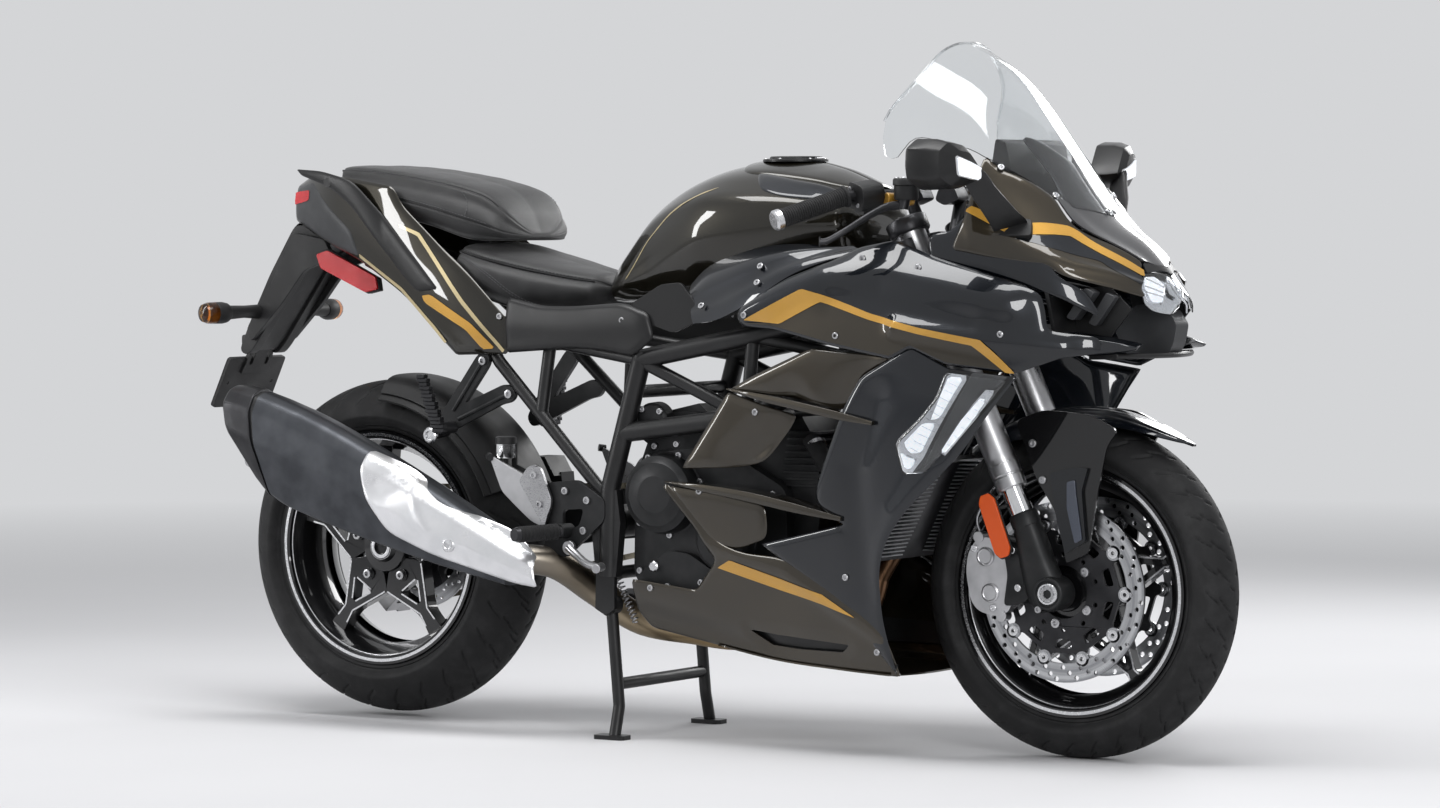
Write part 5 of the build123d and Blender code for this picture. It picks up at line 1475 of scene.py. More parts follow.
# ---------------------------------------------------------------- tank and seats
def ringed(sections, v, x):
    """Point of a body given as (x, half profile) sections; v runs 0 to 1 down a side."""
    count = len(sections[0][1])
    stops = tuple(k / (count - 1) for k in range(-1, count + 1))
    rows = []
    for _, half in sections:
        ys = [-half[1][0]] + [y for y, _ in half] + [-half[-2][0]]
        zs = [half[1][1]] + [z for _, z in half] + [half[-2][1]]
        rows.append((glide(stops, ys, v), glide(stops, zs, v)))
    places = [place for place, _ in sections]
    return glide(places, [y for y, _ in rows], x), glide(places, [z for _, z in rows], x)


def closed_body(sections, along, around, relief=None, round_end=(0.0, 0.0)):
    """Closed smooth body through sections, its ends drawn in over round_end millimetres."""
    sections = sorted(sections)
    first, last = sections[0][0], sections[-1][0]
    rings = []
    for step in range(along + 1):
        t = step / along
        x = first + (last - first) * (0.5 - 0.5 * cos(pi * t))
        low, high = round_end
        near = min((x - first) / low if low else 1.0, (last - x) / high if high else 1.0, 1.0)
        pinch = sqrt(max(0.0, 1 - (1 - near) ** 2)) if near < 1 else 1.0
        right = []
        for k in range(around + 1):
            v = k / around
            y, z = ringed(sections, v, x)
            if relief:
                y, z = relief(x, v, y, z)
            right.append((y, z))
        base = (right[0][1] + right[-1][1]) / 2
        right = [(y * (0.35 + 0.65 * pinch), base + (z - base) * (0.25 + 0.75 * pinch))
                 for y, z in right]
        rings.append([(x, -y, z) for y, z in right] + [(x, y, z) for y, z in right[-2:0:-1]])
    return loft(rings)


TANK = [(-176, [(0, 845), (34, 842), (56, 830), (62, 818), (52, 806), (30, 801), (0, 800)]),
        (-130, [(0, 905), (50, 896), (84, 868), (94, 842), (84, 818), (60, 802), (0, 798)]),
        (-50, [(0, 988), (72, 974), (116, 932), (126, 884), (112, 840), (84, 808), (0, 800)]),
        (60, [(0, 1044), (86, 1026), (142, 978), (156, 922), (138, 862), (108, 820), (0, 806)]),
        (180, [(0, 1060), (90, 1040), (152, 992), (170, 940), (150, 880), (120, 834), (0, 812)]),
        (290, [(0, 1048), (86, 1030), (144, 990), (160, 948), (142, 900), (112, 858), (0, 830)]),
        (380, [(0, 1014), (66, 1000), (104, 974), (116, 944), (104, 914), (80, 892), (0, 880)])]


def tank_relief(x, v, y, z):
    """Knee hollow behind, shoulder crease and the flat round the filler."""
    knee = max(0.0, 1 - abs(v - 0.5) / 0.28) * max(0.0, 1 - abs(x + 60) / 130)
    crease = max(0.0, 1 - abs(v - (0.30 + 0.00025 * (x - 60))) / 0.07)
    y = y - 13 * knee * min(1.0, y / 60) + 3.5 * crease * min(1.0, y / 60)
    top = max(0.0, 1 - hypot(x - 195, y) / 96)
    return y, z - 5 * knee + 2.0 * crease + 3 * min(1.0, 1.6 * top)


piece("fuel_tank_skin", TANK_PAINT, closed_body(TANK, 64, 36, tank_relief, (14, 26)),
      stands_for=("fuel_tank",), crease=0)


def on_tank(base):
    """Surface over the right side of the tank, v running 0 on top to 300 underneath."""
    def spot(x, v):
        y, z = tank_relief(x, v, *ringed(TANK, v, x))
        return Vector((x, -y, z))

    def surface(x, v, lift):
        point = spot(x, v / 300)
        out = (spot(x, v / 300 + 0.01) - spot(x, v / 300 - 0.01)).cross(spot(x + 4, v / 300)
                                                                    - spot(x - 4, v / 300))
        out.normalize()
        if out.dot(Vector((0, -0.6, 1 - v / 150))) < 0:
            out = -out
        return tuple(point + (base + lift) * out)
    return surface


panel("tank_top_cover", [(112, 0), (118, 34), (150, 52), (262, 60), (330, 58), (372, 40),
                         (376, 0)], on_tank(3.5), TANK_PAINT, gap=10, lip=10, drop=3.5,
      radius=[0, 14, 20, 30, 20, 14, 0])
panel("tank_top_inserts", [(170, 50), (200, 84), (262, 98), (318, 96), (358, 70), (334, 61),
                           (262, 63)], on_tank(2.6), NAVY, gap=10, lip=9, drop=2.4,
      radius=[4, 20, 24, 20, 8, 20, 20])
stripe("tank_pinstripe", [(-118, 152), (-60, 112), (0, 92), (80, 78), (110, 74), (80, 81),
                          (0, 95), (-60, 115), (-117, 155)], on_tank(0.5), PALE_GOLD, 8)

# Filler cap: rim, ring of screws and the hinged lid with its lock.
FILLER = Vector((195, 0, 1064))
ring = [(48.5, -3), (60, -3), (60, 0.6), (57, 2.2), (50.5, 2.2), (48.5, 0.4)]
piece("filler_ring", SATIN_BLACK, turned(ring, FILLER, UP, 64), crease=30)
bolts("filler_screws", "chassis",
      [((FILLER.x + 54.5 * cos(radians(a)), 54.5 * sin(radians(a)), 1065.6), UP)
       for a in range(30, 390, 60)], 3.2, 1.6)
lid = [(0.1, 0.5), (47.6, 0.5), (47.6, 4.5), (45, 6.6), (30, 7), (28, 5.4), (20, 5), (18.5, 6.2),
       (0.1, 6.4)]
hinge, lock = [[(x0, -half), (x1, -half), (x1, half), (x0, half)]
               for x0, x1, half in ((224, 246, 12), (176, 198, 8))]
piece("fuel_cap_lid_skin", SATIN_BLACK, turned(lid, FILLER, UP, 64),
      slab(rounded(hinge, 3, 2), [], plan_view, 1064.6, 1070.2), body="fuel_cap",
      stands_for=("fuel_cap",), crease=30)
piece("fuel_cap_lock", BRIGHT_ALLOY, slab(rounded(lock, 6, 3), [], plan_view, 1069.8, 1071.2),
      body="fuel_cap")
piece("fuel_cap_hinge_pin", STEEL, tube([(246, -13, 1067), (246, 13, 1067)], 2.6, 12),
      body="fuel_cap")

# Inner side panels between the tank and the fairing, and the covers below the tank.
TANK_SIDE = [(62, -148, 838), (104, -150, 872), (198, -156, 904), (300, -158, 912), (402, -148, 905)]
COWL_SIDE = [(96, -198, 768), (160, -220, 776), (236, -236, 806), (330, -226, 862), (452, -204, 902)]


def cockpit_side_panels():
    """Swelling panels with a crease, from the tank's edge down to the fairing's."""
    tops, lows = [evenly(curve_through(edge, 8), count=30) for edge in (TANK_SIDE, COWL_SIDE)]
    rings = []
    for a, b in zip(tops, lows):
        row = []
        for t in [k / 8 for k in range(9)]:
            swell = 12 * sin(pi * t) - 7 * max(0.0, 1 - abs(t - 0.62) / 0.2)
            x, y, z = (p + (q - p) * t for p, q in zip(a, b))
            row.append((x, y - swell, z + 0.5 * swell))
        rings.append(row)
    shape = both(loft(rings, closed=False))
    thicken(shape.keep("cockpit_side_panels", "chassis", NAVY, crease=50), 3)


cockpit_side_panels()
plate = [(-45, 802), (20, 838), (62, 842), (98, 800), (92, 768), (45, 750), (-20, 770)]
piece("frame_side_covers", SATIN_BLACK, block(rounded(plate, 8, 3), -186, -178), mirrored=True,
      edge=2.5)
bolts("cockpit_panel_bolts", "chassis",
      on_sides([(246, 872, 208), (252, 843, 229), (120, 800, 206)], 0.5), 6, 4)


# Seats: foam under grained vinyl, pulled in along sewn seams.
def stitches(name, lines):
    """Short threads laid end to end along lines of points."""
    heap, step, length = Heap(), 7.0, 4.2
    for line in lines:
        points = evenly(line, step)
        for a, b in zip(points, points[1:]):
            a, b = Vector(a), Vector(b)
            way = (b - a) * (length / step)
            out = Vector((0, a.y, 120)).normalized() * 0.5
            heap.put(tube([a, a + way * 0.5 + out, a + way], [0.5, 0.75, 0.5], 5))
    return heap.keep(name, "chassis", THREAD)


RIDER = [(-180, [(0, 850), (46, 846), (66, 838), (78, 826), (74, 806), (60, 793), (0, 790)]),
         (-215, [(0, 858), (60, 853), (84, 842), (98, 826), (92, 800), (74, 786), (0, 784)]),
         (-260, [(0, 868), (76, 862), (104, 850), (120, 832), (116, 800), (100, 784), (0, 782)]),
         (-330, [(0, 884), (92, 878), (126, 864), (142, 842), (138, 806), (124, 787), (0, 785)]),
         (-400, [(0, 899), (104, 893), (136, 880), (152, 862), (148, 828), (136, 808), (0, 806)]),
         (-446, [(0, 910), (106, 904), (132, 892), (146, 876), (142, 846), (132, 828), (0, 826)]),
         (-480, [(0, 914), (98, 908), (122, 898), (134, 884), (130, 858), (120, 842), (0, 838)])]
PILLION = [(-366, [(0, 936), (52, 934), (66, 929), (74, 922), (70, 917), (58, 915), (0, 915)]),
           (-384, [(0, 972), (80, 968), (100, 954), (112, 936), (108, 922), (92, 916), (0, 916)]),
           (-414, [(0, 1003), (92, 997), (116, 978), (128, 950), (122, 926), (106, 916), (0, 916)]),
           (-452, [(0, 1020), (98, 1013), (124, 992), (136, 962), (130, 932), (114, 919), (0, 918)]),
           (-540, [(0, 1039), (100, 1032), (124, 1010), (134, 984), (128, 956), (112, 944),
                   (0, 942)]),
           (-660, [(0, 1054), (94, 1048), (114, 1028), (122, 1006), (116, 980), (102, 966),
                   (0, 964)]),
           (-740, [(0, 1057), (80, 1052), (98, 1036), (104, 1018), (98, 998), (86, 986), (0, 984)]),
           (-788, [(0, 1054), (58, 1050), (74, 1038), (80, 1024), (74, 1008), (64, 998), (0, 996)])]


def seam_cut(v, at):
    """Depth of the valley that a seam at one place pulls in the cushion."""
    half, depth = 0.018, 3.6
    gap = abs(v - at) / half
    return depth * max(0.0, 1 - gap) ** 0.7 if gap < 1 else 0.0


def pulled(seams, crown):
    """Relief of a cushion: a crown between seams and a narrow valley at each seam."""
    def relief(x, v, y, z):
        cut = sum(seam_cut(v, at) for at in seams)
        swell = crown * sin(min(1.0, v / 0.34) * pi) if v < 0.34 else 0.0
        swell += 0.8 * crown * sin(min(1.0, max(0.0, (v - 0.36) / 0.3)) * pi)
        out = Vector((y, (z - 870) * 0.4 + 40 * (1 - v))).normalized()
        grow = swell - cut
        wrinkle = 0.5 * sin(x * 0.09 + 5 * v) * sin(9 * v + 0.03 * x)
        return y + (grow + wrinkle) * out[0], z + (grow + wrinkle) * out[1]
    return relief


def seam_line(sections, relief, places, side=1, lift=0.4):
    """Points over a cushion along (x, v) places, lift millimetres above it."""
    points = []
    for x, v in places:
        y, z = relief(x, v, *ringed(sorted(sections), v, x))
        points.append((x, side * (y + lift), z + lift))
    return points


rider_shape = pulled([0.31, 0.345], 4.0)
rider_cushion = piece("rider_seat_cushion", VINYL,
                      closed_body(RIDER, 110, 66, rider_shape, (26, 22)),
                      stands_for=("rider_seat",), crease=0)
SWEEP = [(-452, 0.40), (-420, 0.45), (-380, 0.52), (-340, 0.60), (-300, 0.68), (-270, 0.73)]
runs = [[(x, v) for x in range(-462, -196, 8)] for v in (0.296, 0.36)]
runs += [[(x, v + shift) for x, v in curve_through(SWEEP, 8)] for shift in (0.0, 0.022)]
stitches("rider_seat_stitches",
         [seam_line(RIDER, rider_shape, run, side) for side in (1, -1) for run in runs])


def welting(name, sections, relief, runs):
    """Thin piping sewn into a seam on both sides."""
    piece(name, SATIN_BLACK, *[tube(seam_line(sections, relief, run, side, 0.2), 1.7, 8)
                               for run in runs for side in (1, -1)])


welting("rider_seat_piping", RIDER, rider_shape, [[(x, 0.328) for x in range(-466, -192, 6)]])

pillion_shape = pulled([0.21, 0.52], 4.5)
pillion_cushion = piece("passenger_seat_cushion", VINYL,
                        closed_body(PILLION, 120, 66, pillion_shape, (24, 16)),
                        stands_for=("passenger_seat",), crease=0)
runs = [[(x, v) for x in range(-770, -396, 8)] for v in (0.228, 0.502)]
runs.append(curve_through([(-470, 0.24), (-452, 0.32), (-444, 0.42), (-446, 0.5)], 8))
stitches("passenger_seat_stitches",
         [seam_line(PILLION, pillion_shape, run, side) for side in (1, -1) for run in runs])
welting("passenger_seat_piping", PILLION, pillion_shape,
        [[(x, v) for x in range(-774, -392, 6)] for v in (0.21, 0.52)])


# ---------------------------------------------------------------- tail
TAIL = [(-905, [(36, 1022), (48, 1012), (52, 1002), (46, 950)]),
        (-800, [(100, 1042), (106, 1016), (106, 1000), (92, 900)]),
        (-660, [(136, 1022), (140, 1000), (140, 975), (126, 840)]),
        (-520, [(150, 985), (156, 950), (158, 920), (150, 740)]),
        (-420, [(140, 930), (160, 890), (168, 850), (160, 690)]),
        (-330, [(128, 880), (160, 830), (168, 790), (166, 690)])]
FLANK = [(-330, [(160, 870), (168, 800), (170, 700)]), (-180, [(178, 820), (182, 780), (184, 700)]),
         (-25, [(188, 810), (192, 780), (194, 700)])]


def wall_y(sections, x, z):
    """Half-width of a side wall given as (x, [(y, z), ...]) lines."""
    rows = []
    for _, line in sections:
        stops = [height for _, height in reversed(line)]
        rows.append(glide(stops, [y for y, _ in reversed(line)], z))
    return glide([place for place, _ in sections], rows, x)


def calm_y(sections, x, z):
    """Half-width evened out over its neighbourhood, so that the paint reflects calmly."""
    reach, shares = 45.0, (-1, -0.5, 0, 0.5, 1)
    near = [(reach * dx, reach * dz) for dx in shares for dz in shares]
    return sum(wall_y(sections, x + dx, z + dz) for dx, dz in near) / len(near)


def wall(sections, base):
    """Surface over the right side of a wall, base millimetres outside it."""
    return lambda x, z, lift: (x, -calm_y(sections, x, z) - base - lift, z)


def tail_relief(x, z):
    """A slight swelling along the flank."""
    return 4.0 * exp(-(to_line(x, z, [(-900, 985), (-700, 930), (-560, 850), (-400, 760)]) / 48) ** 2)


TAIL_PANEL = [(-735, 1036), (-850, 1040), (-905, 1020), (-905, 952), (-822, 920), (-703, 878),
              (-585, 813), (-495, 735), (-455, 702), (-332, 706), (-332, 770), (-432, 862),
              (-487, 902), (-540, 946), (-585, 982), (-610, 1018)]
panel("tail_panel_skins", TAIL_PANEL, wall(TAIL, 0.5), TANK_PAINT, ("tail_panels",), 13,
      relief=tail_relief, radius=[10, 6, 6, 6, 20, 30, 30, 30, 4, 2, 8, 30, 20, 20, 12, 12])
panel("tail_end_shells", [(-838, 1028), (-900, 1020), (-904, 985), (-900, 955), (-828, 926),
                          (-762, 900), (-700, 884), (-716, 934), (-800, 996)], wall(TAIL, 3.5),
      GREY_PLASTIC, relief=tail_relief, radius=[6, 4, 4, 6, 20, 20, 4, 12, 14])
stripe("tail_gold_stripe", [(-533, 813), (-510, 815), (-412, 762), (-358, 716), (-387, 714),
                            (-425, 750), (-527, 800)], wall(TAIL, 1.4), GOLD, relief=tail_relief)
stripe("tail_pale_line", [(-590, 948), (-538, 931), (-430, 806), (-335, 712), (-341, 708),
                          (-436, 800), (-543, 925), (-590, 942)], wall(TAIL, 1.4), PALE_GOLD, 8,
       relief=tail_relief)
stripe("tail_edge_line", [(-700, 891), (-586, 827), (-500, 753), (-474, 726), (-478, 722),
                          (-504, 747), (-589, 821), (-702, 885)], wall(TAIL, 1.4), PALE_GOLD, 8,
       relief=tail_relief)


def blade_y(x, z):
    """The grab rail blades stand out from the tail, most of all in the middle."""
    return max(calm_y(TAIL, x, z) + 8, 118 + 34 * sin(pi * min(1.0, max(0.0, (x + 870) / 400))))


GRAB = [(-852, 1052), (-780, 1048), (-700, 1030), (-640, 975), (-560, 895), (-487, 824),
        (-545, 818), (-590, 856), (-652, 925), (-706, 986), (-760, 1018), (-838, 1040)]
panel("grab_rail_blades", GRAB, lambda x, z, lift: (x, -blade_y(x, z) - lift, z), SATIN_BLACK,
      ("grab_rails",), 12, wall=9, lip=18, drop=5,
      radius=[2, 20, 24, 30, 30, 3, 10, 20, 30, 30, 20, 6])
piece("grab_rail_posts", SATIN_BLACK,
      *[tube([(x, -inner, z), (x, -blade_y(x, z), z)], 9, 14)
        for x, z, inner in ((-760, 1026, 60), (-600, 900, 118))], mirrored=True)

panel("side_cover_skins", [(-334, 708), (-147, 721), (-40, 706), (8, 740), (-6, 786), (-60, 804),
                           (-180, 796), (-250, 796), (-334, 812)], wall(FLANK, 1), SATIN_BLACK,
      ("side_covers",), 12, lip=12, drop=8, radius=[3, 60, 14, 10, 12, 20, 20, 20, 4],
      relief=lambda x, z: ridge(x, z, [(-330, 766), (-180, 762), (-30, 770)], 5, 60))
bolts("side_cover_bolts", "chassis",
      on_sides([(x, z, calm_y(FLANK, x, z) + 2) for x, z in ((-346, 776), (-60, 772))]), 6, 4)

# Tail light across the back, hanger, blank plate, reflectors and signals.
LAMP_BODY = [(-846, [(0, 1022), (44, 1020), (62, 1006), (60, 986), (46, 958), (0, 946)]),
             (-880, [(0, 1017), (36, 1015), (52, 1003), (50, 984), (38, 959), (0, 947)]),
             (-905, [(0, 1011), (24, 1009), (36, 999), (34, 982), (26, 962), (0, 948)])]
piece("tail_light_shell", SATIN_BLACK, closed_body(LAMP_BODY, 24, 24),
      stands_for=("tail_light",), crease=40)
lens_body = [(x - 2.4, [(0.97 * y, 985 + 0.62 * (z - 985)) for y, z in half])
             for x, half in LAMP_BODY]
piece("tail_light_lens", RED_LENS, closed_body(lens_body, 24, 24), crease=40)
stripe("tail_light_strips", [(-902, 1008), (-848, 1012), (-848, 992), (-902, 984)],
       wall(TAIL, 4.4), RED, 8, relief=tail_relief)

ARM = [(-800, 924), (-850, 944), (-884, 953), (-903, 940), (-960, 850), (-1008, 760), (-1036, 700),
       (-1018, 690), (-1000, 706), (-930, 800), (-872, 880), (-800, 914)]


def hanger_layer(y_from, y_to, grow):
    """One layer of the plate hanger's arm, moved back and up by grow."""
    outline = [(x - grow * 0.6, z + grow) for x, z in ARM]
    return block(rounded(outline, 14, 3), y_from, y_to)


def oblong(wide, high, middle=(0, 0)):
    """Corners of a rectangle round its middle."""
    u, v = middle
    return [(u - wide, v - high), (u + wide, v - high), (u + wide, v + high), (u - wide, v + high)]


piece("plate_hanger_arm", BLACK_PLASTIC, hanger_layer(-60, -34, 0.0), hanger_layer(-36, 36, 5.0),
      hanger_layer(34, 60, 0.0), edge=6, segments=3, stands_for=("rear_fender",))
PLATE_AT, PLATE_OUT = (-1062, 0, 639), (-0.908, 0, 0.419)
PLATE_BOLTS = 70, 3.5  # half their spacing, and the radius of their holes
plate = on_plane(PLATE_AT, PLATE_OUT)
sheet = rounded(oblong(90, 53), 8, 4)
bores = [circle(side * PLATE_BOLTS[0], 0, PLATE_BOLTS[1], 14) for side in (-1, 1)]
piece("licence_plate_blank", DARK_ALLOY, slab(sheet, bores, plate, 0.2, 2), edge=0.5,
      stands_for=("licence_plate",))
piece("licence_plate_rim", DARK_ALLOY,
      slab(rounded(oblong(86, 49), 6, 4), [rounded(oblong(83, 46), 5, 4)], plate, 1.9, 2.7))
tongue = rounded([(-44, 20), (44, 20), (30, 108), (-30, 108)], 6, 3)
slots = [rounded(oblong(5, 22, (side * 24, 62)), 4, 2) for side in (-1, 1)]
piece("plate_bracket", BLACK_PLASTIC, slab(sheet, bores, plate, -6, 0),
      slab(tongue, slots, plate, -10, -2), edge=1.2)
bolts("plate_bracket_bolts", "chassis",
      [(plate(u, v, -1.5), PLATE_OUT) for v in (52, 76) for u in (-12, 12)], 5.5, 4)
piece("plate_lamp", BLACK_PLASTIC, brick((-1052, -34, 708), (-1016, 34, 730)), edge=5, segments=3)
SIDE_ARM = [(-822, 918), (-900, 930), (-945, 838), (-1010, 742), (-1000, 716), (-925, 790),
            (-868, 858), (-800, 880)]
piece("plate_hanger_sides", BLACK_PLASTIC, block(rounded(SIDE_ARM, 10, 3), -72, -60),
      mirrored=True, edge=3)
RED_SIDE = [(-832, 888), (-806, 896), (-692, 846), (-688, 822), (-716, 816), (-822, 862)]
piece("red_side_reflectors", RED, block(rounded(RED_SIDE, 4, 2), -84, -78), mirrored=True,
      edge=1.5)
wider = [(x + (3 if x > -760 else -3), z + (3 if z > 860 else -3)) for x, z in RED_SIDE]
piece("reflector_backs", BLACK_PLASTIC, block(wider, -79, -66), mirrored=True, edge=1.5)
SIGNAL, SIGNAL_WAY = (-990, -160, 776), (-0.26, -0.96, 0)
piece("rear_signal_stalks", BLACK_PLASTIC,
      tube([(-984, -50, 776), (-986, -110, 777), SIGNAL], [15, 12, 14], 18),
      turned([(0.1, -6), (14, -6), (19, 2), (21, 12), (21, 30), (0.1, 30)], SIGNAL, SIGNAL_WAY, 28),
      mirrored=True, edge=1)
piece("rear_signal_lenses", AMBER_LENS,
      turned([(21, 30), (20.5, 46), (17, 56), (9, 60), (0.1, 61)], SIGNAL, SIGNAL_WAY, 28),
      mirrored=True, stands_for=("rear_turn_signals",), crease=40)


# ---------------------------------------------------------------- forks, calipers, front fender
FRONT_X, FRONT_Z = FRONT_AXLE
STEERING_X = anchor("steering")[0]  # where the steering axis meets the ground
LEAN_C, LEAN_S = cos(radians(24.7)), sin(radians(24.7))
FORK_U, FORK_V = 31.8, 107.0
FORK_WAY = (-LEAN_S, 0.0, LEAN_C)
PINCH_W = (322, 300)  # where the pinch bolts sit, up the steering axis


def steered(u, v, w):
    """Point by its place ahead of the steering axis, left of centre and up the axis."""
    return STEERING_X + u * LEAN_C - w * LEAN_S, v, u * LEAN_S + w * LEAN_C


def rounded_ring(centre, along, wide, deep, aside, steps=20, power=2.6):
    """Closed ring of a squarish oval: wide along one direction, deep along another."""
    ring = []
    for k in range(steps):
        angle = 2 * pi * k / steps
        c, s = cos(angle), sin(angle)
        a = wide * abs(c) ** (2 / power) * (1 if c > 0 else -1)
        b = deep * abs(s) ** (2 / power) * (1 if s > 0 else -1)
        ring.append(tuple(p + a * q + b * r for p, q, r in zip(centre, along, aside)))
    return ring


def front_forks():
    """Silver outer tubes, chromed sliding tubes, axle castings and their caps."""
    base = steered(FORK_U, -FORK_V, 0)
    axle, pinch_u = (FRONT_X, -FORK_V, FRONT_Z), FORK_U - 34
    outer = [(21.8, 515), (26.6, 515), (28, 517), (28, 536), (27, 537.5), (27, 540), (28, 541.5),
             (28, 560), (27, 561.5), (26.8, 575), (27.6, 577), (27.6, 1008), (28.6, 1010),
             (28.6, 1034), (26, 1037), (0.1, 1037)]
    piece("fork_outer_tubes", SILVER_ALLOY, turned(outer, base, FORK_WAY, 40), body="steering",
          mirrored=True, stands_for=("front_forks",), crease=30)
    piece("fork_chrome_stanchions", CHROME,
          turned([(20.5, 425), (21.5, 426), (21.5, 517)], base, FORK_WAY, 36), body="steering",
          mirrored=True, crease=30)
    collar = [(21.6, 468), (25, 468), (26.5, 465), (26.5, 446), (25, 440), (25, 425)]
    foot = [rounded_ring(steered(FORK_U + shift - (442 - w) * 0.045, -FORK_V, w),
                         (LEAN_C, 0, LEAN_S), wide, deep, LEFT)
            for w, wide, deep, shift in ((442, 25, 25, 0), (412, 28, 26, -2), (380, 31, 27, -5),
                                         (346, 35, 26, -7), (322, 37, 25, -7), (306, 34, 24, -6))]
    eye = [(0.1, -24), (27, -24), (31, -20), (31, 20), (28, 27), (24, 28), (22, 25), (17.5, 25),
           (0.1, 25)]
    lug = [(0.1, -14), (7, -14), (7, 14), (0.1, 14)]
    piece("fork_lower_castings", ENGINE_ALLOY, turned(collar, base, FORK_WAY, 32), loft(foot),
          turned(eye, axle, RIGHT, 40),
          *[turned(lug, steered(pinch_u, -FORK_V, w), RIGHT, 16) for w in PINCH_W],
          body="steering", mirrored=True, edge=1, crease=35)
    cap = [(0.1, 20), (19, 20), (19.5, 27), (18, 29), (15.5, 29.4), (14, 27), (9.5, 27), (8.5, 21),
           (0.1, 21)]
    stud = [(0.1, 21), (3.2, 21), (3.2, 27), (0.1, 27)]
    studs = [(FRONT_X + 10.4 * cos(radians(60 * k)), -FORK_V, FRONT_Z + 10.4 * sin(radians(60 * k)))
             for k in range(6)]
    piece("front_axle_caps", BRIGHT_ALLOY, turned(cap, axle, RIGHT, 36),
          *[turned(stud, place, RIGHT, 10) for place in studs], body="steering", mirrored=True,
          crease=30)
    pinch = []
    for side in (1, -1):
        pinch += [(steered(pinch_u, side * (FORK_V + 14), w), (0, side, 0)) for w in PINCH_W]
        pinch.append((steered(FORK_U, side * FORK_V, 1037), FORK_WAY))
    bolts("fork_pinch_bolts", "steering", pinch, 6.5, 4)


def fork_clamp(w, thick):
    """Clamp plate across both tubes at a place up the steering axis."""
    line = [(70, 0), (66, 40), (70, FORK_V - 36), (FORK_U + 6, FORK_V + 40), (-4, FORK_V + 30),
            (-10, FORK_V - 30), (-20, 34), (-26, 0)]
    outline = line + [(u, -v) for u, v in line[-2:0:-1]]
    return slab(rounded(outline, 14, 3), [], steered, w - thick / 2, w + thick / 2)


front_forks()
piece("fork_clamps", DARK_ALLOY, fork_clamp(985, 26), fork_clamp(795, 30), body="steering", edge=3,
      stands_for=("triple_clamps",))
nut = [(0.1, 998), (19, 998), (19, 1006), (16, 1009), (8, 1009), (7, 1003), (0.1, 1003)]
piece("steering_nut", BRIGHT_ALLOY, turned(nut, steered(0, 0, 0), FORK_WAY, 6), body="steering",
      edge=1)


def from_axle(points):
    """Side-view points given from the front axle."""
    return [(FRONT_X + x, FRONT_Z + z) for x, z in points]


CALIPER = [(-172, 66), (-152, 94), (-122, 94), (-96, 76), (-84, 30), (-82, -20), (-92, -38),
           (-112, -46), (-150, -38), (-166, -20), (-176, 30)]
CALIPER_WINDOW = [(-150, 18), (-112, 26), (-108, 50), (-146, 42)]


def caliper_layer(y_from, y_to, size, holes=()):
    """One layer of a caliper between two half-widths, drawn in by size."""
    outline = from_axle([(-130 + (x + 130) * size, 22 + (z - 22) * size) for x, z in CALIPER])
    return slab(rounded(outline, 14, 4), holes, side_view, -y_to, -y_from)


def front_calipers():
    """Four-pot calipers with piston covers, bridge bolts and mounts on the forks."""
    layers = [caliper_layer(88, 110, 1.0), caliper_layer(56, 70, 0.97),
              caliper_layer(68, 90, 0.9, [rounded(from_axle(CALIPER_WINDOW), 6, 2)])]
    cover = [(0.1, 108), (17, 108), (17, 112.5), (14, 114.5), (12.5, 113.2), (0.1, 113.2)]
    pillar = [(0.1, 90), (10, 90), (10, 112), (0.1, 112)]
    rounds = [turned(profile, (FRONT_X + x, 0, FRONT_Z + z), RIGHT, steps)
              for profile, steps, places in ((cover, 28, ((-136, 60), (-126, -4))),
                                             (pillar, 20, ((-150, 94), (-104, -44))))
              for x, z in places]
    piece("front_caliper_bodies", SILVER_ALLOY, *layers, *rounds, body="steering", mirrored=True,
          edge=3, segments=3, stands_for=("front_calipers",))
    lug = [(-100, 92), (-58, 98), (-42, 60), (-40, -6), (-62, -22), (-96, -26), (-88, 30)]
    piece("front_caliper_mounts", ENGINE_ALLOY, block(rounded(from_axle(lug), 10, 3), -118, -92),
          body="steering", mirrored=True, edge=2.5)
    bolts("front_caliper_bolts", "steering",
          on_sides([(FRONT_X + x, FRONT_Z + z, y)
                    for x, z, y in ((-78, 74, 118), (-66, 8, 118), (-158, 74, 110),
                                    (-120, -30, 110), (-94, 66, 110))]), 6.5, 4.5, BRIGHT_ALLOY)
    pipe = Heap().put(tube(curve_through([(-150, -100, 96), (-156, -104, 128), (-130, -112, 166),
                                          (-112, -110, 190)], 6), 2.6, 8))
    pipe.verts = [(FRONT_X + x, y, FRONT_Z + z) for x, y, z in pipe.verts]
    pipe.both_sides().keep("front_brake_pipes", "steering", STEEL)


front_calipers()


def leaning(u, v):
    """Place on the side reflector: u across it, v down its length."""
    return 684 + 0.94 * u + 0.35 * v, 417 + 0.35 * u - 0.94 * v


REFLECTOR_EDGE = [(-8, -58), (8, -58), (16, -46), (16, 46), (8, 58), (-8, 58), (-16, 46), (-16, -46)]
face, back = [rounded([leaning(wide * u, long * v) for u, v in REFLECTOR_EDGE], 3, 2)
              for wide, long in ((1, 1), (1.12, 1.04))]
piece("front_side_reflectors", AMBER, block(face, -139, -134), body="steering", mirrored=True,
      edge=1.5)
piece("front_reflector_stays", BLACK_PLASTIC, block(back, -134, -130),
      tube([(690, -131, 398), (724, -118, 392)], 6, 10),
      tube([(664, -132, 440), (700, -120, 452)], 4, 10), body="steering", mirrored=True, edge=1)
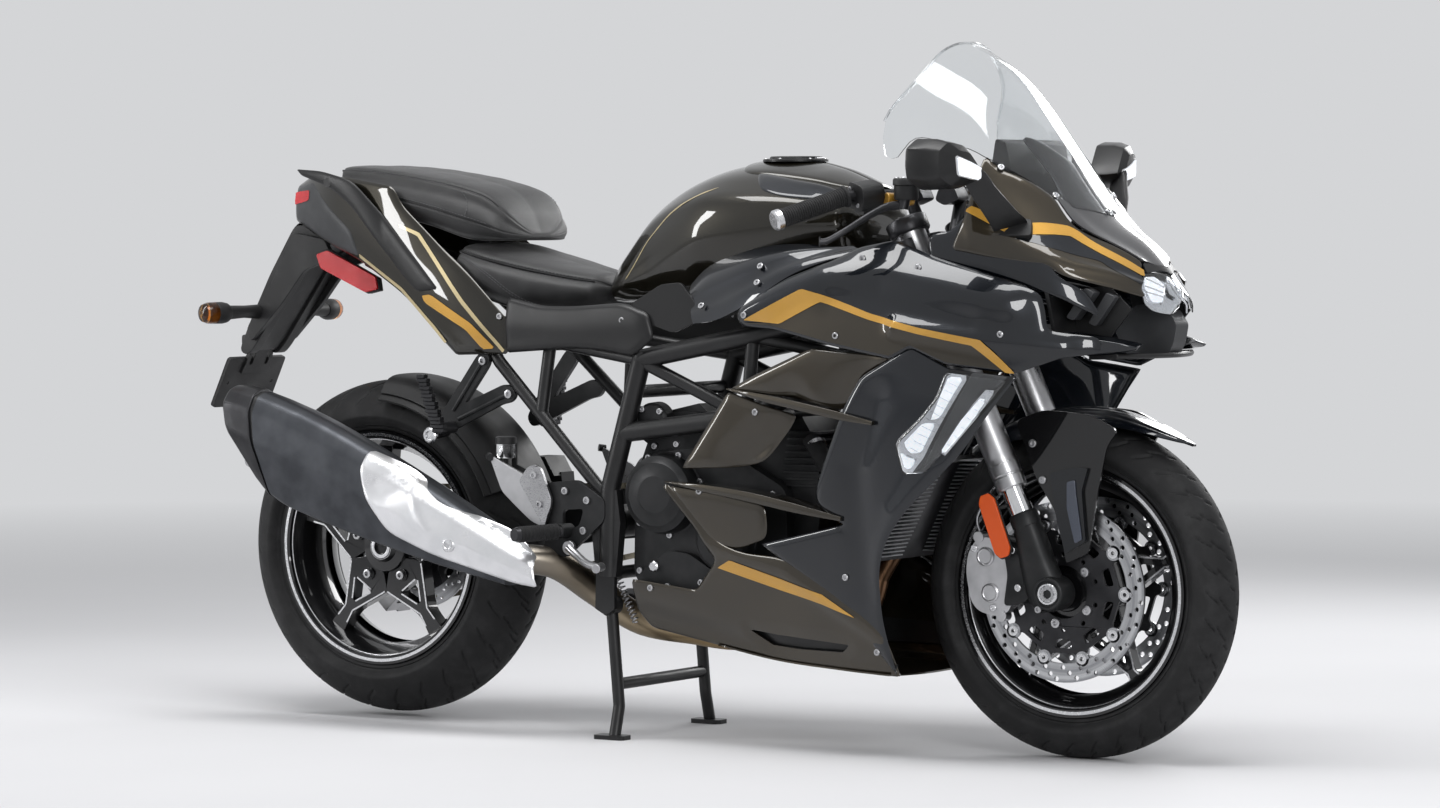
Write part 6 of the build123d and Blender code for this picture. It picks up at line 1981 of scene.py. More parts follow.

# Fender over the tyre, its skirts and the vane on each skirt; each vane carries a lighter facet, a painted
# highlight that stands in for the light it reflects.
FENDER = [(50, 340, 6, 2), (54, 334, 26, 5), (60, 328, 46, 9), (68, 324, 60, 14), (78, 322, 76, 22),
          (88, 321, 88, 34), (98, 320, 92, 44), (108, 319, 90, 42), (118, 318, 80, 30),
          (128, 317, 68, 20)]


def fender_ring(angle):
    """Section of the fender at an angle round the axle, with a rib on each shoulder."""
    angles = [row[0] for row in FENDER]
    radius, half, fall = (glide(angles, [row[k] for row in FENDER], angle) for k in (1, 2, 3))
    ring = []
    for t in [k / 12 - 1 for k in range(25)]:
        rib = 3.5 * max(0.0, 1 - abs(abs(t) - 0.62) / 0.1)
        away = radius - (fall * (0.25 * t * t + 0.75 * t ** 6) + rib) + 3.5
        ring.append((FRONT_X + away * cos(radians(angle)), half * t,
                     FRONT_Z + away * sin(radians(angle))))
    return ring


top = loft([fender_ring(50 + 78 * step / 48) for step in range(49)], closed=False)
thicken(keep("front_fender_top", "steering", NAVY, *top, stands_for=("front_fender",), crease=50), 3)
SKIRT = [(-86, 300), (-30, 322), (60, 316), (118, 288), (96, 262), (76, 170), (60, 72), (16, 52),
         (-3, 140), (-44, 200), (-66, 258)]
VANE = [(-14, 209), (34, 222), (62, 221), (50, 181), (58, 93), (18, 70), (2, 123)]
# Facet on each vane, coloured lighter than the vane as a painted highlight.
FACET = [(22, 196), (38, 200), (40, 176), (52, 96), (38, 88), (22, 150)]
for name, finish, outline, radius, steps, y_from, y_to, edge in (
        ("skirts", WHEEL_PAINT, SKIRT, [14, 20, 20, 14, 14, 20, 8, 6, 20, 14, 10], 4, -94, -88, 2),
        ("vanes", NAVY, VANE, 4, 3, -101, -93, 2.5),
        ("painted_highlight_facets", VANE_PAINTED_HIGHLIGHT, FACET, 3, 2, -104, -100, 2.5)):
    piece(f"front_fender_{name}", finish,
          block(rounded(from_axle(outline), radius, steps), y_from, y_to), body="steering",
          mirrored=True, edge=edge)
bolts("front_fender_bolts", "steering",
      on_sides([(FRONT_X + x, FRONT_Z + z, 94) for x, z in ((-30, 198), (8, 110), (-50, 262))]),
      7, 4)

# ---------------------------------------------------------------- radiator and headers


def radiator():
    """Stack of fins on both sides of a slanting core, between two end tanks."""
    fins = []
    for t in [(step + 0.5) / 24 for step in range(24)]:
        x, z = 418 + 92 * t, 350 + 172 * t
        for side in (1, -1):
            outline = [(x - 6, side * 60), (x + 34, side * 60), (x + 34, side * 172),
                       (x - 6, side * 172)]
            fins.append(slab(outline, [], plan_view, z - 1.1, z + 1.1))
    piece("radiator_fins", FIN_ALLOY, *fins)
    piece("radiator_core", DARK_ALLOY, block([(505, 516), (422, 342), (404, 350), (486, 526)],
                                             -166, 166), stands_for=("radiator",))
    tank = [(500, 532), (416, 342), (386, 350), (470, 540)]
    piece("radiator_tanks", BLACK_PLASTIC, *[block(tank, y, y + 8) for y in (-176, 168)], edge=4,
          segments=3)


def headers():
    """Four pipes that run down and back into the collector, which swings to the right."""
    pipes = [tube(curve_through([(x, y, z), (x + 24, y * 1.1, z - 42), (343, y, 300),
                                 (322, y * 0.9, 238), (280, y * 0.9, 205), (150, y * 0.85, 195)],
                                7), 19.5, 20)
             for y in (45, -45) for x, z in ((318, 424), (350, 404))]
    piece("header_pipes", HEADER, *pipes, stands_for=("exhaust_headers",), crease=0)
    collector = curve_through([(190, 0, 195), (100, -10, 195), (20, -22, 195), (-105, -50, 210),
                               (-183, -90, 264), (-225, -172, 320), (-286, -233, 330)], 7)
    swell = [34 if x > 60 else 28 + 6 * max(0.0, min(1.0, (x + 20) / 80)) for x, _, _ in collector]
    piece("collector_pipe", HEADER, tube(collector, swell, 24), crease=0)
    flange = [(20, -6), (27, -6), (27, 6), (20, 6)]
    piece("header_flanges", STEEL,
          *[turned(flange, (318, y, 424), (0.5, 0, 0.86), 24) for y in (45, -45)])


radiator()
headers()


# ---------------------------------------------------------------- silencer
CAN_X, CAN_Y, CAN_Z = -600.0, -234.0, 446.0  # middle of the silencer's straight part
CAN_AXIS, CAN_UP = (-0.936, 0.352), (0.352, 0.936)
CAN_S = (-361, -213, 0, 235, 279)
CAN_WIDTH, CAN_HEIGHT = (84, 104, 112, 116, 112), (80, 126, 172, 196, 190)
CAN_SIDE = [(-0.5, 0.10), (-0.46, 0.33), (0.02, 0.5), (0.30, 0.46), (0.45, 0.30), (0.5, 0.12)]


def stepped(pairs, at):
    """Straight pieces through (place, value) pairs."""
    for (a, p), (b, q) in zip(pairs, pairs[1:]):
        if at <= b:
            return p + (q - p) * max(0.0, (at - a) / (b - a))
    return pairs[-1][1]


def can_outside(x, z, lift):
    """Outer side of the silencer under a side-view place."""
    s = CAN_AXIS[0] * (x - CAN_X) + CAN_AXIS[1] * (z - CAN_Z)
    b = CAN_UP[0] * (x - CAN_X) + CAN_UP[1] * (z - CAN_Z)
    half = glide(CAN_S, CAN_WIDTH, s) * stepped(CAN_SIDE, b / glide(CAN_S, CAN_HEIGHT, s))
    return x, CAN_Y - half - lift, z


def can_ring(s, grow=0.0, lean=0.0, shrink=1.0, bulge=0.0):
    """Section of the silencer at s along its axis; lean tips its top to the rear.

    The middle of its sides reaches back by bulge.
    """
    width, height = glide(CAN_S, CAN_WIDTH, s), glide(CAN_S, CAN_HEIGHT, s)
    height = (height / cos(lean) ** 0.3 + 2 * grow) * shrink
    width = (width + 2 * grow) * shrink
    up = (CAN_UP[0] * cos(lean) + CAN_AXIS[0] * sin(lean),
          CAN_UP[1] * cos(lean) + CAN_AXIS[1] * sin(lean))
    outline = [(a, b) for b, a in CAN_SIDE] + [(-0.9 * a, b) for b, a in reversed(CAN_SIDE)]
    ring = []
    for a, b in rounded(outline, 0.055, 3):
        back = s + bulge * (1 - 4 * b * b)
        ring.append((CAN_X + back * CAN_AXIS[0] + b * height * up[0], CAN_Y - a * width,
                     CAN_Z + back * CAN_AXIS[1] + b * height * up[1]))
    return ring


LEAN_BACK, LEAN_FROM = radians(43), 120  # tilt of the can's end, and where it sets in
can = loft([can_ring(s, 0, LEAN_BACK * max(0.0, (s - LEAN_FROM) / 160), 1.0,
                     max(0.0, 0.1 * (s - LEAN_FROM)))
            for s in (-361, -320, -270, -213, -140, -70, 0, 60, 120, 160, 200, 232)])
piece("silencer_can", CAN_SKIN, can, stands_for=("muffler_can",), crease=18)
seam = loft([can_ring(s, -2, LEAN_BACK * (s - LEAN_FROM) / 160, 1.0, 12) for s in (224, 244)])
piece("silencer_seam", SATIN_BLACK, seam, crease=18)
cap = [can_ring(238, 2.2, LEAN_BACK * 0.74, 1.0, 12), can_ring(258, 2.4, LEAN_BACK * 0.88, 1.0, 22),
       can_ring(276, 0.8, LEAN_BACK, 1.0, 32), can_ring(281, -3, LEAN_BACK, 1.0, 34),
       can_ring(281, 0, LEAN_BACK, 0.84, 32), can_ring(262, 0, LEAN_BACK, 0.76, 24)]
piece("silencer_end_cap", DARK_ALLOY, loft(cap), edge=1, stands_for=("muffler_end_cap",),
      crease=25)
tip = Vector((CAN_X + 280 * CAN_AXIS[0], CAN_Y - 4, CAN_Z + 280 * CAN_AXIS[1]))
rear, above = Vector((CAN_AXIS[0], 0, CAN_AXIS[1])), Vector((CAN_UP[0], 0, CAN_UP[1]))
outlet = [(22, -6), (27, -6), (27, 8), (25, 10), (22, 8)]
piece("silencer_outlets", STEEL,
      *[turned(outlet, tip + up * above + back * rear, rear, 36, closed=True)
        for up, back in ((38, 4), (-34, -16))], crease=30)


def shield_relief(x, z):
    """Pressed dish behind the front edge, and the fold that runs down the shield."""
    dish = max(0.0, 1 - abs(x + 520) / 62) * max(0.0, 1 - abs(z - 462) / 40)
    return -4.2 * min(1.0, 2.2 * dish) + 2.0 * max(0.0, 1 - to_line(
        x, z, [(-470, 500), (-455, 420), (-420, 360), (-396, 330)]) / 9)


SHIELD = [(-576, 526), (-584, 490), (-570, 436), (-524, 374), (-430, 336), (-250, 288),
          (-196, 282), (-206, 330), (-240, 366), (-272, 388), (-356, 414), (-412, 432),
          (-444, 456), (-462, 480), (-500, 498)]
shape = skin(rounded(SHIELD, [8, 30, 30, 20, 30, 20, 8, 14, 14, 14, 30, 20, 14, 16, 10], 3),
             lambda x, z, lift: can_outside(x, z, lift + 6.5 + shield_relief(x, z)), 11, 9, 4)
thicken(piece("silencer_heat_shield", SHIELD_STEEL, shape, stands_for=("muffler_heat_shield",),
              crease=50), 2.5)
piece("silencer_shield_bolt", BRIGHT_ALLOY,
      turned([(14, -3), (14, 2), (12, 4), (8.5, 4.4), (7, 2), (0.1, 2)],
             can_outside(-382, 356, 5), RIGHT, 30))

# ---------------------------------------------------------------- footrests and hangers
GUARD = [(-357, 520), (-338, 511), (-276, 482), (-256, 452), (-230, 386), (-262, 398), (-300, 428),
         (-328, 452), (-352, 508)]
GUARD_PLATE = [(-286, 472), (-268, 498), (-250, 504), (-238, 498), (-214, 440), (-216, 424),
               (-231, 388)]
BRACKET = [(-232, 470), (-163, 477), (-104, 442), (-104, 404), (-150, 366), (-190, 332),
           (-240, 350), (-228, 390), (-236, 430)]
BRACKET_WINDOW = [(-196, 420), (-150, 424), (-160, 392), (-196, 380)]
piece("heel_guards", SILVER_ALLOY,
      block(rounded(GUARD, [4, 6, 10, 8, 3, 10, 14, 10, 8], 3), 186, 192), mirrored=True, edge=1.6,
      stands_for=("rider_footrests",))
piece("heel_guard_plates", STEEL,
      block(rounded(GUARD_PLATE, [6, 8, 8, 8, 8, 8, 3], 3), 190, 197), mirrored=True, edge=1.6)
piece("footrest_brackets", ENGINE_ALLOY,
      block(rounded(BRACKET, 10, 3), 176, 186, [rounded(BRACKET_WINDOW, 8, 3)]),
      tube([(-186, 176, 382), (-192, 206, 382)], 14, 20),
      tube([(-360, 186, 516), (-350, 196, 514)], 7, 14), mirrored=True, edge=2)
bolts("footrest_bolts", "chassis",
      on_sides([(-252, 484, 197), (-240, 430, 197), (-190, 456, 186), (-142, 440, 186),
                (-150, 384, 186)]), 7, 4.5)


def ribbed_bar(start, end, radius, rib=5.0, depth=1.8, sides=20):
    """Round rubber bar with raised rings from start to end."""
    start, end = Vector(start), Vector(end)
    length = (end - start).length
    profile, along = [(0.1, 0.0), (radius - 2, 0.0)], 0.5
    while along < length - rib:
        profile += [(radius - depth, along), (radius, along + 0.25 * rib),
                    (radius, along + 0.6 * rib), (radius - depth, along + 0.8 * rib)]
        along += rib
    profile += [(radius - 1, length - 2), (radius - 3, length), (0.1, length)]
    return turned(profile, start, end - start, sides)


def rider_controls():
    """Footrest rubbers, brake pedal, gear lever and the rear brake's reservoir."""
    piece("rider_footrest_rubbers", GRIP_RUBBER, ribbed_bar((-194, 208, 382), (-225, 292, 380), 15, 8),
          mirrored=True, crease=35)
    piece("rider_footrest_ends", DARK_ALLOY,
          tube([(-225, 290, 380), (-228, 299, 380)], [14.5, 12], 20),
          tube([(-187, 200, 382), (-195, 212, 382)], 11, 16), mirrored=True, edge=1)
    path = curve_through([(-176, -196, 352), (-150, -206, 338), (-118, -222, 326),
                          (-84, -236, 322)], 6)
    piece("rear_brake_pedal", SILVER_ALLOY, tube(path, [9 - 0.14 * k for k in range(len(path))], 12),
          tube([(-86, -224, 322), (-80, -252, 320)], 8.5, 14),
          turned([(0.1, 0), (13, 0), (13, 8), (0.1, 8)], (-176, -190, 352), RIGHT, 20), edge=0.8)
    piece("gear_lever", SILVER_ALLOY,
          tube([(-176, 194, 352), (-120, 208, 340), (-84, 222, 334)], [8, 7, 6.5], 12),
          ribbed_bar((-86, 216, 334), (-82, 250, 333), 8, 4, 1),
          tube([(-168, 186, 356), (-40, 178, 372), (10, 172, 378)], 4, 10))
    foot = (-340, -160, 512)
    pot = [(0.1, 0), (16, 0), (18, 3), (18, 26), (0.1, 26)]
    piece("rear_brake_reservoir", LAMP_LENS, turned(pot, foot, UP, 28), crease=40)
    lid = [(0.1, 26), (20, 26), (20, 38), (17, 40), (0.1, 40)]
    piece("rear_reservoir_lid", BLACK_PLASTIC, turned(lid, foot, UP, 18))
    stay = [(-332, 540), (-322, 540), (-322, 500), (-250, 470), (-250, 460), (-332, 496)]
    piece("rear_reservoir_stay", BLACK_PLASTIC, block(stay, -152, -148),
          tube([foot, (-338, -166, 492), (-310, -168, 470)], 5, 10))


rider_controls()


def passenger_footrests():
    """Three-cornered hangers with stiffening ribs, and pegs with raised bars."""
    outline = [(-408, 702), (-393, 711), (-379, 700), (-382, 684), (-436, 612), (-345, 650),
               (-326, 643), (-321, 628), (-332, 615), (-352, 612), (-450, 566), (-486, 554),
               (-498, 572), (-482, 602)]
    face = 155
    piece("passenger_hangers", ENGINE_ALLOY,
          block(rounded(outline, [4 if corner == (-436, 612) else 10 for corner in outline], 3),
                face - 11, face), mirrored=True, edge=2.5, stands_for=("passenger_footrests",))
    piece("passenger_hanger_ribs", ENGINE_ALLOY,
          *[tube([(x0, face, z0), (x1, face, z1)], 4, 8)
            for x0, z0, x1, z1 in ((-396, 690, -462, 598), (-340, 630, -450, 582))], mirrored=True)
    foot, top = Vector((-468, 192, 562)), Vector((-476, 236, 664))
    bars = []
    for t in [k / 14 for k in range(15)]:
        spot, wide = foot + t * (top - foot), 13 - 4 * t + (1.8 if len(bars) % 2 else -0.6)
        bars.append(brick((spot.x - wide, spot.y - 7, spot.z - 3.6),
                          (spot.x + wide, spot.y + 7, spot.z + 3.6)))
    piece("passenger_footrest_bars", DARK_ALLOY, tube([(-464, 150, 566), (-466, 196, 566)], 11, 16),
          *bars, mirrored=True, edge=1)
    bolts("passenger_hanger_bolts", "chassis", on_sides([(-394, 692, face), (-336, 631, face)]),
          8, 5)


passenger_footrests()
MOUNT = (-492, -184, 552)
piece("silencer_mount_bolt", BRIGHT_ALLOY,
      turned([(15, 0), (15, 6), (12, 9), (8, 9), (7, 6), (0.1, 6)], MOUNT, RIGHT, 30))
piece("silencer_mount_tube", DARK_ALLOY, tube([(-482, -148, 560), MOUNT], 11, 18))

# ---------------------------------------------------------------- engine covers
CASE = [(-64, 300), (-60, 480), (-22, 528), (60, 540), (150, 530), (262, 470), (266, 330),
        (180, 262), (-20, 262)]
SUMP_SIDE = [(-52, 300), (20, 352), (64, 348), (120, 316), (150, 286), (120, 270), (-20, 272)]
GEAR_SIDE = [(-70, 560), (-10, 520), (90, 528), (120, 580), (60, 606), (-40, 600)]
piece("engine_side_cases", ENGINE_ALLOY, block(rounded(CASE, 18, 4), 120, 148),
      block(rounded(SUMP_SIDE, 12, 3), 146, 164), block(rounded(GEAR_SIDE, 14, 3), 112, 128),
      mirrored=True, edge=4, segments=3, stands_for=("engine_covers",))
CLUTCH, GENERATOR, WATER_PUMP = (8, 455), (140, 375), (-22, 588)
ROUND_COVERS = (
    (CLUTCH, 56, [(0.1, 192), (34, 192), (40, 189), (58, 188), (62, 184), (70, 180), (72, 172),
                  (74, 150), (80, 146), (80, 140)]),
    (GENERATOR, 48, [(0.1, 178), (30, 178), (34, 174), (50, 174), (56, 170), (58, 150), (62, 146)]),
    (WATER_PUMP, 40, [(0.1, 156), (28, 156), (31, 153), (33, 150), (34, 126)]))
piece("engine_round_covers", ENGINE_ALLOY,
      *[turned(profile, (x, 0, z), LEFT, steps) for (x, z), steps, profile in ROUND_COVERS],
      mirrored=True, crease=26)
places = []
for (x, z), y, radius, count, first in ((CLUTCH, 148, 76, 7, 18), (WATER_PUMP, 156, 27, 4, 40)):
    angles = [radians(360 * k / count + first) for k in range(count)]
    places += [(x + radius * cos(a), z + radius * sin(a), y) for a in angles]
places += [(-50, 312, 148), (20, 286, 164), (92, 296, 164), (130, 288, 164), (-30, 540, 128),
           (30, 546, 148), (92, 550, 128), (230, 330, 148), (236, 460, 148), (-50, 400, 148)]
bolts("engine_bolts", "chassis", on_sides(places), 6, 5)
piece("engine_oil_plug", BRIGHT_ALLOY,
      turned([(0.1, 164), (10, 164), (10, 170), (8, 172), (0.1, 172)], (-8, 0, 322), RIGHT, 8))
fins = []
for k in range(9):
    outline = [(236 + 2 * k, -128), (318 + k, -128), (318 + k, 128), (236 + 2 * k, 128)]
    fins.append(slab(rounded(outline, 8, 2), [], plan_view, 474 + 12 * k, 478 + 12 * k))
piece("engine_cylinder_fins", ENGINE_ALLOY, *fins)
piece("coolant_hoses", GRIP_RUBBER,
      *[tube(curve_through([(300, side * 120, 560), (340, side * 140, 520), (390, side * 150, 470),
                            (420, side * 150, 430)], 6), 17, 16) for side in (1, -1)])
clip = [(17, -4), (19, -4), (19, 4), (17, 4)]
piece("coolant_hose_clips", STEEL,
      *[turned(clip, at, way, 24) for side in (1, -1)
        for at, way in (((312, side * 124, 549), (0.6, side * 0.3, -0.7)),
                        ((410, side * 150, 444), (0.6, 0, -0.75)))])

# ---------------------------------------------------------------- drive chain
CHAIN_Y, PITCH = 113.0, 15.9
GEARBOX, REAR_RUN, FRONT_RUN = (-20.0, 410.0), 109, 47  # front sprocket, radii of both wraps


def arc_round(middle, radius, first, last, steps):
    """Points on a circle round a side-view place, between two angles."""
    return [(middle[0] + radius * cos(first + (last - first) * k / steps),
             middle[1] + radius * sin(first + (last - first) * k / steps))
            for k in range(steps + 1)]


def chain_line():
    """Line through the pins: round the rear sprocket, along, and round the front one."""
    run, rise = GEARBOX[0] - REAR_AXLE[0], GEARBOX[1] - REAR_AXLE[1]
    tilt = atan2(rise, run)
    taper = pi / 2 + atan2(REAR_RUN - FRONT_RUN, hypot(run, rise))
    line = arc_round(REAR_AXLE, REAR_RUN, tilt + taper, tilt + 2 * pi - taper, 30)
    return line + arc_round(GEARBOX, FRONT_RUN, tilt - taper, tilt + taper, 20)


def link_outline(start, end):
    """Side plate of one link, round at both pins."""
    way = Vector((end[0] - start[0], end[1] - start[1])).normalized()
    ring = []
    for turn, (cx, cz) in ((1, end), (-1, start)):
        for step in range(7):
            a = -pi / 2 + pi * step / 6
            u, v = turn * 5.2 * cos(a), turn * 5.2 * sin(a)
            ring.append((cx + u * way.x - v * way.y, cz + u * way.y + v * way.x))
    return ring


def drive_chain():
    """Links whose plates sit nearer and further out in turn, with their rollers."""
    pins = evenly(chain_line(), PITCH, closed=True)
    plates, rollers = [], []
    for k, (start, end) in enumerate(zip(pins, pins[1:] + pins[:1])):
        outer = 6.6 if k % 2 else 4.8
        for side in (1, -1):
            faces = sorted((CHAIN_Y + side * outer, CHAIN_Y + side * (outer - 1.5)))
            plates.append(block(link_outline(start, end), *faces))
        x, z = start
        rollers.append(tube([(x, CHAIN_Y - 7, z), (x, CHAIN_Y + 7, z)], 3.6, 8))
    piece("drive_chain_plates", CHAIN_STEEL, *plates, stands_for=("drive_chain",))
    piece("drive_chain_rollers", CHAIN_STEEL, *rollers)


drive_chain()


# ---------------------------------------------------------------- handlebars and controls
GRIP_IN, GRIP_OUT = (438, -243, 996), (371, -341, 958.5)
SWITCH_WAY = (-0.35, -0.86, -0.1)
SWITCH_PLACE = on_plane((462, -206, 998), SWITCH_WAY, (0.3, 0, 1))
POT = (536, -190, 0)  # middle of each fluid reservoir, on the right


def handlebars():
    """Clip-on tubes with their clamps, rubber grips and turned end weights."""
    riser = steered(FORK_U, -57, 1013)
    bar = [(riser[0], -57, riser[2] - 6), (488, -100, 1008), (480, -150, 998), (443, -235, 998),
           (366, -348, 955)]
    foot = [(500, 1016), (470, 1012), (462, 990), (482, 980), (512, 992)]
    clamp = [(0.1, -14), (36, -14), (38, -11), (38, 11), (36, 14), (0.1, 14)]
    piece("handlebar_tubes", DARK_ALLOY, tube(bar, [12, 11.5, 11, 11, 10.5], 20),
          block(rounded(foot, 7, 3), -84, -44),
          turned(clamp, steered(FORK_U, -FORK_V, 1022), FORK_WAY, 36), body="steering",
          mirrored=True, stands_for=("handlebars",), crease=35)
    flange = [(12, 0), (20, 0), (20, 4), (17, 6)]
    piece("handlebar_grips", GRIP_RUBBER, ribbed_bar(GRIP_IN, GRIP_OUT, 17, 4.4, 1.5, 24),
          turned(flange, (441, -238, 997.5), (-0.56, -0.77, -0.31), 24), body="steering",
          mirrored=True, crease=30)
    weight = [(0.1, 0), (14, 0), (18.5, 3), (18.5, 13), (15, 17), (0.1, 17)]
    piece("handlebar_ends", BRIGHT_ALLOY, turned(weight, GRIP_OUT, (-0.54, -0.79, -0.28), 28),
          body="steering", mirrored=True, crease=30)


def switches():
    """Boxes beside the grips, and the buttons on their rear faces."""
    upper = [(-24, -22), (24, -22), (26, 10), (16, 24), (-20, 24)]
    lower = [(-12, -32), (14, -32), (16, -18), (-12, -18)]
    piece("switch_boxes", BLACK_PLASTIC, slab(rounded(upper, 8, 3), [], SWITCH_PLACE, -24, 24),
          slab(rounded(lower, 5, 2), [], SWITCH_PLACE, -14, 12), body="steering", mirrored=True,
          edge=3, segments=3)
    rear_face = on_plane((440, -200, 1002), (-0.9, 0.3, 0.2))
    piece("switch_buttons", GREY_PLASTIC,
          *[slab(rounded(oblong(wide, 5, (u, v)), 3, 2), [], rear_face, 0, 5)
            for u, v, wide in ((-12, 8, 8), (10, 8, 7), (-2, -12, 12))], body="steering",
          mirrored=True, edge=1.5)


def hand_levers():
    """Flat curved levers that thicken at their tips, on their pivots."""
    line = curve_through([(534, -198, 982), (516, -226, 978), (500, -262, 962), (478, -300, 938),
                          (456, -326, 920), (444, -336, 918)], 6)
    rings = []
    for k, point in enumerate(line):
        ahead = Vector(line[min(k + 1, len(line) - 1)]) - Vector(line[max(k - 1, 0)])
        aside = ahead.cross(Vector(UP)).normalized()
        t = k / (len(line) - 1)
        deep = 8 - 2.4 * t + (3 if t > 0.94 else 0)
        rings.append(rounded_ring(point, aside, 4.6, deep, UP, 12, 2.4))
    pivot = [(0.1, -9), (11, -9), (11, 9), (0.1, 9)]
    piece("hand_levers", DARK_ALLOY, turned(pivot, (534, -197, 984), (0.2, 0.1, 1), 18), loft(rings),
          body="steering", mirrored=True, stands_for=("control_levers",), crease=40)


def master_cylinders():
    """Fluid reservoirs with their lids, and the brass-coloured cylinders under them."""
    pot = [(0.1, 990), (20, 990), (22, 994), (22, 1016), (0.1, 1016)]
    lid = [(0.1, 1016), (24, 1016), (24, 1026), (22, 1029), (0.1, 1029)]
    piece("fluid_reservoirs", BLACK_PLASTIC, turned(pot, POT, UP, 30), turned(lid, POT, UP, 30),
          body="steering", mirrored=True, edge=1)
    piece("master_cylinders", GOLD,
          tube([(498, -196, 992), (512, -176, 990), (528, -152, 990)], [12, 13, 9], 20),
          tube([(534, -196, 984), (520, -172, 990)], 9, 16), body="steering", mirrored=True, edge=1)


def control_screws():
    """Small screws in the reservoirs' lids and the switch boxes."""
    spots = []
    for side in (1, -1):
        for a in (45, 135, 225, 315):
            spots.append(((POT[0] + 17 * cos(radians(a)), side * (-POT[1] + 17 * sin(radians(a))),
                           1028.5), UP))
        for u, v in ((-14, 12), (12, -12)):
            x, y, z = SWITCH_PLACE(u, v, 24)
            spots.append(((x, side * -y, z), (SWITCH_WAY[0], side * -SWITCH_WAY[1], SWITCH_WAY[2])))
    bolts("control_screws", "steering", spots, 4, 2.5)


handlebars()
switches()
hand_levers()
master_cylinders()
control_screws()

# ---------------------------------------------------------------- mirrors
HEAD_Y, HEAD_Z = 314, 1052  # middle of the left mirror
HEAD = [(248, 1036), (272, 1062), (300, 1090), (350, 1097), (378, 1079), (380, 1050), (376, 1026),
        (340, 1007), (290, 1009), (262, 1020)]


def mirror_plane(y):
    """The mirrors turn in towards the rider: how far ahead their glass is at y."""
    return 640 + 0.21 * (384 - y)


def mirror_ring(ahead, size, shift=0.0):
    """Outline of the right mirror, ahead of its glass and drawn in by size."""
    ring = []
    for y, z in rounded(HEAD, 6, 2):
        y = HEAD_Y + (y - HEAD_Y) * size + shift
        ring.append((mirror_plane(y) + ahead, -y, HEAD_Z + (z - HEAD_Z) * size))
    return ring


shell = loft([mirror_ring(2, 0.93), mirror_ring(0, 0.98), mirror_ring(4, 1.0),
              mirror_ring(36, 0.98, -1), mirror_ring(56, 0.84, -3), mirror_ring(68, 0.52, -6),
              mirror_ring(71, 0.1, -8)])
piece("mirror_shells", SATIN_BLACK, shell, mirrored=True, stands_for=("mirrors",), crease=24)


def glass_place(y, z, height):
    """Puts the mirror's outline on its glass, a little inside the shell's edge."""
    y = HEAD_Y + 0.92 * (y - HEAD_Y)
    return mirror_plane(y) + height - 1, -y, HEAD_Z + 0.92 * (z - HEAD_Z)


piece("mirror_glasses", MIRROR_GLASS, slab(rounded(HEAD, 8, 3), [], glass_place, 0, 2),
      mirrored=True)


def mirror_face(y, z, lift):
    """Front face of the mirror shell."""
    away = max(abs(y - 308) / 66, abs(z - HEAD_Z) / 46)
    return mirror_plane(y) + stepped([(0, 71), (0.5, 68), (0.84, 56), (1.0, 36)], away) + lift, -y, z


STRIP = [(340, 1068), (262, 1044), (272, 1022), (336, 1032)]
frame_shape = skin(rounded(STRIP, 4, 2), lambda y, z, h: mirror_face(y, z, h + 1.0), 6)
lamp_shape = skin(rounded(shrunk(STRIP, 0.9), 3, 2), lambda y, z, h: mirror_face(y, z, h + 2.2), 6)
thicken(piece("mirror_signal_frames", CHROME, frame_shape, mirrored=True, crease=50), 1)
piece("mirror_signal_lamps", LED, lamp_shape, mirrored=True, crease=50)
ARM_RINGS = (((748, -196, 944), 30, 17), ((744, -212, 958), 27, 15), ((738, -232, 978), 25, 13),
             ((728, -250, 1000), 23, 12), ((720, -266, 1024), 22, 11), ((714, -276, 1040), 16, 10))
rings = [rounded_ring(middle, (0.86, 0.2, 0.47), wide, deep, (0.1, 0.83, -0.55), 16, 3.4)
         for middle, wide, deep in ARM_RINGS]
piece("mirror_arms", SATIN_BLACK, loft(rings), mirrored=True, crease=28)
foot = rounded([(-34, -16), (34, -16), (30, 20), (-26, 20)], 8, 3)
piece("mirror_feet", BLACK_PLASTIC,
      slab(foot, [], on_plane((752, -190, 938), (0.2, -0.78, 0.6)), -6, 6), mirrored=True, edge=2)

# ---------------------------------------------------------------- instruments


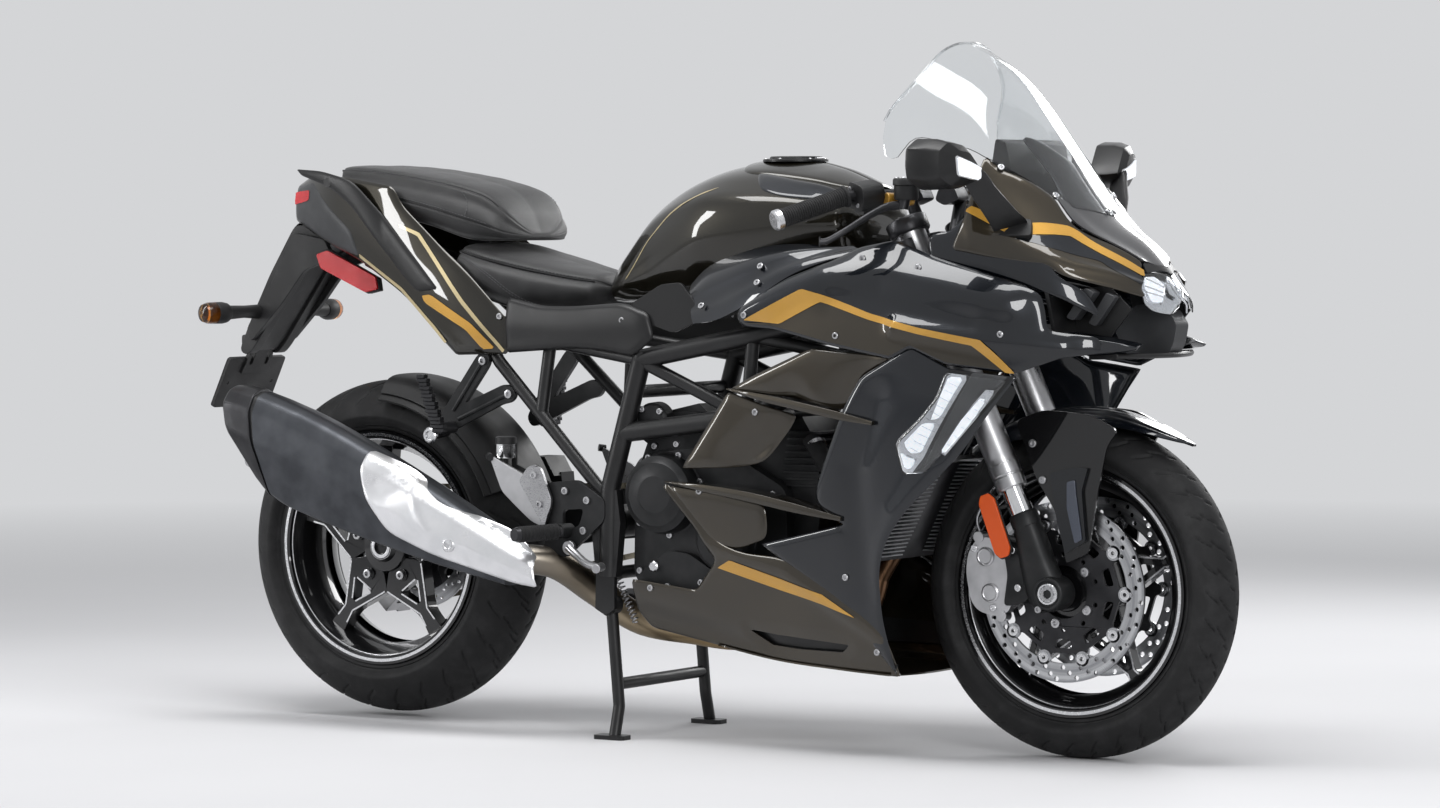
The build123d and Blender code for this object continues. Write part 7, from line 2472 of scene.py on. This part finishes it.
def instruments():
    """Housing with a glass face, a ringed dial with marks and a needle, and a blank screen."""
    housing = [(668, 1002), (702, 992), (704, 1040), (692, 1092), (672, 1098), (664, 1050)]
    piece("instrument_housing", BLACK_PLASTIC, block(rounded(housing, 6, 3), -112, 112), edge=5,
          segments=3, stands_for=("instrument_panel",))
    out, dial = (-1, 0, 0.08), -44
    face = on_plane((664, 0, 1050), out)
    glass = [(-100, -40), (100, -40), (96, 38), (-96, 38)]
    piece("instrument_glass", DARK_GLASS, slab(rounded(glass, 12, 4), [], face, -2, 3.5))
    piece("instrument_dial_ring", STEEL,
          turned([(34, 3), (37, 3), (37, 6), (34, 6)], face(dial, 0, 0), out, 48, closed=True))
    marks, half = [], 0.7
    for k in range(21):
        u, v = polar(1, radians(220 - 13 * k))
        inner, outer = 26 if k % 5 == 0 else 29, 32
        corners = ((inner, -half), (inner, half), (outer, half), (outer, -half))
        marks.append(slab([(dial + r * u + w * v, r * v - w * u) for r, w in corners], [], face,
                          3.4, 4.2))
    needle = [(-46, -4), (-42, -4), (-43.2, 30), (-44.8, 30)]
    piece("instrument_dial_marks", SILVER_ALLOY, *marks, slab(needle, [], face, 4.2, 5))
    screen = [(6, -28), (86, -28), (84, 28), (6, 28)]
    piece("instrument_screen", GREY_PLASTIC, slab(rounded(screen, 4, 3), [], face, 3.4, 4.2))


def rear_mudguard():
    """Thin shell over the rear tyre, from the swingarm up towards the tail."""
    rings = []
    for angle in [radians(22 + 64 * step / 24) for step in range(25)]:
        ring = []
        for t in [k / 8 - 1 for k in range(17)]:
            away = 333 - 30 * t ** 6 - 5 * t * t
            ring.append((REAR_AXLE[0] + away * cos(angle), 96 * t, REAR_AXLE[1] + away * sin(angle)))
        rings.append(ring)
    thicken(keep("rear_mudguard_shell", "chassis", BLACK_PLASTIC, *loft(rings, closed=False),
                 crease=50), 2.5)


def coil_spring(start, end):
    """Wire coiled round a straight line that lies in a side view."""
    turns, radius, wire = 12, 6.0, 1.5
    start, way, across = Vector(start), Vector(end) - Vector(start), Vector(LEFT)
    out = way.normalized().cross(across)
    steps, coil = 10 * turns, []
    for k in range(steps + 1):
        angle = 2 * pi * turns * k / steps
        coil.append(tuple(start + k / steps * way + radius * (cos(angle) * across
                                                              + sin(angle) * out)))
    return tube(coil, wire, 6)


instruments()
rear_mudguard()
piece("stand_springs", STEEL, coil_spring((-112, -132, 300), (-70, -132, 215)),
      coil_spring((-72, 205, 226), (40, 205, 232)), crease=0)
